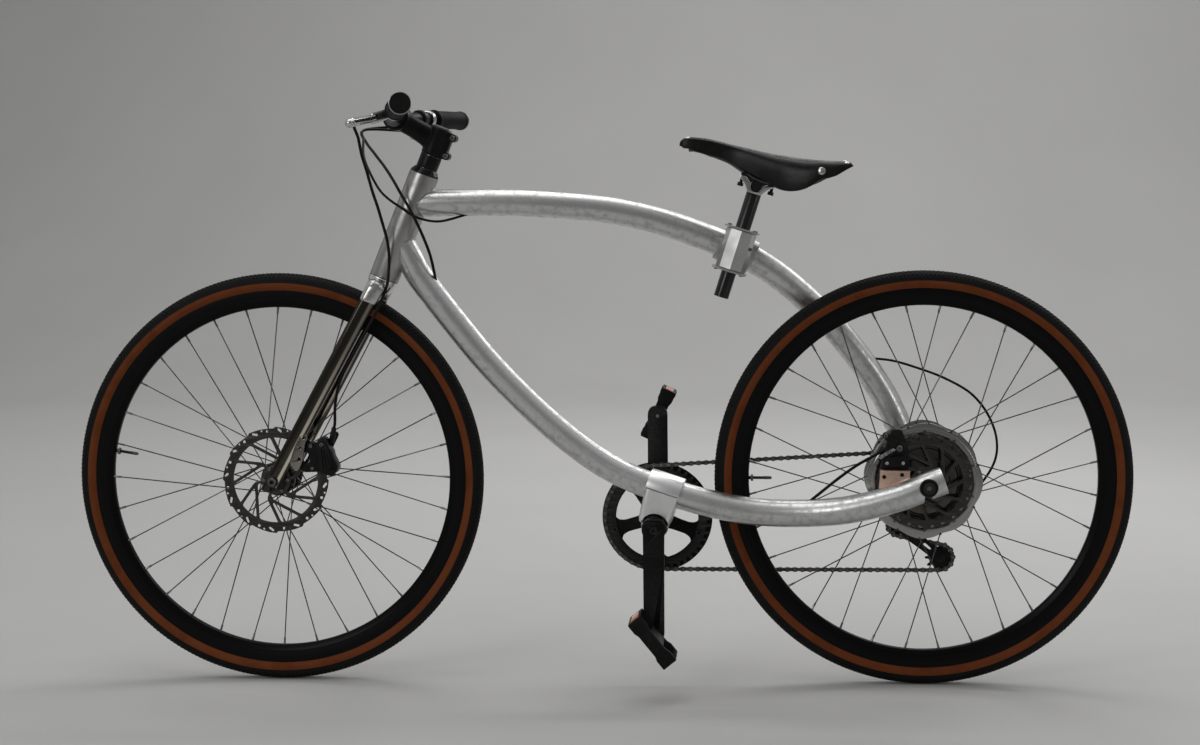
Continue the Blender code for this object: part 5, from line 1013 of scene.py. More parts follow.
def rear_hub():
    left, right, half = REAR_FLANGE_LEFT, REAR_FLANGE_RIGHT, FLANGE_HALF
    seat = -REAR_ROTOR_Y - ROTOR_T / 2 - GAP
    bore = REAR_AXLE_R + GAP
    face = right + half + 0.001
    place = about_y(REAR_AXLE)
    shell = [(bore, face), (0.03, face), (0.034, face - 0.001), (MOTOR_R - 0.014, face - 0.001),
             (MOTOR_R - 0.01, face - 0.0004), (MOTOR_BODY_R + 0.001, right - half),
             (MOTOR_BODY_R, right - 0.006),
             (MOTOR_BODY_R, 0.006 - left), (MOTOR_BODY_R + 0.001, half - left), (0.086, -left - half),
             (0.084, -left - half)]
    show(turned("motor_shell", eased(shell, 0.0008, closed=False, steps=2), place, 144), MOTOR_SILVER,
         "rear_wheel", "rear_hub")
    show(joined("motor_flanges", [lobed_ring("flange", -left, half), lobed_ring("flange", right, half)]),
         MOTOR_SILVER, "rear_wheel")
    rim = mm((88, 0.4), (88, -1.2), (85, -2.2), (80, -2.2), (78, -1.2), (60, -2.8),
             base=(0, -left - half))
    show(turned("motor_cover_rim", eased(rim, 0.0006, closed=False, steps=2), place, 144), MOTOR_SILVER,
         "rear_wheel")
    cover = [(0.06, -left - half - 0.0024), (0.0596, -left - half - 0.0036),
             (0.056, -left - half - 0.0036),
             (0.054, -left - half - 0.0044), (0.042, -left - 0.0076), (0.04, -left - 0.009),
             (0.026, -left - 0.012), (0.0235, -left - 0.014), (0.022, -seat), (ROTOR_PILOT_R, -seat),
             (ROTOR_PILOT_R, -seat - 0.004), (bore, -seat - 0.004)]
    show(turned("motor_cover", eased(cover, 0.0006, closed=False, steps=2), place, 144), MOTOR_COVER_PAINTED_DARK,
         "rear_wheel")
    screws = []
    for k in range(10):
        x, z = polar(0.0825, 2 * pi * (k + 0.5) / 10)
        at = REAR_AXLE + Vector((x, -left - half - 0.0022, z))
        head = mm((0, -0.6), (1.2, -0.6), (1.3, -1.6), (2.5, -1.4), (2.9, -0.4), (2.9, 0))
        screws.append(turned("screw", head, about_y(at), 14))
    show(joined("motor_cover_screws", screws), BOLT_STEEL, "rear_wheel")


rear_hub()

# Head tube. A plain length of thick-walled tube, turned square at both ends, that the two frame
# tubes are welded to.

HEAD_ALLOY = metal("head_tube_aluminium", "brushed_aluminium", (0.4, 0.395, 0.38), (0.28, 0.275, 0.265),
                   (0.28, 0.44), (420.0, 420.0, 9.0), along=True, clouds=(20.0, 0.42, 0.7), bump=0.1)
WELD_ALLOY = metal("weld_aluminium", "brushed_aluminium", (0.45, 0.445, 0.43), (0.3, 0.295, 0.285),
                   (0.34, 0.52), 600.0, bump=0.1)


def head_tube():
    section = [(HEAD_BORE_R, HEAD_HALF), (HEAD_R, HEAD_HALF), (HEAD_R, -HEAD_HALF),
               (HEAD_BORE_R, -HEAD_HALF)]
    tube = turned("head_tube_turned", eased(section, 0.0006), STEER, 96, closed=True)
    ends = [steer_point(0.0, 0.0, z) for z in (-HEAD_HALF, 0.0, HEAD_HALF)]
    tube.data.attributes.remove(tube.data.attributes["straight"])
    show(straightened(tube, ends), HEAD_ALLOY, "frame", "head_tube")


def mitre_line(line, count):
    """Where a frame tube meets the head tube, all the way round."""
    start, ahead = line[0], (line[3] - line[0]).normalized()
    side = ahead.cross(Vector((0.0, 1.0, 0.0))).normalized()
    across = ahead.cross(side)
    back = STEER.inverted()
    found = []
    for k in range(count):
        a = 2 * pi * k / count
        beside = start + (side * cos(a) + across * sin(a)) * TUBE_R
        low, high = -0.03, 0.06
        for _ in range(30):
            middle = (low + high) / 2
            here = back @ (beside + ahead * middle)
            if hypot(here.x, here.y) < HEAD_R:
                low = middle
            else:
                high = middle
        found.append(beside + ahead * high)
    return found


def weld(name, line):
    """A fine bead with the small overlapping ripples of a hand-held torch."""
    seam = mitre_line(line, 180)
    rings = []
    for i, point in enumerate(seam):
        ahead = (seam[(i + 1) % len(seam)] - seam[i - 1]).normalized()
        side = ahead.cross(point - HEAD_MID).normalized()
        up = side.cross(ahead)
        r = 0.00135 * (1 + 0.1 * sin(2 * pi * i / 3.0))
        rings.append([point + side * u + up * v for u, v in disc(r, 8, (0.0, 0.0))])
    show(skinned(name, rings, loop=True), WELD_ALLOY, "frame")


head_tube()
weld("upper_tube_weld", UPPER_LINE)
weld("lower_tube_weld", LOWER_LINE)

# Fork. A cast and polished crown with a socket for each blade, and two dark plated blades with
# open ends. The near blade carries a looped tab for the caliper.

HUB_IN_STEER = STEER.inverted() @ FRONT_AXLE
CROWN_TOP = -HEAD_HALF - GAP
CROWN_FOOT = CROWN_TOP - 0.022
STEERER_R = 0.0143
LEG_TOP = (0.014, 0.01)
LEG_END = (0.0123, 0.006)
LEG_TOP_Y = 0.05
LEG_END_Y = 0.056
LEG_PAST_AXLE = 0.02
CALIPER_FACE_Y = -0.0552
DROPOUT_OUT_Y = LEG_END_Y + LEG_END[1] - 0.001
STEM_FOOT = 0.1264
STEM_TOP = STEM_FOOT + 0.05
SIDES = {-1: "left", 1: "right"}

CROWN_ALLOY = metal("crown_polished", "brushed_aluminium", (0.6, 0.595, 0.58), (0.4, 0.395, 0.38),
                    (0.16, 0.3), 500.0, clouds=(30.0, 0.45, 0.72), bump=0.03)
BLADE_CHROME = metal("blade_dark_chrome_painted_highlight", "dark_chrome", (0.07, 0.064, 0.052), (0.045, 0.041, 0.034),
                     (0.07, 0.15), (260.0, 260.0, 6.0), along=True, clouds=(9.0, 0.4, 0.7), bump=0.015)


def painted_flank_highlight(finish):
    """A painted highlight: a bright stripe down the trailing side of each blade, wider and clearer towards
    the wheel.
    """
    tree = finish.node_tree
    shader = tree.nodes["Principled BSDF"].inputs
    place = node(tree, "ShaderNodeAttribute", attribute_name="straight").outputs["Vector"]
    behind = node(tree, "ShaderNodeVectorMath", {0: place, 1: (-0.735, -0.68, 0.0)},
                  operation="DOT_PRODUCT").outputs["Value"]
    down = node(tree, "ShaderNodeSeparateXYZ", {"Vector": place}).outputs["Z"]
    bands = [ranged(tree, value, *span, interpolation_type="SMOOTHSTEP")
             for value, *span in ((behind, 0.0, 1.0, 0.0036, 0.0056), (behind, 1.0, 0.0, 0.0086, 0.0104),
                                  (down, 0.25, 1.0, 0.06, 0.34))]
    share = maths(tree, "MULTIPLY", maths(tree, "MULTIPLY", bands[0], bands[1]), bands[2])
    # The bright colour mixed into the base colour here is a painted highlight.
    tree.links.new(mixed(tree, share, shader["Base Color"].links[0].from_socket, rgba((0.78, 0.72, 0.6))),
                   shader["Base Color"])


# The blades' finish gets its painted highlight stripe.
painted_flank_highlight(BLADE_CHROME)
TAB_CHROME = metal("tab_chrome", "dark_chrome", (0.34, 0.32, 0.28), (0.2, 0.19, 0.17), (0.1, 0.2), 500.0,
                   bump=0.03)


def oval(place, half_x, half_y, power, sides=32):
    """A ring of points on a rounded box outline; power 2 is an ellipse."""
    found = []
    for k in range(sides):
        c, s = polar(1.0, 2 * pi * k / sides)
        found.append(place @ Vector((half_x * copysign(abs(c) ** (2 / power), c),
                                     half_y * copysign(abs(s) ** (2 / power), s), 0.0)))
    return found


def moulded(name, parts, voxel, rounds):
    """Parts run together into one cast or forged body with soft inner corners."""
    whole = joined(name, parts)
    skin = whole.modifiers.new("skin", "REMESH")
    skin.mode = "VOXEL"
    skin.voxel_size = voxel
    soft = whole.modifiers.new("soft", "SMOOTH")
    soft.factor = 0.5
    soft.iterations = rounds
    return worked(whole)


def leg_place(side, share):
    """The middle and half sizes of a blade, from its head at 0 to its foot at 1."""
    head, foot = CROWN_FOOT - GAP, HUB_IN_STEER.z - LEG_PAST_AXLE
    shaped = min(share / 0.93, 1.0)
    z = head + (foot - head) * share
    x = HUB_IN_STEER.x * share * (head - foot) / (head - HUB_IN_STEER.z)
    y = side * (LEG_TOP_Y + (LEG_END_Y - LEG_TOP_Y) * shaped)
    half_x, half_y = (top + (end - top) * shaped for top, end in zip(LEG_TOP, LEG_END))
    return x, y, z, half_x, half_y


def fork_crown():
    neck = [(0.0, CROWN_TOP), (HEAD_R - 0.0008, CROWN_TOP), (HEAD_R, CROWN_TOP - 0.001),
            (HEAD_R, CROWN_TOP - 0.0085), (0.0235, CROWN_TOP - 0.0125), (0.018, CROWN_FOOT - 0.001),
            (0.0, CROWN_FOOT - 0.001)]
    parts = [turned("neck", neck, STEER, 64)]
    middle = CROWN_FOOT + 0.0095
    rings = []
    for i in range(25):
        y = -0.061 + 0.122 * i / 24
        end = max(0.0, (abs(y) - 0.048) / 0.013)
        shrink = sqrt(max(0.0, 1 - min(end, 0.98) ** 2))
        x, z = 0.015 * (0.35 + 0.65 * shrink), 0.0098 * (0.3 + 0.7 * shrink)
        turn = STEER @ Matrix.Translation((0.0, y, middle)) @ Matrix.Rotation(pi / 2, 4, "X")
        rings.append(oval(turn, x, z, 2.5))
    parts.append(skinned("beam", rings))
    for side in (-1, 1):
        rings = []
        for share, grown in ((-0.03, 0.0005), (-0.018, 0.0014), (0.0, 0.0016), (0.04, 0.0015),
                             (0.052, 0.0013)):
            x, y, z, half_x, half_y = leg_place(side, share)
            rings.append(oval(STEER @ Matrix.Translation((x, y, z)), half_x + grown, half_y + grown, 2.6))
        parts.append(skinned("socket", rings))
    show(moulded("fork_crown_cast", parts, 0.0011, 5), CROWN_ALLOY, "steering", "fork_crown")
    race = HEAD_BORE_R - GAP
    steerer = [(0.0, STEM_TOP - 0.003), (STEERER_R - 0.0008, STEM_TOP - 0.003),
               (STEERER_R, STEM_TOP - 0.0038), (STEERER_R, CROWN_TOP + 0.008), (race, CROWN_TOP + 0.007),
               (race, CROWN_TOP + 0.0002)]
    show(turned("fork_steerer", steerer, STEER, 48), CROWN_ALLOY, "steering")


def fork_blade(side):
    rings = []
    for i in range(33):
        share = 0.008 + 0.992 * i / 32
        x, y, z, half_x, half_y = leg_place(side, share)
        if share > 0.985:
            half_x, half_y = half_x * 0.93, half_y * 0.86
        rings.append(oval(STEER @ Matrix.Translation((x, y, z)), half_x, half_y, 3.2, 40))
    name = SIDES[side]
    blade = skinned("blade_" + name, rings)
    outer = side * (DROPOUT_OUT_Y + LEG_END[1])
    blade = worked(
        blade,
        ("cut", open_slot(FRONT_AXLE, FRONT_AXLE_R + GAP, *sorted((side * 0.03, side * 0.09)))),
        ("cut", crosswise("hub_flat", 0.0125, FRONT_AXLE, side * 0.02, side * FRONT_HUB_HALF, 40)),
        ("cut", crosswise("nut_flat", 0.0105, FRONT_AXLE, side * DROPOUT_OUT_Y, outer + side * 0.03, 40)))
    line = [steer_point(*leg_place(side, share)[:3]) for share in (0.0, 0.25, 0.5, 0.75, 1.0)]
    show(straightened(blade, line), BLADE_CHROME, "steering", "fork_leg_" + name)


def by_axle(axle, *spots):
    """Flat points measured in millimetres from an axle."""
    return mm(*spots, base=flat_xz(axle))


def caliper_tab():
    """A looped plate that reaches back from the near blade to the caliper's two bolts."""
    outline = by_axle(FRONT_AXLE, (29, 30), (36, 56), (43, 70), (49, 80), (56.5, 80), (59, 72.5),
                      (55.5, 62), (54, 52), (52, 38), (48, 26), (40, 16))
    holes = [disc(radius, count, *by_axle(FRONT_AXLE, spot))
             for radius, count, spot in ((0.0034, 20, (52.5, 74.5)), (0.003, 20, (45, 38)),
                                         (0.002, 20, (48, 57)))]
    y = CALIPER_FACE_Y - GAP
    tab = plate("caliper_tab_forged", [eased(outline, 0.005, steps=4)] + holes, y - 0.006, y, 0.0009)
    show(tab, TAB_CHROME, "steering")


fork_crown()
fork_blade(-1)
fork_blade(1)
caliper_tab()

# Front axle. A plain pin through the hub and both blades, with a turned nut on each end whose
# broad face stands against the blade.

AXLE_STEEL = metal("axle_steel", "polished_steel", (0.045, 0.044, 0.042), (0.025, 0.024, 0.023),
                   (0.22, 0.38), 700.0, wear=0.6, bump=0.05)


def facing(side):
    """Turns a piece about an axle round for the left side."""
    return Matrix.Identity(4) if side > 0 else Matrix.Rotation(pi, 4, "X")


def front_axle():
    seat = FRONT_HUB_HALF + 2 * LEG_END[1] - 0.001 + GAP
    parts = [crosswise("pin", FRONT_AXLE_R, FRONT_AXLE, -seat, seat)]
    for side in (-1, 1):
        place = about_y(FRONT_AXLE) @ facing(side)
        nut = mm((0, 3), (3.2, 3), (3.4, 6.8), (6.4, 7), (7.4, 6), (7.8, 1.6), (9.6, 1.4), (9.8, 0.4),
                 (9.4, 0), (0, 0), base=(0, seat))
        parts.append(turned("nut", nut, place, 36))
    show(joined("front_axle_and_nuts", parts), AXLE_STEEL, "steering", "front_axle")


front_axle()

# Headset, spacer and stem. A black ribbed cup on the head tube, one tall spacer, and a forged
# black stem that two bolts pinch on the steerer.

SPACER_R = 0.018
CUP_H = 0.01
SPACER_H = 0.0225
BAR_MID = Vector((-0.332, 0.0, 0.95))
BAR_END = Vector((-0.272, 0.298, 0.958))
BAR_R = 0.0111
BAR_CLAMP_R = 0.0159

SATIN_BLACK = metal("satin_black", "black_anodised", 0.004, 0.0085, (0.26, 0.42), 600.0, metallic=0.0,
                    wear=0.1, bump=0.05, shine=0.14)
GLOSS_BLACK = metal("gloss_black", "black_anodised", 0.0035, 0.006, (0.12, 0.24), 600.0, metallic=0.0,
                    bump=0.02, shine=0.26)


def headset():
    base = HEAD_HALF + GAP
    bore = STEERER_R + 0.0005
    steps = mm((19.2, 9), (20.5, 8.2), (20.5, 7), (21.8, 6.2), (21.8, 5), (23.4, 4), (23.4, 3),
               (24.2, 2.2), (24.2, 0), (17.4, 0), (17.4, -12), base=(0, base))
    cup = [(bore, base + CUP_H), (0.0185, base + CUP_H)] + steps + [(bore, base - 0.012)]
    show(turned("headset_cup_turned", eased(cup, 0.0004, steps=2), STEER, 72, closed=True), GLOSS_BLACK,
         "frame", "headset_cup_upper")
    low = base + CUP_H + GAP
    high = low + SPACER_H
    section = [(STEERER_R + GAP, high), (SPACER_R, high), (SPACER_R, low), (STEERER_R + GAP, low)]
    show(turned("steerer_spacer_turned", eased(section, 0.0008), STEER, 72, closed=True), SATIN_BLACK,
         "steering", "steerer_spacer")


def stem():
    high, low = STEM_TOP, STEM_FOOT
    column = [(0.0, high + 0.001), (0.015, high + 0.0006), (0.0185, high - 0.0022), (0.019, high - 0.006),
              (0.019, low + 0.006), (0.0186, low + 0.0012), (0.0176, low), (0.0, low)]
    parts = [turned("column", column, STEER, 56)]
    middle = steer_point(0.0, 0.0, (low + high) / 2)
    run = (BAR_MID - middle).normalized()
    lift = run.cross(Vector((0.0, 1.0, 0.0))).normalized()
    rings = []
    for share, wide, tall in ((0.05, 0.016, 0.0215), (0.3, 0.0158, 0.018), (0.55, 0.0166, 0.0166),
                              (0.8, 0.0185, 0.0172), (1.0, 0.0205, 0.0186)):
        at = middle.lerp(BAR_MID, share)
        turn = Matrix((Vector((0, 1, 0)), lift, run)).transposed().to_4x4()
        rings.append(oval(Matrix.Translation(at) @ turn, wide, tall, 3.0))
    parts.append(skinned("neck", rings))
    parts.append(crosswise("bar_clamp", 0.0218, BAR_MID, -0.0213, 0.0213, 56))
    for z in (low + 0.0085, high - 0.0095):
        parts.append(crosswise("lobe", 0.0066, steer_point(0.024, 0.0, z), -0.0128, 0.0128, 40))
        web = Matrix.Translation(steer_point(0.016, 0.0, z)) @ STEER.to_3x3().to_4x4()
        faces = [web @ Matrix.Translation((0, y, 0)) @ Matrix.Rotation(pi / 2, 4, "X")
                 for y in (-0.0124, 0.0124)]
        parts.append(skinned("web", [oval(face, 0.0095, 0.0068, 3.5, 24) for face in faces]))
    web = STEER @ Matrix.Translation((0.0165, 0.0, (low + high) / 2))
    parts.append(skinned("rear_web", [oval(web @ Matrix.Translation((0, 0, z)), 0.0075, 0.0118, 4.0, 24)
                                      for z in (-0.02, 0.02)]))
    forged = moulded("stem_forged", parts, 0.0011, 4)
    corners = ((0.01, -0.0011), (0.05, -0.0011), (0.05, 0.0011), (0.01, 0.0011))
    slit = skinned("slit", [[steer_point(x, y, z) for x, y in corners] for z in (low - 0.01, high + 0.01)])
    faces = [("cut", crosswise("face", 0.05, BAR_MID, side * 0.0216, side * 0.06, 16)) for side in (-1, 1)]
    show(worked(forged, ("cut", slit), *faces), SATIN_BLACK, "steering", "stem")
    bolts = []
    for z in (low + 0.0085, high - 0.0095):
        at = steer_point(0.024, -0.0128, z)
        head = mm((0, -1.6), (1.9, -1.6), (2.1, -4.2), (3.8, -4.2), (4.2, -3.6), (4.2, 0.4))
        bolts.append(turned("pinch_bolt", head, about_y(at), 20))
    cap = mm((0, -0.4), (2.6, -0.4), (3, 1.2), (12, 1.6), (14.6, 0.4), base=(0, high))
    bolts.append(turned("top_cap", cap, STEER, 40))
    show(joined("stem_bolts_and_cap", bolts), BOLT_STEEL, "steering")


headset()
stem()

# Handlebar and grips. A black tube, thicker in the stem and swept back, with a moulded rubber
# grip pushed on each end.

GRIP_L = 0.128


def mirrored(point):
    return Vector((point.x, -point.y, point.z))


def bar_points():
    x, z = BAR_MID.x, BAR_MID.z
    bend = mm((0, 0, 0), (0, 34, 0), (0.5, 45, 0), (4, 70, 1), (13, 105, 2.8), base=(x, 0, z))
    knee = Vector(bend[-1])
    half = [Vector(p) for p in bend] + [knee.lerp(BAR_END - (BAR_END - knee).normalized() * 0.004, share)
                                        for share in (0.5, 1.0)]
    return [mirrored(p) for p in reversed(half[1:])] + half


BAR_LINE = bar_points()
GRIP_DIR = (BAR_END - BAR_LINE[-3]).normalized()


def bar_at(y, side):
    knee = BAR_LINE[-3]
    spot = knee.lerp(BAR_END, (y - knee.y) / (BAR_END.y - knee.y))
    return spot if side > 0 else mirrored(spot)


def handlebar():
    line = smooth_path(BAR_LINE, 90)
    radii = []
    for point in line:
        swell = 1 - min(max((abs(point.y) - 0.036) / 0.022, 0.0), 1.0)
        radii.append(1 + (BAR_CLAMP_R / BAR_R - 1) * swell * swell * (3 - 2 * swell))
    show(swept("handlebar_drawn", line, BAR_R, 36, radii), SATIN_BLACK, "steering", "handlebar")


GRIP_RUBBER = rubber("grip_rubber", "black_rubber", 0.004, 0.01, (0.48, 0.66), 1500.0, 0.35)


def grip(name, side):
    """A cylinder of rubber with a lock ring at its inner end, fine rows of ribs and a flat cap."""
    way = GRIP_DIR if side > 0 else mirrored(GRIP_DIR)
    end = BAR_END if side > 0 else mirrored(BAR_END)
    place = towards(end - way * GRIP_L, way)
    section = [(BAR_R + GAP, 0.0), (0.015, 0.0), (0.0172, 0.0008), (0.0175, 0.0034), (0.0172, 0.0056),
               (0.0158, 0.0066)]
    ribs = 34
    for k in range(ribs):
        at = 0.0076 + (GRIP_L - 0.019) * k / ribs
        section += mm((15.3, 0), (15.9, 0.8), (15.9, 2.2), (15.3, 3), base=(0, at))
    section += mm((15.6, -10), (17, -8.6), (17.2, -3), (16.8, -1), (15.8, 0), (0, 0), base=(0, GRIP_L))
    show(turned(name + "_moulded", section, place, 48), GRIP_RUBBER, "steering", name)
    ring = mm((16.3, -0.4), (17.3, -1), (17.5, -3.4), (17, -3.8), base=(0, GRIP_L))
    show(turned(name + "_end_ring", ring, place, 48), HEAD_ALLOY, "steering")


handlebar()
grip("grip_left", -1)
grip("grip_right", 1)

# Brake levers. Each has a polished bracket clamped on the bar, a screwed adjuster that the cable
# leaves from, and a cast lever with a ball at its tip.

LEVER_DROP = radians(20)
LEVER_Y = 0.15
LEVER_PIVOT = (0.004, 0.034)
LEVER_T = 0.0084
BARREL = ((-0.018, 0.026), (-0.04, 0.032))

BRACKET_STEEL = metal("bracket_polished", "polished_steel", (0.56, 0.56, 0.55), (0.38, 0.38, 0.37),
                      (0.14, 0.28), 600.0, clouds=(40.0, 0.42, 0.7), bump=0.015)
LEVER_ALLOY = metal("lever_alloy", "brushed_aluminium", (0.6, 0.6, 0.59), (0.42, 0.42, 0.41),
                    (0.16, 0.32), 900.0, clouds=(30.0, 0.42, 0.7), bump=0.01)


def lever_place(side):
    """Local X runs out along the bar, Y forwards of it and Z along the lever's pin."""
    out = GRIP_DIR if side > 0 else mirrored(GRIP_DIR)
    front = Vector((-cos(LEVER_DROP), 0.0, -sin(LEVER_DROP)))
    front = (front - out * front.dot(out)).normalized()
    turn = Matrix((out, front, out.cross(front))).transposed().to_4x4()
    return Matrix.Translation(bar_at(LEVER_Y, side)) @ turn


def flat(name, loops, low, high, place, bevel=0.0):
    """A flat outline in the matrix's XY plane, between two heights of its Z."""
    obj = plate(name, loops, -high, -low, bevel)
    obj.data.transform(place @ Matrix.Rotation(-pi / 2, 4, "X"))
    return obj


def turned_on(name, profile, start, end, sides=32):
    """A turned piece whose heights run from the start towards the end."""
    start, end = Vector(start), Vector(end)
    return turned(name, profile, towards(start, end - start), sides)


def clamp_ring(centre, out, shoulder_r, crest, soft):
    """A ring closed round the bar, with a shoulder on both edges."""
    half = [(BAR_R + GAP, 0.0062), (shoulder_r, 0.0062), (0.0157, crest)]
    outline = [(r, -h) for r, h in half] + half[::-1]
    return turned_on("clamp_ring", eased(outline, soft), centre, centre + out, 48)


def screw_head(at, way, radius):
    """A round head with a recess for the key. The way is a unit vector out of the surface."""
    deep, tall = radius * 0.55, radius * 0.85
    profile = [(0.0, tall - deep), (radius * 0.5, tall - deep), (radius * 0.52, tall),
               (radius * 0.88, tall),
               (radius, tall * 0.82), (radius, -0.0004)]
    return turned_on("screw_head", profile, at, Vector(at) + Vector(way), 20)


def brake_lever(side):
    label = SIDES[side]
    place = lever_place(side)
    centre = place.to_translation()
    out = place.to_3x3() @ Vector((1.0, 0.0, 0.0))
    ring = clamp_ring(centre, out, 0.0152, 0.0045, 0.0005)
    outline = mm((-18.5, 9), (7.5, 9), (11, 20), (12.5, 30), (11.2, 40), (-4, 42.5), (-20.5, 34.5),
                 (-21.5, 24))
    half = LEVER_T / 2 + GAP
    body = worked(flat("bracket_body", [eased(outline, 0.0045)], -0.0078, 0.0078, place, 0.0012),
                  ("cut", flat("lever_slot", [mm((-7, 25), (30, 21.5), (30, 50), (-12, 50))],
                               -half, half, place)),
                  ("cut", rod("bar_room", BAR_R + GAP, centre - out * 0.03, centre + out * 0.03, 40)))
    start, end = (place @ Vector((*spot, 0.0)) for spot in BARREL)
    length = (end - start).length
    thread = mm((0, 0), (3, 0))
    for k in range(7):
        thread += mm((3.4, 2 + 1.1 * k), (3, 2.5 + 1.1 * k))
    thread += mm((3.3, 10), (4.7, 10.2), (5, 11))
    thread += mm((5, -8), (4.4, -7.4), (4.2, -0.6), (3.8, 0), (3.1, 0), (3.1, -8), base=(0, length))
    barrel = turned_on("adjuster", thread, start, end)
    notches = []
    along_barrel = towards(start, end - start)
    ridge = (end - start).normalized() * (length - 0.0192)
    for x, y in disc(0.005, 14, (0.0, 0.0)):
        spot = along_barrel @ Vector((x, y, 0.011))
        notches.append(rod("knurl", 0.0005, spot, spot + ridge, 6))
    pin = mm((0, 8.8), (1.8, 8.8), (3.8, 8.4), (4, 7.6), (2.4, 7.4), (2.4, -7.4), (4, -7.6), (4, -8.4),
             (0, -8.8))
    pivot = place @ Matrix.Translation((*LEVER_PIVOT, 0.0))
    bolt = screw_head(place @ Vector((-0.002, 0.009, 0.0078)), place.to_3x3() @ Vector((0, 0, 1)), 0.0032)
    parts = [ring, body, barrel, turned("pin", pin, pivot, 24), bolt] + notches
    show(joined("lever_bracket_" + label + "_polished", parts), BRACKET_STEEL, "steering",
         "lever_bracket_" + label)

    blade = mm((-1.5, 27.5), (6, 27.2), (12, 30), (24, 38.5), (55, 49.5), (85, 61), (101, 69.5),
               (100, 81.5), (84, 73.5), (55, 61), (20, 52), (4, 44.5), (-3.5, 39), (-4, 32))
    cast = flat("blade", [eased(blade, 0.004)], -LEVER_T / 2 + 0.0002, LEVER_T / 2 - 0.0002, place, 0.0016)
    finger = mm((26, 41.5), (55, 52), (85, 64), (98.5, 71.5), (97.5, 79), (84, 71), (55, 59), (27, 50))
    pad = flat("finger_pad", [eased(finger, 0.003)], -0.0068, 0.0068, place, 0.0022)
    tip = place @ Matrix.Translation((0.1055, 0.0792, 0.0))
    ball = turned("ball", [(0.0072 * sin(pi * i / 16), -0.0072 * cos(pi * i / 16))
                           for i in range(17)], tip, 28)
    lever = moulded("brake_lever_" + label + "_cast", [cast, pad, ball], 0.0008, 3)
    lever = worked(lever, ("cut", turned("pin_hole", mm((0, -20), (2.6, -20), (2.6, 20), (0, 20)),
                                         pivot, 24)))
    show(lever, LEVER_ALLOY, "brake_lever_" + label, "brake_lever_" + label)


brake_lever(-1)
brake_lever(1)

# Gear shifter. A black housing clamped on the bar behind the right lever, with a short thumb
# lever of pressed aluminium under it.

POD_IN, POD_OUT = -0.012, -0.028
SHIFT_STOP = ((-0.01, 0.008, -0.02), (-0.026, 0.016, -0.02))
SHIFT_LEVER_T = 0.003


def capsule(a, b, radius_a, radius_b, count=10):
    """Two round ends of unlike size and the straight sides between them."""
    heading = atan2(b[1] - a[1], b[0] - a[0])
    return (arc(radius_a, heading + pi / 2, heading + 3 * pi / 2, count, a)
            + arc(radius_b, heading - pi / 2, heading + pi / 2, count, b))


def shifter():
    out = (lever_place(1).to_3x3() @ Vector((1.0, 0.0, 0.0))).normalized()
    centre = bar_at(LEVER_Y, 1) - out * 0.034
    up = Vector((0.0, 0.0, 1.0))
    up = (up - out * up.dot(out)).normalized()
    place = Matrix.Translation(centre) @ Matrix((out, up.cross(out), up)).transposed().to_4x4()
    ring = clamp_ring(centre, out, 0.015, 0.0048, 0.0006)
    shell = mm((-17, -12.2), (10.5, -12.2), (14.8, 3), (9, 14.2), (-12.2, 14.2), (-18.4, 6))
    pod = flat("pod", [eased(shell, 0.006, steps=5)], POD_OUT, POD_IN + 0.0005, place, 0.0028)
    neck = flat("neck", [capsule((-0.004, -0.004), (-0.004, 0.004), 0.0065, 0.0065)], POD_IN - 0.001,
                -0.008, place)
    stop = turned_on("cable_stop", mm((0, 0), (4.5, 0), (4.5, 10), (4, 11.5), (4, 17), (3.6, 17.8),
                                      (3, 17.8), (3, 11.5)),
                     place @ Vector(SHIFT_STOP[0]), place @ Vector(SHIFT_STOP[1]), 24)
    pin = place @ Matrix.Translation((-0.002, 0.0, POD_OUT))
    post = turned("post", mm((3, 2), (3, -4.8), (2.6, -5.4), (0, -5.4)), pin, 24)
    window = flat("cover", [eased(mm((-12, -8.5), (7, -8.5), (9.5, 2), (6, 10), (-9, 10),
                                     (-13, 4)), 0.003)], POD_IN, POD_IN + 0.0014, place,
                  0.0005)
    show(joined("shifter_body_moulded", [ring, pod, neck, stop, post, window]), SATIN_BLACK, "steering",
         "shifter_body")
    lever = flat("shifter_lever_pressed", [capsule((-0.002, 0.0), (0.018, -0.022), 0.007, 0.0045),
                                           disc(0.0036, 24, (-0.002, 0.0))],
                 POD_OUT - GAP - SHIFT_LEVER_T, POD_OUT - GAP, place, 0.0006)
    show(lever, LEVER_ALLOY, "shifter_lever", "shifter_lever")


shifter()

# Seat clamp. A machined aluminium sleeve round the upper tube, carrying an eight-sided block with
# a slit that grips the post and a bolted plate on each end.

POST_R = 0.0125
POST_BORE_R = 0.0105
POST_TILT = radians(17.8)
POST_FOOT = Vector((0.2065, 0.0, 0.6486))
POST_LENGTH = 0.186
POST_DIR = Vector((sin(POST_TILT), 0.0, cos(POST_TILT)))
SEAT_BLOCK_MID = POST_FOOT + POST_DIR * ((0.7265 - POST_FOOT.z) / POST_DIR.z)
SEAT_BLOCK_R = 0.0212
SEAT_BLOCK_HALF = 0.034
SEAT_PLACE = Matrix.Translation(SEAT_BLOCK_MID) @ Matrix.Rotation(POST_TILT, 4, "Y")

MACHINED = metal("machined_aluminium", "brushed_aluminium", (0.52, 0.52, 0.51), (0.42, 0.42, 0.41),
                 (0.32, 0.42), 900.0, clouds=(12.0, 0.44, 0.72), bump=0.02)


def box(name, size, place):
    """A plain block, as a tool or as a part of a larger body."""
    x, y, z = (edge / 2 for edge in size)
    corners = [(-x, -y), (x, -y), (x, y), (-x, y)]
    return skinned(name, [[place @ Vector((a, b, h)) for a, b in corners] for h in (-z, z)])


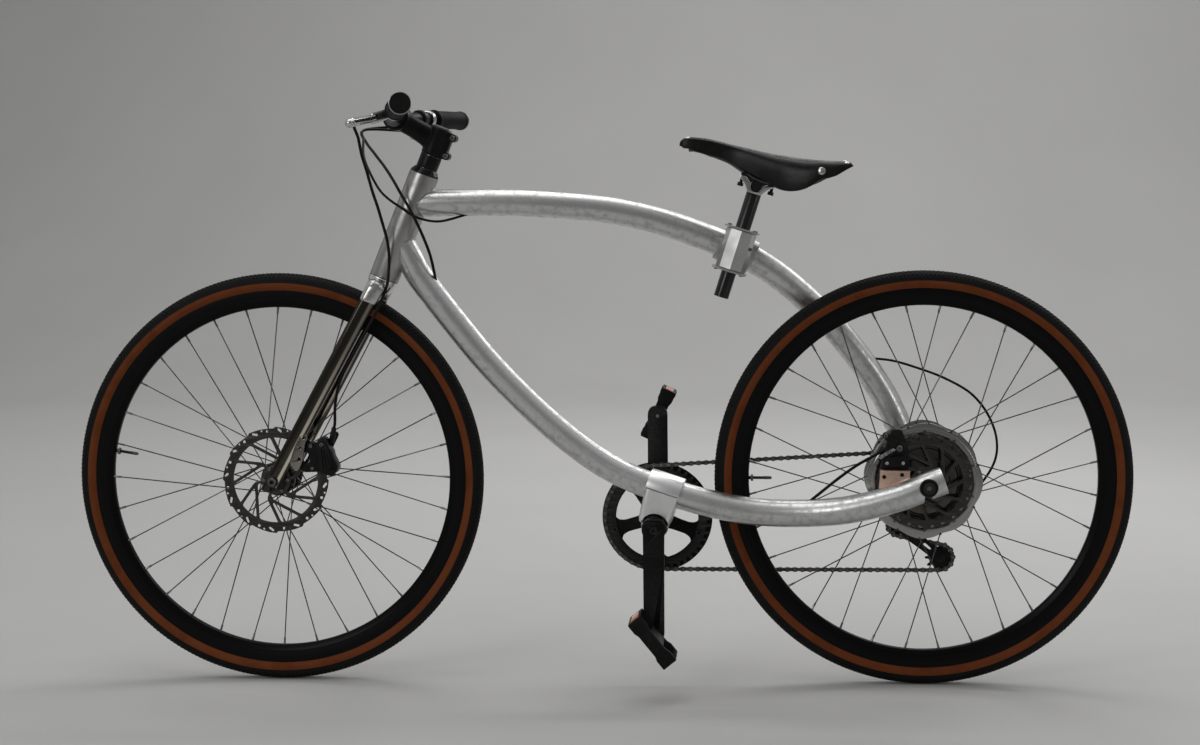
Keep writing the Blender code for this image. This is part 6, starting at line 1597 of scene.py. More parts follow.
def octagon(radius, place, low, high):
    """An eight-sided bar with its flats broken by a small chamfer at both ends."""
    rings = []
    for z, shrink in ((low, 0.96), (low + 0.0008, 1.0), (high - 0.0008, 1.0), (high, 0.96)):
        rings.append([place @ Vector((x, y, z)) for x, y in disc(radius * shrink, 8, (0.0, 0.0))])
    return skinned("octagon", rings)


def seat_clamp():
    at, heading = along(UPPER_LINE, SEAT_BLOCK_MID.x)
    sleeve = turned_on("sleeve", mm((0, 0), (28.3, 0), (29.3, 1), (29.5, 59), (28.3, 60),
                                    (0, 60)), at - heading * 0.03, at + heading * 0.03, 72)
    tilt = Matrix.Rotation(POST_TILT, 4, "Y")
    web = box("web", (0.034, 0.03, 0.052), Matrix.Translation(beside(SEAT_BLOCK_MID, 0.021)) @ tilt)
    block = octagon(SEAT_BLOCK_R * 1.21, SEAT_PLACE, -SEAT_BLOCK_HALF + 0.0004, SEAT_BLOCK_HALF - 0.0004)
    past_block = POST_DIR * 0.06
    slit_at = Matrix.Translation(SEAT_BLOCK_MID - Vector((0.02, 0.0, 0.0)))
    body = worked(sleeve, ("add", web), ("add", block),
                  ("cut", swept("tube_room", past(UPPER_LINE), TUBE_R + GAP, 56)),
                  ("cut", rod("post_bore", POST_R + GAP, SEAT_BLOCK_MID - past_block,
                              SEAT_BLOCK_MID + past_block, 48)),
                  ("cut", box("slit", (0.03, 0.0024, 0.09), slit_at @ tilt)))
    show(body, MACHINED, "frame", "seat_clamp", crisp=20)
    plates, bolts = [], []
    for way in (-1, 1):
        low, high = sorted((way * (SEAT_BLOCK_HALF + 0.0002), way * (SEAT_BLOCK_HALF + 0.0036)))
        corner = eased(mm((-30, -24), (26.5, -24), (30, 25), (-28, 25)), 0.006)
        hole = disc(POST_R + 0.0006, 40, (0.0, 0.0))
        plates.append(flat("end_plate", [corner, hole], low, high, SEAT_PLACE, 0.0005))
        for x, y in ((-0.0235, -0.0175), (0.02, -0.0175), (0.0235, 0.019), (-0.0215, 0.019)):
            at = SEAT_PLACE @ Vector((x, y, way * (SEAT_BLOCK_HALF + 0.0034)))
            bolts.append(screw_head(at, POST_DIR * way, 0.0026))
    show(joined("seat_clamp_plates", plates), MACHINED, "frame", crisp=20)
    side = SEAT_PLACE @ Vector((0.0219, -0.0091, 0.008))
    bolts.append(screw_head(side, SEAT_PLACE.to_3x3() @ Vector((0.924, -0.383, 0.0)), 0.003))
    show(joined("seat_clamp_bolts", bolts), BOLT_STEEL, "frame")


seat_clamp()

# Seat post. A straight black tube, cut square at its foot, with a round cross head that the
# saddle's cradle tilts on.

TILT_AXIS = POST_FOOT + POST_DIR * (POST_LENGTH + 0.006)
HEAD_PIN_R = 0.0095
POST_BLACK = metal("post_gloss_black", "black_anodised", (0.004, 0.0038, 0.0036), (0.008, 0.0076, 0.0072),
                   (0.12, 0.26), (420.0, 420.0, 10.0), metallic=0.0, bump=0.03, shine=0.45)


def seat_post():
    length = POST_LENGTH
    section = [(POST_BORE_R, 0.0006), (POST_BORE_R + 0.0004, 0.0), (POST_R - 0.0004, 0.0), (POST_R, 0.0005),
               (POST_R, length - 0.004), (POST_R - 0.0016, length), (0.0, length), (0.0, length - 0.02),
               (POST_BORE_R, length - 0.021)]
    tube = turned_on("tube", section, POST_FOOT, POST_FOOT + POST_DIR, 64)
    head = turned("cross_head", [(0.0, 0.019), (HEAD_PIN_R - 0.001, 0.019), (HEAD_PIN_R, 0.018),
                                 (HEAD_PIN_R, -0.018), (HEAD_PIN_R - 0.001, -0.019), (0.0, -0.019)],
                  about_y(TILT_AXIS), 48)
    show(joined("seatpost_drawn", [tube, head]), POST_BLACK, "seat_post", "seatpost")


seat_post()

# Saddle. One thick hide, wetted and stretched over a form, riveted to a steel plate at the back
# and to a small one at the nose. Its sides hang free.

SADDLE_STATIONS = (
    # x and height of the top from the tilt axis, half width, depth of the skirt
    (-0.124, 0.0762, 0.012, 0.0085), (-0.1205, 0.0796, 0.015, 0.015), (-0.112, 0.0819, 0.017, 0.0185),
    (-0.0984, 0.0817, 0.0185, 0.0235), (-0.078, 0.079, 0.02, 0.0272), (-0.056, 0.0738, 0.0215, 0.0275),
    (-0.03, 0.067, 0.027, 0.035), (0.0, 0.0597, 0.04, 0.044), (0.027, 0.0535, 0.054, 0.053),
    (0.048, 0.0498, 0.065, 0.0568), (0.07, 0.046, 0.0735, 0.053), (0.086, 0.044, 0.0785, 0.045),
    (0.103, 0.0424, 0.0815, 0.032), (0.122, 0.0409, 0.0832, 0.0265), (0.137, 0.0403, 0.082, 0.017),
    (0.15, 0.0393, 0.076, 0.0085))
SADDLE_SECTION = ((-1.0, 1.0), (-1.0, 0.7), (-0.97, 0.36), (-0.86, 0.12), (-0.52, 0.02), (0.0, 0.0))
LEATHER_T = 0.0045


def leather():
    made, tree, shader, place = new_finish("saddle_leather", "black_leather")
    cloud = placed(tree, "clouds", place=place, scale=16.0, low=0.4, high=0.72)["Mask"]
    tree.links.new(mixed(tree, cloud, (0.0038, 0.0036, 0.0034, 1.0), (0.009, 0.0086, 0.008, 1.0)),
                   shader["Base Color"])
    tree.links.new(ranged(tree, cloud, 0.26, 0.38), shader["Roughness"])
    cells = node(tree, "ShaderNodeTexVoronoi", {"Vector": place, "Scale": 620.0, "Randomness": 1.0})
    pores = noise(tree, place, 1700.0, 2.0)
    creases = noise(tree, place, 46.0, 4.0, Distortion=1.2)
    height = maths(tree, "ADD", cells.outputs["Distance"], pores)
    relief(tree, shader, height, 0.16, 0.0004)
    relief(tree, shader, creases, 0.12, 0.002, Normal=shader["Normal"].links[0].from_socket)
    shader["Specular IOR Level"].default_value = 0.2
    return made


LEATHER = leather()


def between(rows, where):
    """The row before a place in a table, the two round it, the row after, and the share between."""
    i = min(int(where), len(rows) - 2)
    return rows[max(i - 1, 0)], rows[i], rows[i + 1], rows[min(i + 2, len(rows) - 1)], where - i


def station(share):
    """The saddle's x, top, half width and skirt depth, from the nose at 0 to the tail at 1."""
    *rows, t = between(SADDLE_STATIONS, share * (len(SADDLE_STATIONS) - 1))
    return [curve_through(*values, t) for values in zip(*rows)]


def saddle_point(share, across):
    """A point of the hide's outer face; across runs from -1 at the left edge to 1."""
    x, top, half, depth = station(share)
    table = [Vector(row) for row in SADDLE_SECTION]
    past_middle = Vector((-table[-2].x, table[-2].y))
    table = [table[0] * 2 - table[1], *table, past_middle]
    where = (1 - abs(across)) * (len(SADDLE_SECTION) - 1)
    i = min(int(where), len(SADDLE_SECTION) - 2)
    wide, drop = curve_through(*table[i:i + 4], where - i)
    flare = 0.006 * max(0.0, share - 0.72) / 0.28 * drop
    return TILT_AXIS + Vector((x + flare, copysign(wide * half, across), top - max(drop, 0.0) * depth))


def saddle():
    across = [-1 + i / 24 for i in range(49)]
    rows = []
    foot = TILT_AXIS.z + SADDLE_STATIONS[0][1] - SADDLE_STATIONS[0][3]
    for k in range(5):
        turn = pi / 2 * (1 - k / 5)
        row = []
        for s in across:
            edge = saddle_point(0.0, s)
            row.append(Vector((edge.x - 0.0024 * sin(turn), edge.y * (0.75 + 0.25 * cos(turn)),
                               foot + (edge.z - foot) * cos(turn))))
        rows.append(row)
    rows += [[saddle_point(i / 70, s) for s in across] for i in range(71)]
    bm = bmesh.new()
    grid = [[bm.verts.new(p) for p in row] for row in rows]
    for a, b in zip(grid, grid[1:]):
        for i in range(len(across) - 1):
            bm.faces.new((a[i], a[i + 1], b[i + 1], b[i]))
    hide = made_of("saddle_hide", bm)
    if sum(face.normal.z for face in hide.data.polygons) < 0:
        hide.data.flip_normals()
    thick = hide.modifiers.new("hide", "SOLIDIFY")
    thick.thickness = LEATHER_T
    thick.offset = -1.0
    thick.use_even_offset = True
    edge = hide.modifiers.new("edge", "BEVEL")
    edge.width = 0.0008
    edge.segments = 2
    edge.limit_method = "ANGLE"
    edge.angle_limit = radians(60)
    show(worked(hide), LEATHER, "saddle", "saddle", crisp=55)


RIVET_STEEL = metal("rivet_steel", "polished_steel", (0.6, 0.59, 0.57), (0.42, 0.41, 0.4), (0.16, 0.3),
                    900.0, bump=0.03)


def rivets():
    found = []
    spots = [(0.803, s * 0.74) for s in (-1, 1)] + [(0.965, y) for y in (-0.52, -0.2, 0.2, 0.52)]
    spots += [(0.13, -0.3), (0.13, 0.3), (0.1, 0.0)]
    for share, across in spots:
        at = saddle_point(share, across)
        fore = saddle_point(share + 0.01, across) - saddle_point(share - 0.01, across)
        beside = saddle_point(share, across + 0.01) - saddle_point(share, across - 0.01)
        out = fore.cross(beside).normalized()
        if out.z < 0:
            out = -out
        r = 0.0062 if abs(across) > 0.6 else (0.004 if share > 0.5 else 0.003)
        dome = [(0.0, 0.0016)] + [(r * sin(a), 0.0016 * cos(a)) for a in (0.35, 0.7, 1.05, 1.4)]
        dome += [(r, -0.0003), (r * 0.6, -0.0012)]
        found.append(turned_on("rivet", dome, at, at + out, 28))
    show(joined("saddle_rivets", found), RIVET_STEEL, "saddle")


saddle()
rivets()

# Saddle frame. Two sprung steel rails with a plate at each end, and the two-piece cradle that
# clamps them: a bright yoke on the post's head, a cap, and a black bolt front and back.

RAIL_POINTS = (
    # x, half width and height from the tilt axis
    (-0.1072, 0.004, 0.0626), (-0.0872, 0.006, 0.058), (-0.0652, 0.0095, 0.05), (-0.0432, 0.014, 0.0405),
    (-0.0202, 0.0185, 0.025), (0.0048, 0.0205, 0.0105), (0.0348, 0.021, 0.0021), (0.0648, 0.025, -0.0004),
    (0.0968, 0.034, 0.0066), (0.1328, 0.045, 0.0266))
RAIL_STEEL = metal("rail_steel", "polished_steel", (0.1, 0.1, 0.097), (0.06, 0.06, 0.058), (0.2, 0.36),
                   900.0, bump=0.03)


def saddle_frame():
    parts = []
    for side in (-1, 1):
        line = smooth_path([TILT_AXIS + Vector((x, side * y, z)) for x, y, z in RAIL_POINTS], 60)
        parts.append(swept("rail", line, 0.0035, 20))
    nose = TILT_AXIS + Vector((-0.1052, 0.0, 0.0655))
    corners = mm((-6, -8), (6, -8), (6, 8), (-6, 8))
    parts.append(flat("nose_plate", [eased(corners, 0.002)], -0.0073, 0.0073, Matrix.Translation(nose),
                      0.0012))
    parts.append(rod("tension_bolt", 0.0026, nose + Vector((0.004, 0.0, -0.003)),
                     nose + Vector((0.034, 0.0, -0.015)), 16))
    rings = []
    for i in range(33):
        y = -0.064 + 0.128 * i / 32
        bow = (y / 0.064) ** 2
        at = TILT_AXIS + Vector((0.1358 - 0.01 * bow, y, 0.033 - 0.006 * bow ** 2))
        place = Matrix.Translation(at) @ Matrix.Rotation(pi / 2, 4, "X")
        rings.append(oval(place, 0.0052, 0.004, 6.0, 20))
    parts.append(skinned("cantle_plate", rings))
    show(joined("saddle_rails_and_plates", parts), RAIL_STEEL, "saddle", "saddle_frame")

    place = Matrix.Translation(TILT_AXIS) @ Matrix.Rotation(POST_TILT, 4, "Y")

    def axle_room():
        return "cut", crosswise("head_room", HEAD_PIN_R + GAP, TILT_AXIS, -0.03, 0.03, 48)
    yoke = mm((-30, 6.2), (-25, 3.2), (-19.5, -1), (-14, -8.5), (-11, -12.8), (11, -12.8), (14, -8.5),
              (19.5, -1), (25, 3.2), (30, 6.2), (30, 11.2), (22, 10.6), (12.5, 3.4), (-12.5, 3.4),
              (-22, 10.6), (-30, 11.2))
    lower = plate("yoke", [eased(yoke, 0.0012)], -0.0235, 0.0235, 0.001)
    lower.data.transform(place)
    lower = worked(lower, axle_room(),
                   ("cut", rod("post_room", POST_R + 0.0018, TILT_AXIS - POST_DIR * 0.03, TILT_AXIS, 40)))
    show(lower, BRACKET_STEEL, "saddle")
    cap = mm((-30, 11.8), (-21, 11.2), (-12, 4), (12, 4), (21, 11.2), (30, 11.8), (30, 15), (24, 18),
             (-24, 18), (-30, 15))
    upper = plate("cap", [eased(cap, 0.0012)], -0.0225, 0.0225, 0.001)
    upper.data.transform(place)
    show(worked(upper, axle_room()), SATIN_BLACK, "saddle")
    bolts = []
    for x in (-0.0262, 0.0262):
        shank = mm((0, 21.2), (4, 21.2), (4.6, 20), (4.6, 18), (2.6, 18), (2.6, -1), (4.8, -1), (5, -1.8),
                   (5, -6.2), (4.4, -7), (2.6, -7), (2.4, -4), (0, -4))
        bolts.append(turned("cradle_bolt", shank, place @ Matrix.Translation((x, 0.0, 0.0)), 24))
    show(joined("saddle_cradle_bolts", bolts), SATIN_BLACK, "saddle")


saddle_frame()

# Bottom bracket. Two halves of a machined aluminium clamp close round the lower tube. The lower
# one is a block that holds the bearing shell, and a black cup is screwed into each end of it.

CRANK_AXLE = Vector((0.096, 0.0, 0.271))
SHELL_R = 0.023
SHELL_HALF = 0.034
CUP_R = 0.022
CUP_W = 0.0055
CLAMP_R = 0.029
CLAMP_HALF = 0.0285
CLAMP_SPLIT = 0.002
SPINDLE_R = 0.012
CLAMP_AT, CLAMP_WAY = along(LOWER_LINE, 0.112)
CLAMP_SIDE = Vector((0.0, 0.0, 1.0)).cross(CLAMP_WAY).normalized()
CLAMP_UP = CLAMP_WAY.cross(CLAMP_SIDE)
CLAMP_PLACE = (Matrix.Translation(CLAMP_AT)
               @ Matrix((CLAMP_WAY, CLAMP_SIDE, CLAMP_UP)).transposed().to_4x4())

CLAMP_ALLOY = metal("clamp_aluminium", "brushed_aluminium", (0.86, 0.86, 0.85), (0.74, 0.74, 0.73),
                    (0.34, 0.44), 700.0, clouds=(10.0, 0.45, 0.72), bump=0.015)
CUP_BLACK = metal("cup_black", "black_anodised", 0.0045, 0.01, (0.28, 0.42), 900.0, metallic=0.0,
                  wear=0.12, bump=0.05, shine=0.14)


def clamp_cap():
    """The upper jaw: a half round back, cut off flat at the split."""
    reach = CLAMP_WAY * CLAMP_HALF
    jaw = rod("clamp_cap_jaw", CLAMP_R, CLAMP_AT - reach, CLAMP_AT + reach, 96)
    split = Matrix.Translation((0.0, 0.0, CLAMP_SPLIT / 2 - 0.03))
    below = box("below", (0.2, 0.2, 0.06), CLAMP_PLACE @ split)
    return worked(jaw, ("cut", below), ("cut", tube_bed()), bevel=0.001, segments=3, angle=30)


def tube_bed():
    return swept("tube_bed", [point for point in LOWER_LINE if abs(point.x - CLAMP_AT.x) < 0.07],
                 TUBE_R + GAP, 56)


def clamp_block():
    """The lower jaw: a block with soft corners that narrows down to the bearing shell.

    A round recess in its near side leaves room for the cup and for the crank's boss.
    """
    rings = []
    for down, half in ((CLAMP_SPLIT / 2, 0.0283), (0.0016, 0.0285), (0.02, 0.028), (0.04, 0.0266),
                       (0.051, 0.0255), (0.056, 0.0238), (0.0585, 0.0205)):
        rings.append(oval(CLAMP_PLACE @ Matrix.Translation((0.0, 0.0, -down)), half, CLAMP_R, 9.0, 72))
    shell = crosswise("shell", SHELL_R, CRANK_AXLE, -SHELL_HALF, SHELL_HALF, 72)
    recess = crosswise("recess", 0.0245, CRANK_AXLE, -SHELL_HALF - GAP, -0.12, 72)
    bore = crosswise("bearing_bore", CUP_R - 0.004, CRANK_AXLE, -0.05, 0.05, 64)
    return worked(skinned("clamp_block_jaw", rings), ("add", shell), ("cut", tube_bed()), ("cut", recess),
                  ("cut", bore), bevel=0.0009, segments=2, angle=40)


show(clamp_cap(), CLAMP_ALLOY, "frame", "bb_clamp_cap")
show(clamp_block(), CLAMP_ALLOY, "frame", "bb_clamp_block")


def bearing_cup(side):
    """A notched ring outside the shell, with the bearing's seal and the spindle's collar in it."""
    centre = flat_xz(CRANK_AXLE)
    edge = [polar(CUP_R if k % 12 < 9 else CUP_R - 0.0018, 2 * pi * k / 96, centre) for k in range(96)]
    inner, outer = sorted((side * (SHELL_HALF + GAP), side * (SHELL_HALF + GAP + CUP_W)))
    label = SIDES[side]
    hole = disc(SPINDLE_R + 0.0045, 48, centre)
    ring = plate("cup_" + label + "_ring", [edge, hole], inner, outer, 0.0005)
    seal = turned("seal", mm((0.8, 0), (4.6, 0), (4.6, 3), (0.8, 2.8), base=(SPINDLE_R, 0)),
                  about_y(beside(CRANK_AXLE, side * (SHELL_HALF + 0.0012) - 0.0015)), 48, closed=True)
    show(joined("bearing_cup_" + label, [ring, seal]), CUP_BLACK, "frame", "bb_cup_" + label)


bearing_cup(-1)
bearing_cup(1)

# Cranks. Forged aluminium arms with rounded ends, painted black. The right one carries the
# spindle and a five-armed spider, and each has a socket screw at its boss.

CRANK_LENGTH = 0.17
CRANK_IN_Y = 0.0748
CRANK_OUT_Y = 0.0888
CHAIN_LINE = 0.044
TOOTH_T = 0.0018
RING_TEETH = 44
SPIDER_IN = CHAIN_LINE + TOOTH_T / 2 + GAP
SPIDER_OUT = SPIDER_IN + 0.004
SPIDER_TURN = radians(52)
PEDAL_IN_Y = 0.0938
PEDAL_W = 0.06
PEDAL_L = 0.092
PEDAL_AXLE_R = 0.0065

CRANK_BLACK = metal("crank_black", "black_anodised", 0.0045, 0.01, (0.3, 0.46), 700.0, metallic=0.0,
                    wear=0.05, bump=0.04, shine=0.08)


def pedal_eye(side):
    """The pedal's end of a crank: the right one stands up and the left one down."""
    return CRANK_AXLE + Vector((0.0, 0.0, side * CRANK_LENGTH))


def arm_outline(up):
    """The arm from the side, as wide at the pedal as at the boss."""
    x, z = CRANK_AXLE.x, CRANK_AXLE.z
    far = z + up * CRANK_LENGTH
    right = [(x + 0.012, z - up * 0.018), (x + 0.0176, z - up * 0.012), (x + 0.0172, z + up * 0.04),
             (x + 0.0168, far + up * 0.008), (x + 0.01, far + up * 0.0165)]
    return eased([(2 * x - a, b) for a, b in reversed(right)] + right, 0.008, steps=5)


def spider():
    """Five arms that open out from the boss, with round throats between them."""
    edge = []
    half_arm = [(0.024, 0.52), (0.036, 0.3), (0.055, 0.19), (0.066, 0.21), (0.0745, 0.34), (0.079, 0.34)]
    for i in range(5):
        middle = SPIDER_TURN + 2 * pi * i / 5
        edge += [polar(r, middle - half, flat_xz(CRANK_AXLE)) for r, half in half_arm]
        edge += [polar(r, middle + half, flat_xz(CRANK_AXLE)) for r, half in reversed(half_arm)]
    return plate("spider", [eased(edge, 0.004, steps=3)], SPIDER_IN, SPIDER_OUT, 0.0008)


def crank(side):
    label, eye = SIDES[side], pedal_eye(side)
    low, high = sorted((side * CRANK_IN_Y, side * CRANK_OUT_Y))
    boss_in = SPIDER_IN if side > 0 else 0.0425
    boss = [(0.0, CRANK_IN_Y + 0.004), (0.02, CRANK_IN_Y + 0.004), (0.02, boss_in + 0.006),
            (0.0188, boss_in), (0.0, boss_in)]
    stand = about_y(CRANK_AXLE) @ facing(side)
    face, clear = side * CRANK_OUT_Y, side * 0.12
    arm = worked(plate("arm", [arm_outline(side)], low, high),
                 ("cut", crosswise("socket", 0.0075, CRANK_AXLE, face - side * 0.0045, clear, 40)),
                 ("cut", crosswise("pedal_bore", 0.0085, eye, face - side * 0.0012, clear, 40)),
                 bevel=0.0032, segments=4, angle=50)
    parts = [arm, turned("boss", boss, stand, 56)]
    if side > 0:
        parts += [spider(), crosswise("spindle", SPINDLE_R, CRANK_AXLE, SPIDER_IN + 0.002,
                                      -CRANK_IN_Y - 0.01, 40)]
    show(joined("crank_" + label + "_forged", parts), CRANK_BLACK, "crank", "crank_" + label)
    bolt = mm((0, -3.5), (3.4, -3.5), (3.8, 0), (6.2, 0), (7, -0.8), (7, -5))
    bolt_place = stand @ Matrix.Translation((0.0, 0.0, CRANK_OUT_Y - 0.0008))
    show(turned("crank_bolt_" + label, bolt, bolt_place, 36), CUP_BLACK, "crank")
    reach = PEDAL_IN_Y + PEDAL_W - 0.012 - CRANK_OUT_Y
    axle = [(0.0, -0.015), (0.003, -0.015), (0.0034, -0.0132), (0.007, -0.0132), (0.0078, -0.0142),
            (0.0078, 0.0), (0.0102, 0.0004), (0.0105, 0.0012), (0.0105, 0.003), (0.0098, 0.004),
            (0.0075, 0.0044), (PEDAL_AXLE_R, 0.0052), (PEDAL_AXLE_R, reach), (0.0, reach)]
    place = about_y(beside(eye, side * CRANK_OUT_Y)) @ facing(side)
    show(turned("pedal_axle_" + label, axle, place, 36), BOLT_STEEL, "crank")


crank(1)
crank(-1)

# Chainring and its guard. A stamped steel ring with 44 teeth, and a black ring outside it that
# keeps the trousers off. Five screws hold both to the spider.

PITCH = 0.0127
ROLLER_R = 0.0039
GUARD_R = 0.094
GUARD_IN = SPIDER_OUT + GAP
GUARD_OUT = GUARD_IN + 0.003
RING_BORE_R = 0.07
RING_PHASE = -1.5828

CHAIN_STEEL = metal("chain_steel", "oiled_steel", (0.06, 0.058, 0.054), (0.03, 0.029, 0.027),
                    (0.26, 0.44), 800.0, clouds=(60.0, 0.42, 0.68), wear=0.35, bump=0.06)
RING_STEEL = metal("ring_steel", "oiled_steel", (0.022, 0.022, 0.021), (0.012, 0.012, 0.011),
                   (0.26, 0.42), (1600.0, 900.0, 1.0), along=True, clouds=(40.0, 0.42, 0.68), wear=0.3,
                   bump=0.06)
GUARD_BLACK = metal("guard_black", "black_anodised", 0.005, 0.011, (0.26, 0.4), 900.0, metallic=0.0,
                    wear=0.05, bump=0.04, shine=0.08)


def pitch_radius(teeth):
    return teeth * PITCH / (2 * pi)


def sprocket_edge(teeth, centre, phase):
    """Round seats for the rollers and a tooth with a flat tip between each two."""
    pitch_r = pitch_radius(teeth)
    step = 2 * pi / teeth
    edge = []
    for i in range(teeth):
        middle = phase + step * i
        for rise, half in ((0.003, -0.0007), (0.003, 0.0007), (0.001, 0.0023)):
            edge.append(polar(pitch_r + rise, middle + half / pitch_r, centre))
        seat = middle + step / 2
        edge += arc(ROLLER_R + 0.0002, seat + pi + 1.05, seat + pi - 1.05, 5, polar(pitch_r, seat, centre))
        edge.append(polar(pitch_r + 0.001, middle + step - 0.0023 / pitch_r, centre))
    return edge


def chain_ring():
    centre = flat_xz(CRANK_AXLE)
    place = about_y(CRANK_AXLE)
    loops = [sprocket_edge(RING_TEETH, centre, RING_PHASE), disc(RING_BORE_R, 96, centre)]
    ring = plate("chainring_steel", loops, CHAIN_LINE - TOOTH_T / 2, CHAIN_LINE + TOOTH_T / 2, 0.0002)
    show(ringed(ring, place), RING_STEEL, "crank", "chainring")
    guard = plate("chain_guard_ring", [disc(GUARD_R, 144, centre), disc(RING_BORE_R + 0.003, 96, centre)],
                  GUARD_IN, GUARD_OUT, 0.001)
    show(guard, GUARD_BLACK, "crank", "chain_guard")
    heads = []
    for i in range(5):
        x, z = polar(0.075, SPIDER_TURN + 2 * pi * i / 5)
        spot = CRANK_AXLE + Vector((x, 0.0, z))
        heads.append(screw_head(beside(spot, GUARD_OUT - 0.0004), (0, 1, 0), 0.0042))
        heads.append(screw_head(beside(spot, CHAIN_LINE - TOOTH_T / 2), (0, -1, 0), 0.0048))
    show(joined("chainring_screws", heads), CUP_BLACK, "crank")


chain_ring()

# Chain. 124 pitches of half an inch: inner plates pressed on bushes and outer plates on pins, all
# shaped like an eight, with a roller on every bush.

CAGE_LENGTH = 0.088
PULLEY_TEETH = 11
SPROCKET_TEETH = (28, 24, 22, 20, 18, 16, 14)
DRIVEN_SPROCKET = 3
CHAIN_PITCHES = 124
CAGE_ANGLE = -0.70819437
GUIDE_AXLE = REAR_AXLE + Vector((-0.033, CHAIN_LINE, -0.084))
TENSION_AXLE = GUIDE_AXLE + CAGE_LENGTH * Vector((cos(CAGE_ANGLE), 0.0, sin(CAGE_ANGLE)))
INNER_LINK_Y = 0.00155
LINK_PLATE_T = 0.0009
PIN_R = 0.0018


def tangent(first, second):
    """The straight run that leaves the first circle and joins the second."""
    (c1, r1, s1), (c2, r2, s2) = first, second
    across = c2 - c1
    heading = atan2(across.y, across.x) + asin((s1 * r1 - s2 * r2) / across.length)
    normal = Vector((sin(heading), -cos(heading)))
    return c1 + normal * s1 * r1, c2 + normal * s2 * r2


def chain_stretches():
    """Straight and round stretches of the chain's path, each with its length."""
    wheels = [(Vector(flat_xz(axle)), pitch_radius(teeth), sense)
              for axle, teeth, sense in ((CRANK_AXLE, RING_TEETH, -1),
                                         (REAR_AXLE, SPROCKET_TEETH[DRIVEN_SPROCKET], -1),
                                         (GUIDE_AXLE, PULLEY_TEETH, 1), (TENSION_AXLE, PULLEY_TEETH, -1))]
    runs = [tangent(wheels[i], wheels[(i + 1) % 4]) for i in range(4)]
    found = []
    for i in range(4):
        start, end = runs[i]
        found.append(("line", start, end, (end - start).length))
        centre, radius, sense = wheels[(i + 1) % 4]
        a, b = end - centre, runs[(i + 1) % 4][0] - centre
        first = atan2(a.y, a.x)
        sweep = (atan2(b.y, b.x) - first) * sense % (2 * pi)
        found.append(("arc", (centre, radius, first, sense), None, radius * sweep))
    return found


STRETCHES = chain_stretches()
CHAIN_RUN = sum(stretch[3] for stretch in STRETCHES)


def on_chain(distance):
    """The point of the chain's path at a distance along it."""
    left = distance % CHAIN_RUN
    for kind, a, b, length in STRETCHES:
        if left <= length:
            if kind == "line":
                return a.lerp(b, left / length)
            centre, radius, first, sense = a
            return Vector(polar(radius, first + sense * left / radius, centre))
        left -= length
    return STRETCHES[0][1].copy()


def link_outline(here, there):
    """A plate shaped like an eight round two pins."""
    middle = (here + there) / 2
    heading = atan2(there.y - here.y, there.x - here.x)
    across = Vector((-sin(heading), cos(heading)))
    r = 0.0042
    return (arc(r, heading + pi * 0.62, heading + pi * 1.38, 6, here)
            + [tuple(middle - across * 0.0023)]
            + arc(r, heading - pi * 0.38, heading + pi * 0.38, 6, there)
            + [tuple(middle + across * 0.0023)])


def chain():
    """Every link as its two plates, and every pin with its roller."""
    bm = bmesh.new()
    pins = [on_chain(k * PITCH) for k in range(CHAIN_PITCHES)]
    pin_half = INNER_LINK_Y + 2 * LINK_PLATE_T + 0.0006
    for k, here in enumerate(pins):
        there = pins[(k + 1) % CHAIN_PITCHES]
        middle = (here + there) / 2
        near = INNER_LINK_Y if k % 2 else INNER_LINK_Y + LINK_PLATE_T + 0.0001
        outline = link_outline(here, there)
        layers = ((near, 1.0), (near + LINK_PLATE_T * 0.75, 1.0), (near + LINK_PLATE_T, 0.9))
        for side in (-1, 1):
            skin_through(bm, [[(middle.x + (x - middle.x) * shrink, CHAIN_LINE + side * depth,
                                middle.y + (z - middle.y) * shrink) for x, z in outline]
                              for depth, shrink in layers])
        for radius, half in ((ROLLER_R, INNER_LINK_Y), (PIN_R, pin_half)):
            skin_through(bm, [[(x, CHAIN_LINE + y, z) for x, z in disc(radius, 10, here)]
                              for y in (-half, half)])
    show(made_of("chain_links", bm), CHAIN_STEEL, "frame", "chain")


chain()

# Pedals. Moulded platforms with an open cage each side of the barrel, ribbed treads, and an amber
# reflector let into both ends.

PEDAL_LEAN = {-1: radians(51), 1: radians(115)}
PEDAL_PLASTIC = rubber("pedal_plastic", "black_anodised", 0.004, 0.0095, (0.4, 0.58), 900.0, 0.15, 0.0002)


def reflector_amber():
    """Clear amber plastic over small prisms."""
    made, tree, shader, place = new_finish("reflector_amber", "")
    prisms = node(tree, "ShaderNodeTexVoronoi", {"Vector": place, "Scale": 420.0}).outputs["Distance"]
    tint = mixed(tree, prisms, (0.9, 0.24, 0.015, 1.0), (0.55, 0.1, 0.008, 1.0))
    tree.links.new(tint, shader["Base Color"])
    relief(tree, shader, prisms, 0.5, 0.0006)
    tree.links.new(ranged(tree, prisms, 0.12, 0.3), shader["Roughness"])
    shader["Coat Weight"].default_value = 0.6
    return made


AMBER = reflector_amber()


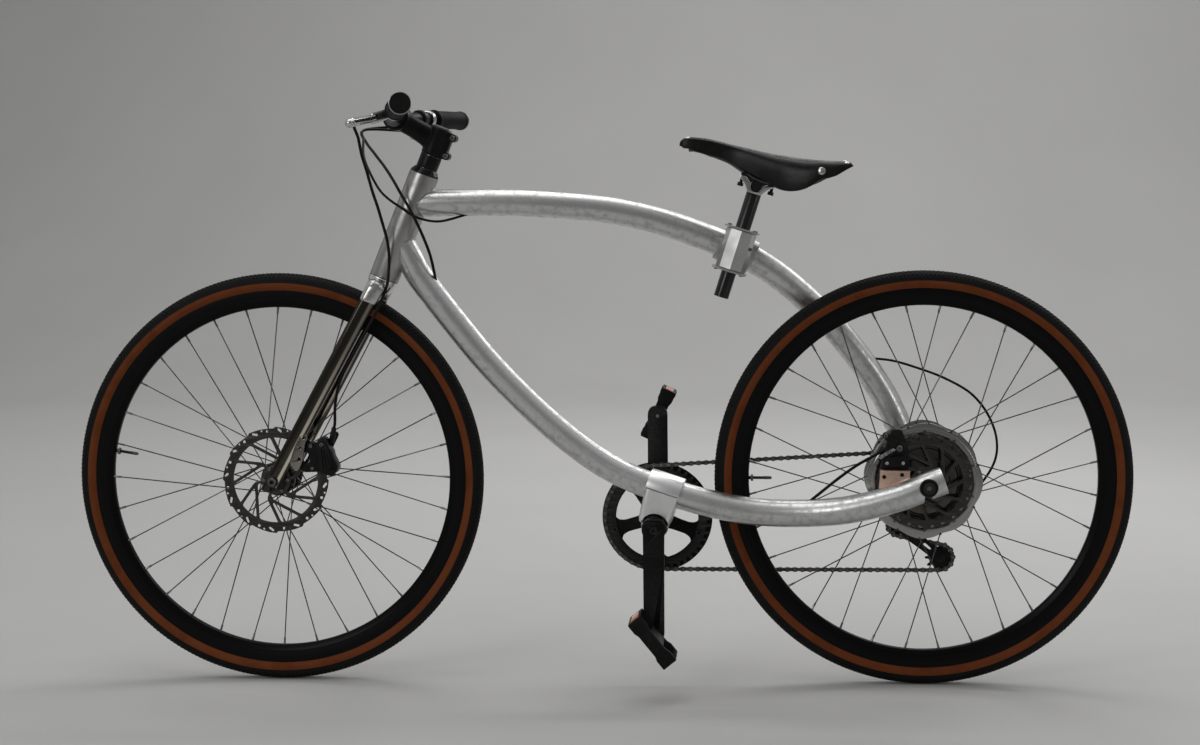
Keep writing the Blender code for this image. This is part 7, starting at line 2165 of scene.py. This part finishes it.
def pedal(side):
    label = SIDES[side]
    place = Matrix.Translation(pedal_eye(side)) @ Matrix.Rotation(PEDAL_LEAN[side], 4, "Y")
    half = PEDAL_L / 2
    end = side * (PEDAL_IN_Y + PEDAL_W)
    low, high = sorted((side * PEDAL_IN_Y, end))
    middle = (low + high) / 2
    lower = [(-half, -0.0125), (-half + 0.003, -0.013), (-half * 0.62, -0.013), (-half * 0.45, -0.0105),
             (half * 0.45, -0.0105), (half * 0.62, -0.013), (half - 0.003, -0.013), (half, -0.0125)]
    outline = lower + [(x, -z) for x, z in reversed(lower)]
    steps = []
    for way in (-1, 1):
        for name, size, x, y in (("cage_window", (0.022, PEDAL_W - 0.014, 0.04), 0.0265, middle),
                                 ("reflector_bed", (0.005, PEDAL_W - 0.018, 0.0165), half, middle),
                                 ("side_recess", (0.02, 0.003, 0.012), 0.0265, end)):
            steps.append(("cut", box(name, size, Matrix.Translation((way * x, y, 0.0)))))
    body = worked(plate("platform", [outline], low, high), *steps, bevel=0.0009, segments=2, angle=40)
    ribs = [box("rib", (0.006, 0.0022, 0.0012),
                Matrix.Translation((way * (half - 0.0055), middle + (k - 3) * 0.0072, flip * 0.0132)))
            for way in (-1, 1) for flip in (-1, 1) for k in range(7)]
    cap = turned("end_cap", mm((0, 1.6), (7, 1.4), (8.2, 0.6), (8.4, -2)),
                 about_y((0.0, end, 0.0)) @ facing(side), 32)
    moulded_body = joined("pedal_" + label + "_moulded", [body, cap] + ribs)
    moulded_body.data.transform(place)
    show(moulded_body, PEDAL_PLASTIC, "pedal_" + label, "pedal_" + label)
    lenses = []
    for way in (-1, 1):
        bulge = [(way * (half + x), z) for x, z in ((-0.0024, -0.008), (0.0004, -0.0072), (0.0008, 0.0),
                                                    (0.0004, 0.0072), (-0.0024, 0.008))]
        reach = PEDAL_W / 2 - 0.0094
        lenses.append(plate("lens", [bulge], middle - reach, middle + reach, 0.0003))
    lenses = joined("pedal_" + label + "_reflectors", lenses)
    lenses.data.transform(place)
    show(lenses, AMBER, "pedal_" + label)


pedal(-1)
pedal(1)

# Cassette. Seven stamped sprockets with spacers between them on a splined carrier, closed by a
# notched lock ring.

SPROCKET_STEP = 0.005
DRIVEN_PHASE = 1.55151
OUTER_SPROCKETS = len(SPROCKET_TEETH) - 1 - DRIVEN_SPROCKET
CASSETTE_END = CHAIN_LINE + SPROCKET_STEP * OUTER_SPROCKETS + TOOTH_T / 2 + 0.0006

SPROCKET_STEEL = metal("sprocket_steel", "oiled_steel", (0.16, 0.16, 0.155), (0.08, 0.078, 0.075),
                       (0.22, 0.38), (1600.0, 900.0, 1.0), along=True, clouds=(45.0, 0.42, 0.68),
                       wear=0.3, bump=0.06)


def cassette():
    centre = flat_xz(REAR_AXLE)
    place = about_y(REAR_AXLE)
    parts = []
    for k, teeth in enumerate(SPROCKET_TEETH):
        y = CHAIN_LINE + (k - DRIVEN_SPROCKET) * SPROCKET_STEP
        loops = [sprocket_edge(teeth, centre, DRIVEN_PHASE if k == DRIVEN_SPROCKET else 0.1 * k),
                 disc(0.0172, 40, centre)]
        if teeth >= 22:
            reach = pitch_radius(teeth) - 0.0105
            hole_r = 0.0034 if teeth < 26 else 0.0048
            loops += [disc(hole_r, 16, polar(reach, pi * i / 3 + 0.2 * k, centre)) for i in range(6)]
        parts.append(ringed(plate("sprocket", loops, y - TOOTH_T / 2, y + TOOTH_T / 2, 0.0002), place))
    low = REAR_FLANGE_RIGHT + FLANGE_HALF + 0.001 + GAP
    bore = REAR_AXLE_R + GAP
    lock = mm((9, -1), (9.5, -0.2), (13.5, -0.2), (14, 0), (17, 0), (17.2, -0.6), base=(0, CASSETTE_END))
    carrier = [(bore, CASSETTE_END - 0.001)] + lock + [(0.0172, low), (bore, low)]
    parts.append(turned("carrier", carrier, place, 72, closed=True))
    show(joined("cassette_stack", parts), SPROCKET_STEEL, "cassette", "cassette")
    spacers = []
    for k in range(len(SPROCKET_TEETH) - 1):
        y = CHAIN_LINE + (k - DRIVEN_SPROCKET + 0.5) * SPROCKET_STEP
        half = (SPROCKET_STEP - TOOTH_T) / 2
        spacers.append(turned("spacer", [(0.0172, -half), (0.019, -half), (0.019, half), (0.0172, half)],
                              about_y(beside(REAR_AXLE, y)), 60, closed=True))
    show(joined("cassette_spacers", spacers), SATIN_BLACK, "cassette")


cassette()

# Derailleur. A black hanger and body bolted beside the axle, a link to the lower knuckle, and a
# long cage of two pressed plates with a toothed pulley at each end.

HANGER_BOLT = REAR_AXLE + Vector((0.0155, 0.0, -0.0332))
LINK_TOP = REAR_AXLE + Vector((0.01, 0.076, -0.05))
LINK_FOOT = REAR_AXLE + Vector((-0.031, 0.0665, -0.082))
LINK_AXIS = Vector((LINK_FOOT.z - LINK_TOP.z, 0.0, LINK_TOP.x - LINK_FOOT.x)).normalized()
LINK_HALF = 0.0055
LUG_REACH = LINK_HALF + GAP + 0.003
PULLEY_PHASE = {"guide": 2.17843, "tension": 0.8801}

GEAR_BLACK = metal("gear_black", "black_anodised", 0.005, 0.012, (0.26, 0.42), 800.0, metallic=0.0,
                   wear=0.15, bare=0.2, bump=0.05, shine=0.12)


def at_y(point, y):
    return Vector((point.x, y, point.z))


def derailleur():
    inner, outer = REAR_HUB_HALF - 0.005, REAR_HUB_HALF - 0.0012
    tongue = worked(plate("tongue", [capsule(flat_xz(REAR_AXLE), flat_xz(HANGER_BOLT), 0.015, 0.01, 16)],
                          inner, outer, 0.0006),
                    ("cut", crosswise("axle_room", AXLE_COLLAR_R + GAP, REAR_AXLE, 0.05, 0.07, 40)))
    barrel = mm((0, 1), (8.8, 1), (9.2, 3), (9.2, 16.5), (8, 17.8), (8, 19), (6, 20.5), (3.4, 20.5),
                (3.2, 16.5), (0, 16.5), base=(0, inner))
    barrel = turned("barrel", barrel, about_y(at_y(HANGER_BOLT, 0.0)), 40)
    arm_end = (REAR_AXLE.x + 0.047, REAR_AXLE.z - 0.047)
    arm = plate("cable_arm", [capsule(flat_xz(HANGER_BOLT), arm_end, 0.007, 0.0062, 12)], 0.075, 0.082,
                0.0014)
    stop_at = Vector((arm_end[0], 0.0785, arm_end[1]))
    cable_way = (Vector(SHIFT_TAIL[-2]) - Vector(SHIFT_TAIL[-1])).normalized()
    adjuster = turned_on("adjuster", mm((0, -4), (3.6, -4), (4.6, -2), (4.8, 4), (4, 6), (4, 10), (3, 11),
                                        (2.2, 11)),
                         stop_at, stop_at + cable_way, 24)
    lug = LINK_TOP + LINK_AXIS * LUG_REACH
    cheek = plate("upper_lug", [capsule(flat_xz(HANGER_BOLT), flat_xz(lug), 0.0062, 0.003, 10)], 0.0715,
                  0.08, 0.001)
    pin = rod("link_pin", 0.002, lug, LINK_TOP - LINK_AXIS * LINK_HALF, 16)
    body = joined("derailleur_hanger_forged", [tongue, barrel, arm, adjuster, cheek, pin])
    show(body, GEAR_BLACK, "frame", "derailleur_hanger")

    run = (LINK_FOOT - LINK_TOP).normalized()
    stand = Matrix((run, LINK_AXIS.cross(run), LINK_AXIS)).transposed().to_4x4()
    middle = Matrix.Translation((LINK_TOP + LINK_FOOT) / 2) @ stand
    length = (LINK_FOOT - LINK_TOP).length
    web = box("web", (length, 0.0125, 2 * LINK_HALF - 0.0004), middle)
    eyes = [("add", rod("eye", 0.0068, end - LINK_AXIS * LINK_HALF, end + LINK_AXIS * LINK_HALF, 32))
            for end in (LINK_TOP, LINK_FOOT)]
    holes = [("cut", rod("eye_hole", 0.0023, end - LINK_AXIS * 0.01, end + LINK_AXIS * 0.01, 20))
             for end in (LINK_TOP, LINK_FOOT)]
    waist = ("cut", box("waist", (length * 0.3, 0.004, 0.02), middle))
    show(worked(web, *eyes, waist, *holes, bevel=0.0006), GEAR_BLACK, "derailleur_link", "derailleur_link")

    cage_out = CHAIN_LINE + 0.007
    boss = [(0.0, cage_out + GAP), (0.009, cage_out + GAP), (0.0096, cage_out + 0.0012), (0.0096, 0.059),
            (0.0086, 0.06), (0.005, 0.0602), (0.0048, 0.0585), (0.0, 0.0585)]
    knuckle = turned("knuckle", boss, about_y(at_y(GUIDE_AXLE, 0.0)), 48)
    foot_lug = LINK_FOOT + LINK_AXIS * LUG_REACH
    ear = plate("lower_lug", [disc(0.0032, 20, flat_xz(foot_lug))], 0.056, 0.0705, 0.0006)
    foot_pin = rod("foot_pin", 0.002, foot_lug, LINK_FOOT - LINK_AXIS * LINK_HALF, 16)
    show(joined("derailleur_knuckle_forged", [knuckle, ear, foot_pin]), GEAR_BLACK, "derailleur_knuckle",
         "derailleur_knuckle")

    guide, tension = flat_xz(GUIDE_AXLE), flat_xz(TENSION_AXLE)
    way = (Vector(tension) - Vector(guide)).normalized()
    across = Vector((-way.y, way.x))

    def spot(share, off):
        return tuple(Vector(guide) + way * CAGE_LENGTH * share + across * off)

    head, foot = atan2(across.y, across.x), atan2(-across.y, -across.x)
    edge = (arc(0.012, head, head + pi, 12, guide) + [spot(0.35, -0.0125), spot(0.62, -0.0105)]
            + arc(0.0092, foot, foot + pi, 12, tension) + [spot(0.62, 0.0085), spot(0.35, 0.0105)])
    small = [spot(0.58, -0.0026), spot(0.78, -0.0022), spot(0.78, 0.0022), spot(0.58, 0.0026)]
    small = eased(small, 0.002)
    plates = [plate("outer_plate", [edge, small], cage_out - 0.0016, cage_out, 0.0003),
              plate("inner_plate", [edge, small], CHAIN_LINE - 0.007, CHAIN_LINE - 0.0054, 0.0003)]
    screws = []
    for axle in (GUIDE_AXLE, TENSION_AXLE):
        screws.append(crosswise("pulley_bolt", 0.0025, axle, -0.0062, 0.0062, 20))
        screws.append(screw_head(beside(axle, -0.007), (0, -1, 0), 0.0044))
    show(joined("derailleur_cage_plates", plates + screws), GEAR_BLACK, "derailleur_cage",
         "derailleur_cage")

    for name, axle in (("guide", GUIDE_AXLE), ("tension", TENSION_AXLE)):
        at = flat_xz(axle)
        wheel = plate("teeth", [sprocket_edge(PULLEY_TEETH, at, PULLEY_PHASE[name]), disc(0.006, 24, at)],
                      CHAIN_LINE - TOOTH_T / 2, CHAIN_LINE + TOOTH_T / 2, 0.0003)
        hub = turned("pulley_hub", mm((3.1, -4.5), (7.2, -4.5), (8, -3), (8, 3), (7.2, 4.5),
                                      (3.1, 4.5)), about_y(axle), 32, closed=True)
        ride = name + "_pulley"
        show(joined(ride + "_moulded", [wheel, hub]), PEDAL_PLASTIC, ride, ride)


derailleur()

# Calipers. Cast black bodies over the rotor's edge, worked by an arm that the cable pulls. A
# threaded stop takes the housing, and a coil spring pushes the arm back.

FRONT_CALIPER_Y = (CALIPER_FACE_Y, -0.029)
REAR_CALIPER_Y = (-0.066, -0.041)
FRONT_ARM_PIVOT = FRONT_AXLE + Vector((0.084, -0.028, 0.05))
REAR_ARM_PIVOT = REAR_AXLE + Vector((-0.044, -0.066, 0.059))
ARM_SPINDLE_R = 0.005
ARM_T = 0.0045


def stop_sleeve(start, end):
    """The threaded sleeve that the housing ends in, open at its mouth."""
    start, end = Vector(start), Vector(end)
    length = (end - start).length
    return turned_on("stop", [(0.0, 0.0), (0.0044, 0.0), (0.0044, length * 0.35), (0.005, length * 0.38),
                              (0.005, length * 0.62), (0.0042, length * 0.66), (0.0042, length - 0.0006),
                              (0.0038, length), (0.003, length), (0.003, length - 0.01)], start, end, 28)


def spring(start, end, radius, turns):
    start, end = Vector(start), Vector(end)
    length = (end - start).length
    place = towards(start, end - start)
    line = [place @ Vector((*polar(radius, 2 * pi * turns * i / 160), length * i / 160))
            for i in range(161)]
    return swept("spring", line, 0.0006, 8)


def caliper(outline, span, axle, rotor_r, rotor_y, stop):
    """A cast body with a rounded back, slotted for the rotor, and its cable stop."""
    half = ROTOR_T / 2 + 0.0008
    room = crosswise("rotor_room", rotor_r + 0.0025, axle, rotor_y - half, rotor_y + half, 120)
    return [worked(plate("body", [eased(outline, 0.006, steps=4)], *span, 0.0024), ("cut", room)),
            stop_sleeve(*stop)]


def caliper_arm(label, pivot, end, face, side):
    near = face + side * GAP
    loops = [capsule(flat_xz(pivot), end, 0.0085, 0.0052, 14)]
    arm = plate("arm", loops, *sorted((near, near + side * ARM_T)), 0.0008)
    spindle = rod("spindle", ARM_SPINDLE_R, at_y(pivot, near + side * 0.002),
                  at_y(pivot, face - side * 0.006))
    nut = screw_head(at_y(pivot, near + side * ARM_T), (0, side, 0), 0.0052)
    anchor = screw_head((end[0], near + side * ARM_T, end[1]), (0, side, 0), 0.0036)
    ride = label + "_caliper_arm"
    show(joined(label + "_caliper_arm_forged", [arm, spindle]), GEAR_BLACK, ride, ride)
    show(joined(label + "_caliper_arm_screws", [nut, anchor]), BOLT_STEEL, ride)


def calipers():
    rear = by_axle(REAR_AXLE, (-73.5, 24), (-26.5, 23.5), (-26.8, 44), (-33, 72), (-40, 90), (-56, 89.5),
                   (-64, 70), (-70, 43))
    parts = caliper(rear, REAR_CALIPER_Y, REAR_AXLE, REAR_ROTOR_R, REAR_ROTOR_Y, REAR_STOP)
    lump = plate("lump", [eased(by_axle(REAR_AXLE, (-70, 29), (-32, 28), (-33, 46),
                                        (-66, 44)), 0.005)], -0.0715, -0.065, 0.0018)
    ring = turned("cylinder", mm((0, -3), (9, -3), (11.2, -1.2), (11.8, 3)),
                  about_y(at_y(REAR_ARM_PIVOT, REAR_CALIPER_Y[0])), 40)
    bolts = [screw_head(REAR_AXLE + Vector((x, -0.0715, 0.035)), (0, -1, 0), 0.003)
             for x in (-0.064, -0.038)]
    bolts.append(spring(REAR_AXLE + Vector((-0.077, -0.075, 0.043)),
                        REAR_AXLE + Vector((-0.052, -0.075, 0.0585)), 0.003, 9))
    bridge = plate("bridge", [eased(by_axle(REAR_AXLE, (-80, 41), (-73, 37), (-48, 52), (-48, 62),
                                            (-55, 64)), 0.003)], -0.0705, -0.0645, 0.001)
    show(joined("rear_caliper_cast", parts + [lump, ring, bridge]), GEAR_BLACK, "frame", "rear_caliper")
    show(joined("rear_caliper_spring_and_screws", bolts), BRACKET_STEEL, "frame")
    caliper_arm("rear", REAR_ARM_PIVOT, by_axle(REAR_AXLE, (-66, 80))[0], REAR_CALIPER_Y[0], -1)

    front = by_axle(FRONT_AXLE, (73.9, 68), (70, 52.7), (75.6, 35), (78, 16.2), (91.7, 8), (106, 13.9),
                    (109.7, 22.1), (106.4, 31.6), (100.6, 42.2), (99.6, 50.4), (93.2, 59.8), (88.1, 72.7),
                    (81.1, 73.9))
    parts = caliper(front, FRONT_CALIPER_Y, FRONT_AXLE, FRONT_ROTOR_R, FRONT_ROTOR_Y, FRONT_STOP)
    window = by_axle(FRONT_AXLE, (52.2, 48), (56.9, 49.1), (62.1, 42.1), (61.4, 33.8), (57.1, 28.5),
                     (50.7, 32.6))
    adapter = by_axle(FRONT_AXLE, (57.2, 63.3), (74, 66), (80, 35), (83, 16.2), (51.6, 14.9),
                      (41.1, 24.4), (44, 40))
    lump = plate("lump", [eased(by_axle(FRONT_AXLE, (80, 26), (95, 17), (101, 25), (95, 48), (86, 66),
                                        (78, 60)), 0.005)],
                 -0.06, -0.054, 0.002)
    parts.append(plate("adapter", [eased(adapter, 0.004), eased(window, 0.002)], -0.0545, -0.0475, 0.001))
    for k in range(3):
        shift = 5.5 * k
        low, high = by_axle(FRONT_AXLE, (84 + shift, 24), (81.5 + shift * 0.7, 56 - shift * 0.6))
        parts.append(plate("fin", [capsule(low, high, 0.0014, 0.0012, 6)], -0.0622, -0.059, 0.0006))
    cap = turned("cylinder", mm((0, -3), (5, -3), (6.2, -1.6), (6.6, 3)),
                 about_y(FRONT_AXLE + Vector((0.0985, CALIPER_FACE_Y, 0.015))), 32)
    heads = [screw_head(FRONT_AXLE + Vector((x, -y, z)), (0, -1, 0), 0.003)
             for x, y, z in ((0.064, 0.0545, 0.059), (0.066, 0.0545, 0.022), (0.083, 0.06, 0.062))]
    show(joined("front_caliper_cast", parts + [lump, cap]), GEAR_BLACK, "steering", "front_caliper")
    show(joined("front_caliper_screws", heads), BOLT_STEEL, "steering")
    caliper_arm("front", FRONT_ARM_PIVOT, by_axle(FRONT_AXLE, (100, 75))[0], FRONT_CALIPER_Y[1], 1)


calipers()

# Rear caliper bracket. A plate of bare bronze milled to the curve of the lower tube, with the
# caliper's two bolts through it.

BRACKET_BRONZE = metal("bracket_bronze", "raw_bronze", (0.86, 0.6, 0.47), (0.74, 0.5, 0.39), (0.26, 0.42),
                       (500.0, 500.0, 120.0), clouds=(60.0, 0.4, 0.66), metallic=0.85, wear=0.2,
                       bare=(0.86, 0.62, 0.5), bump=0.08)


def caliper_bracket():
    near_tube = [point for point in LOWER_LINE if point.x > REAR_AXLE.x - 0.12]
    outline = by_axle(REAR_AXLE, (-77, -14), (-74.5, 23.2), (-27, 22.2), (-28.5, -6))
    body = worked(plate("bracket", [outline], -0.076, -0.06),
                  ("cut", swept("tube_room", past(near_tube), TUBE_R + GAP, 48)), bevel=0.0008)
    show(body, BRACKET_BRONZE, "frame", "rear_caliper_bracket")
    heads = [screw_head(REAR_AXLE + Vector((x, -0.0758, z)), (0, -1, 0), 0.0032)
             for x, z in ((-0.069, 0.013), (-0.04, 0.0165))]
    show(joined("bracket_bolts", heads), GEAR_BLACK, "frame")


caliper_bracket()

# Rear axle and its bolts. A steel axle with collars against the frame, and on each end a black
# cap with a broad foot and a recess for the key.

AXLE_TIP = TUBE_END_Y + TUBE_R + 0.004


def rear_axle():
    inner = REAR_HUB_HALF + 0.0015 - GAP
    left_face = -REAR_ROTOR_Y + ROTOR_T / 2 + 0.006
    right_face = CASSETTE_END + GAP
    profile = [(0.0, AXLE_TIP), (REAR_AXLE_R - 0.0008, AXLE_TIP), (REAR_AXLE_R, AXLE_TIP - 0.001),
               (REAR_AXLE_R, inner), (AXLE_COLLAR_R, inner), (AXLE_COLLAR_R, right_face),
               (REAR_AXLE_R, right_face), (REAR_AXLE_R, -left_face), (AXLE_COLLAR_R, -left_face),
               (AXLE_COLLAR_R, -inner), (REAR_AXLE_R, -inner), (REAR_AXLE_R, 0.001 - AXLE_TIP),
               (REAR_AXLE_R - 0.0008, -AXLE_TIP), (0.0, -AXLE_TIP)]
    show(turned("rear_axle_steel", profile, about_y(REAR_AXLE), 48), AXLE_STEEL, "frame", "rear_axle")
    seat = TUBE_END_Y + TUBE_R - NUT_FLAT + GAP
    for side, label in SIDES.items():
        place = about_y(REAR_AXLE) @ facing(side)
        cap = mm((0, 5.5), (4.2, 5.5), (4.6, 9.2), (7.8, 9.2), (9.5, 8), (9.8, 3.4), (12, 3.2),
                 (14.4, 2.6), (15, 1.6), (15, 0), base=(0, seat)) + [(REAR_AXLE_R + GAP, seat)]
        name = "axle_bolt_" + label
        show(turned(name + "_cap", cap, place, 64), CUP_BLACK, "frame", name)


rear_axle()
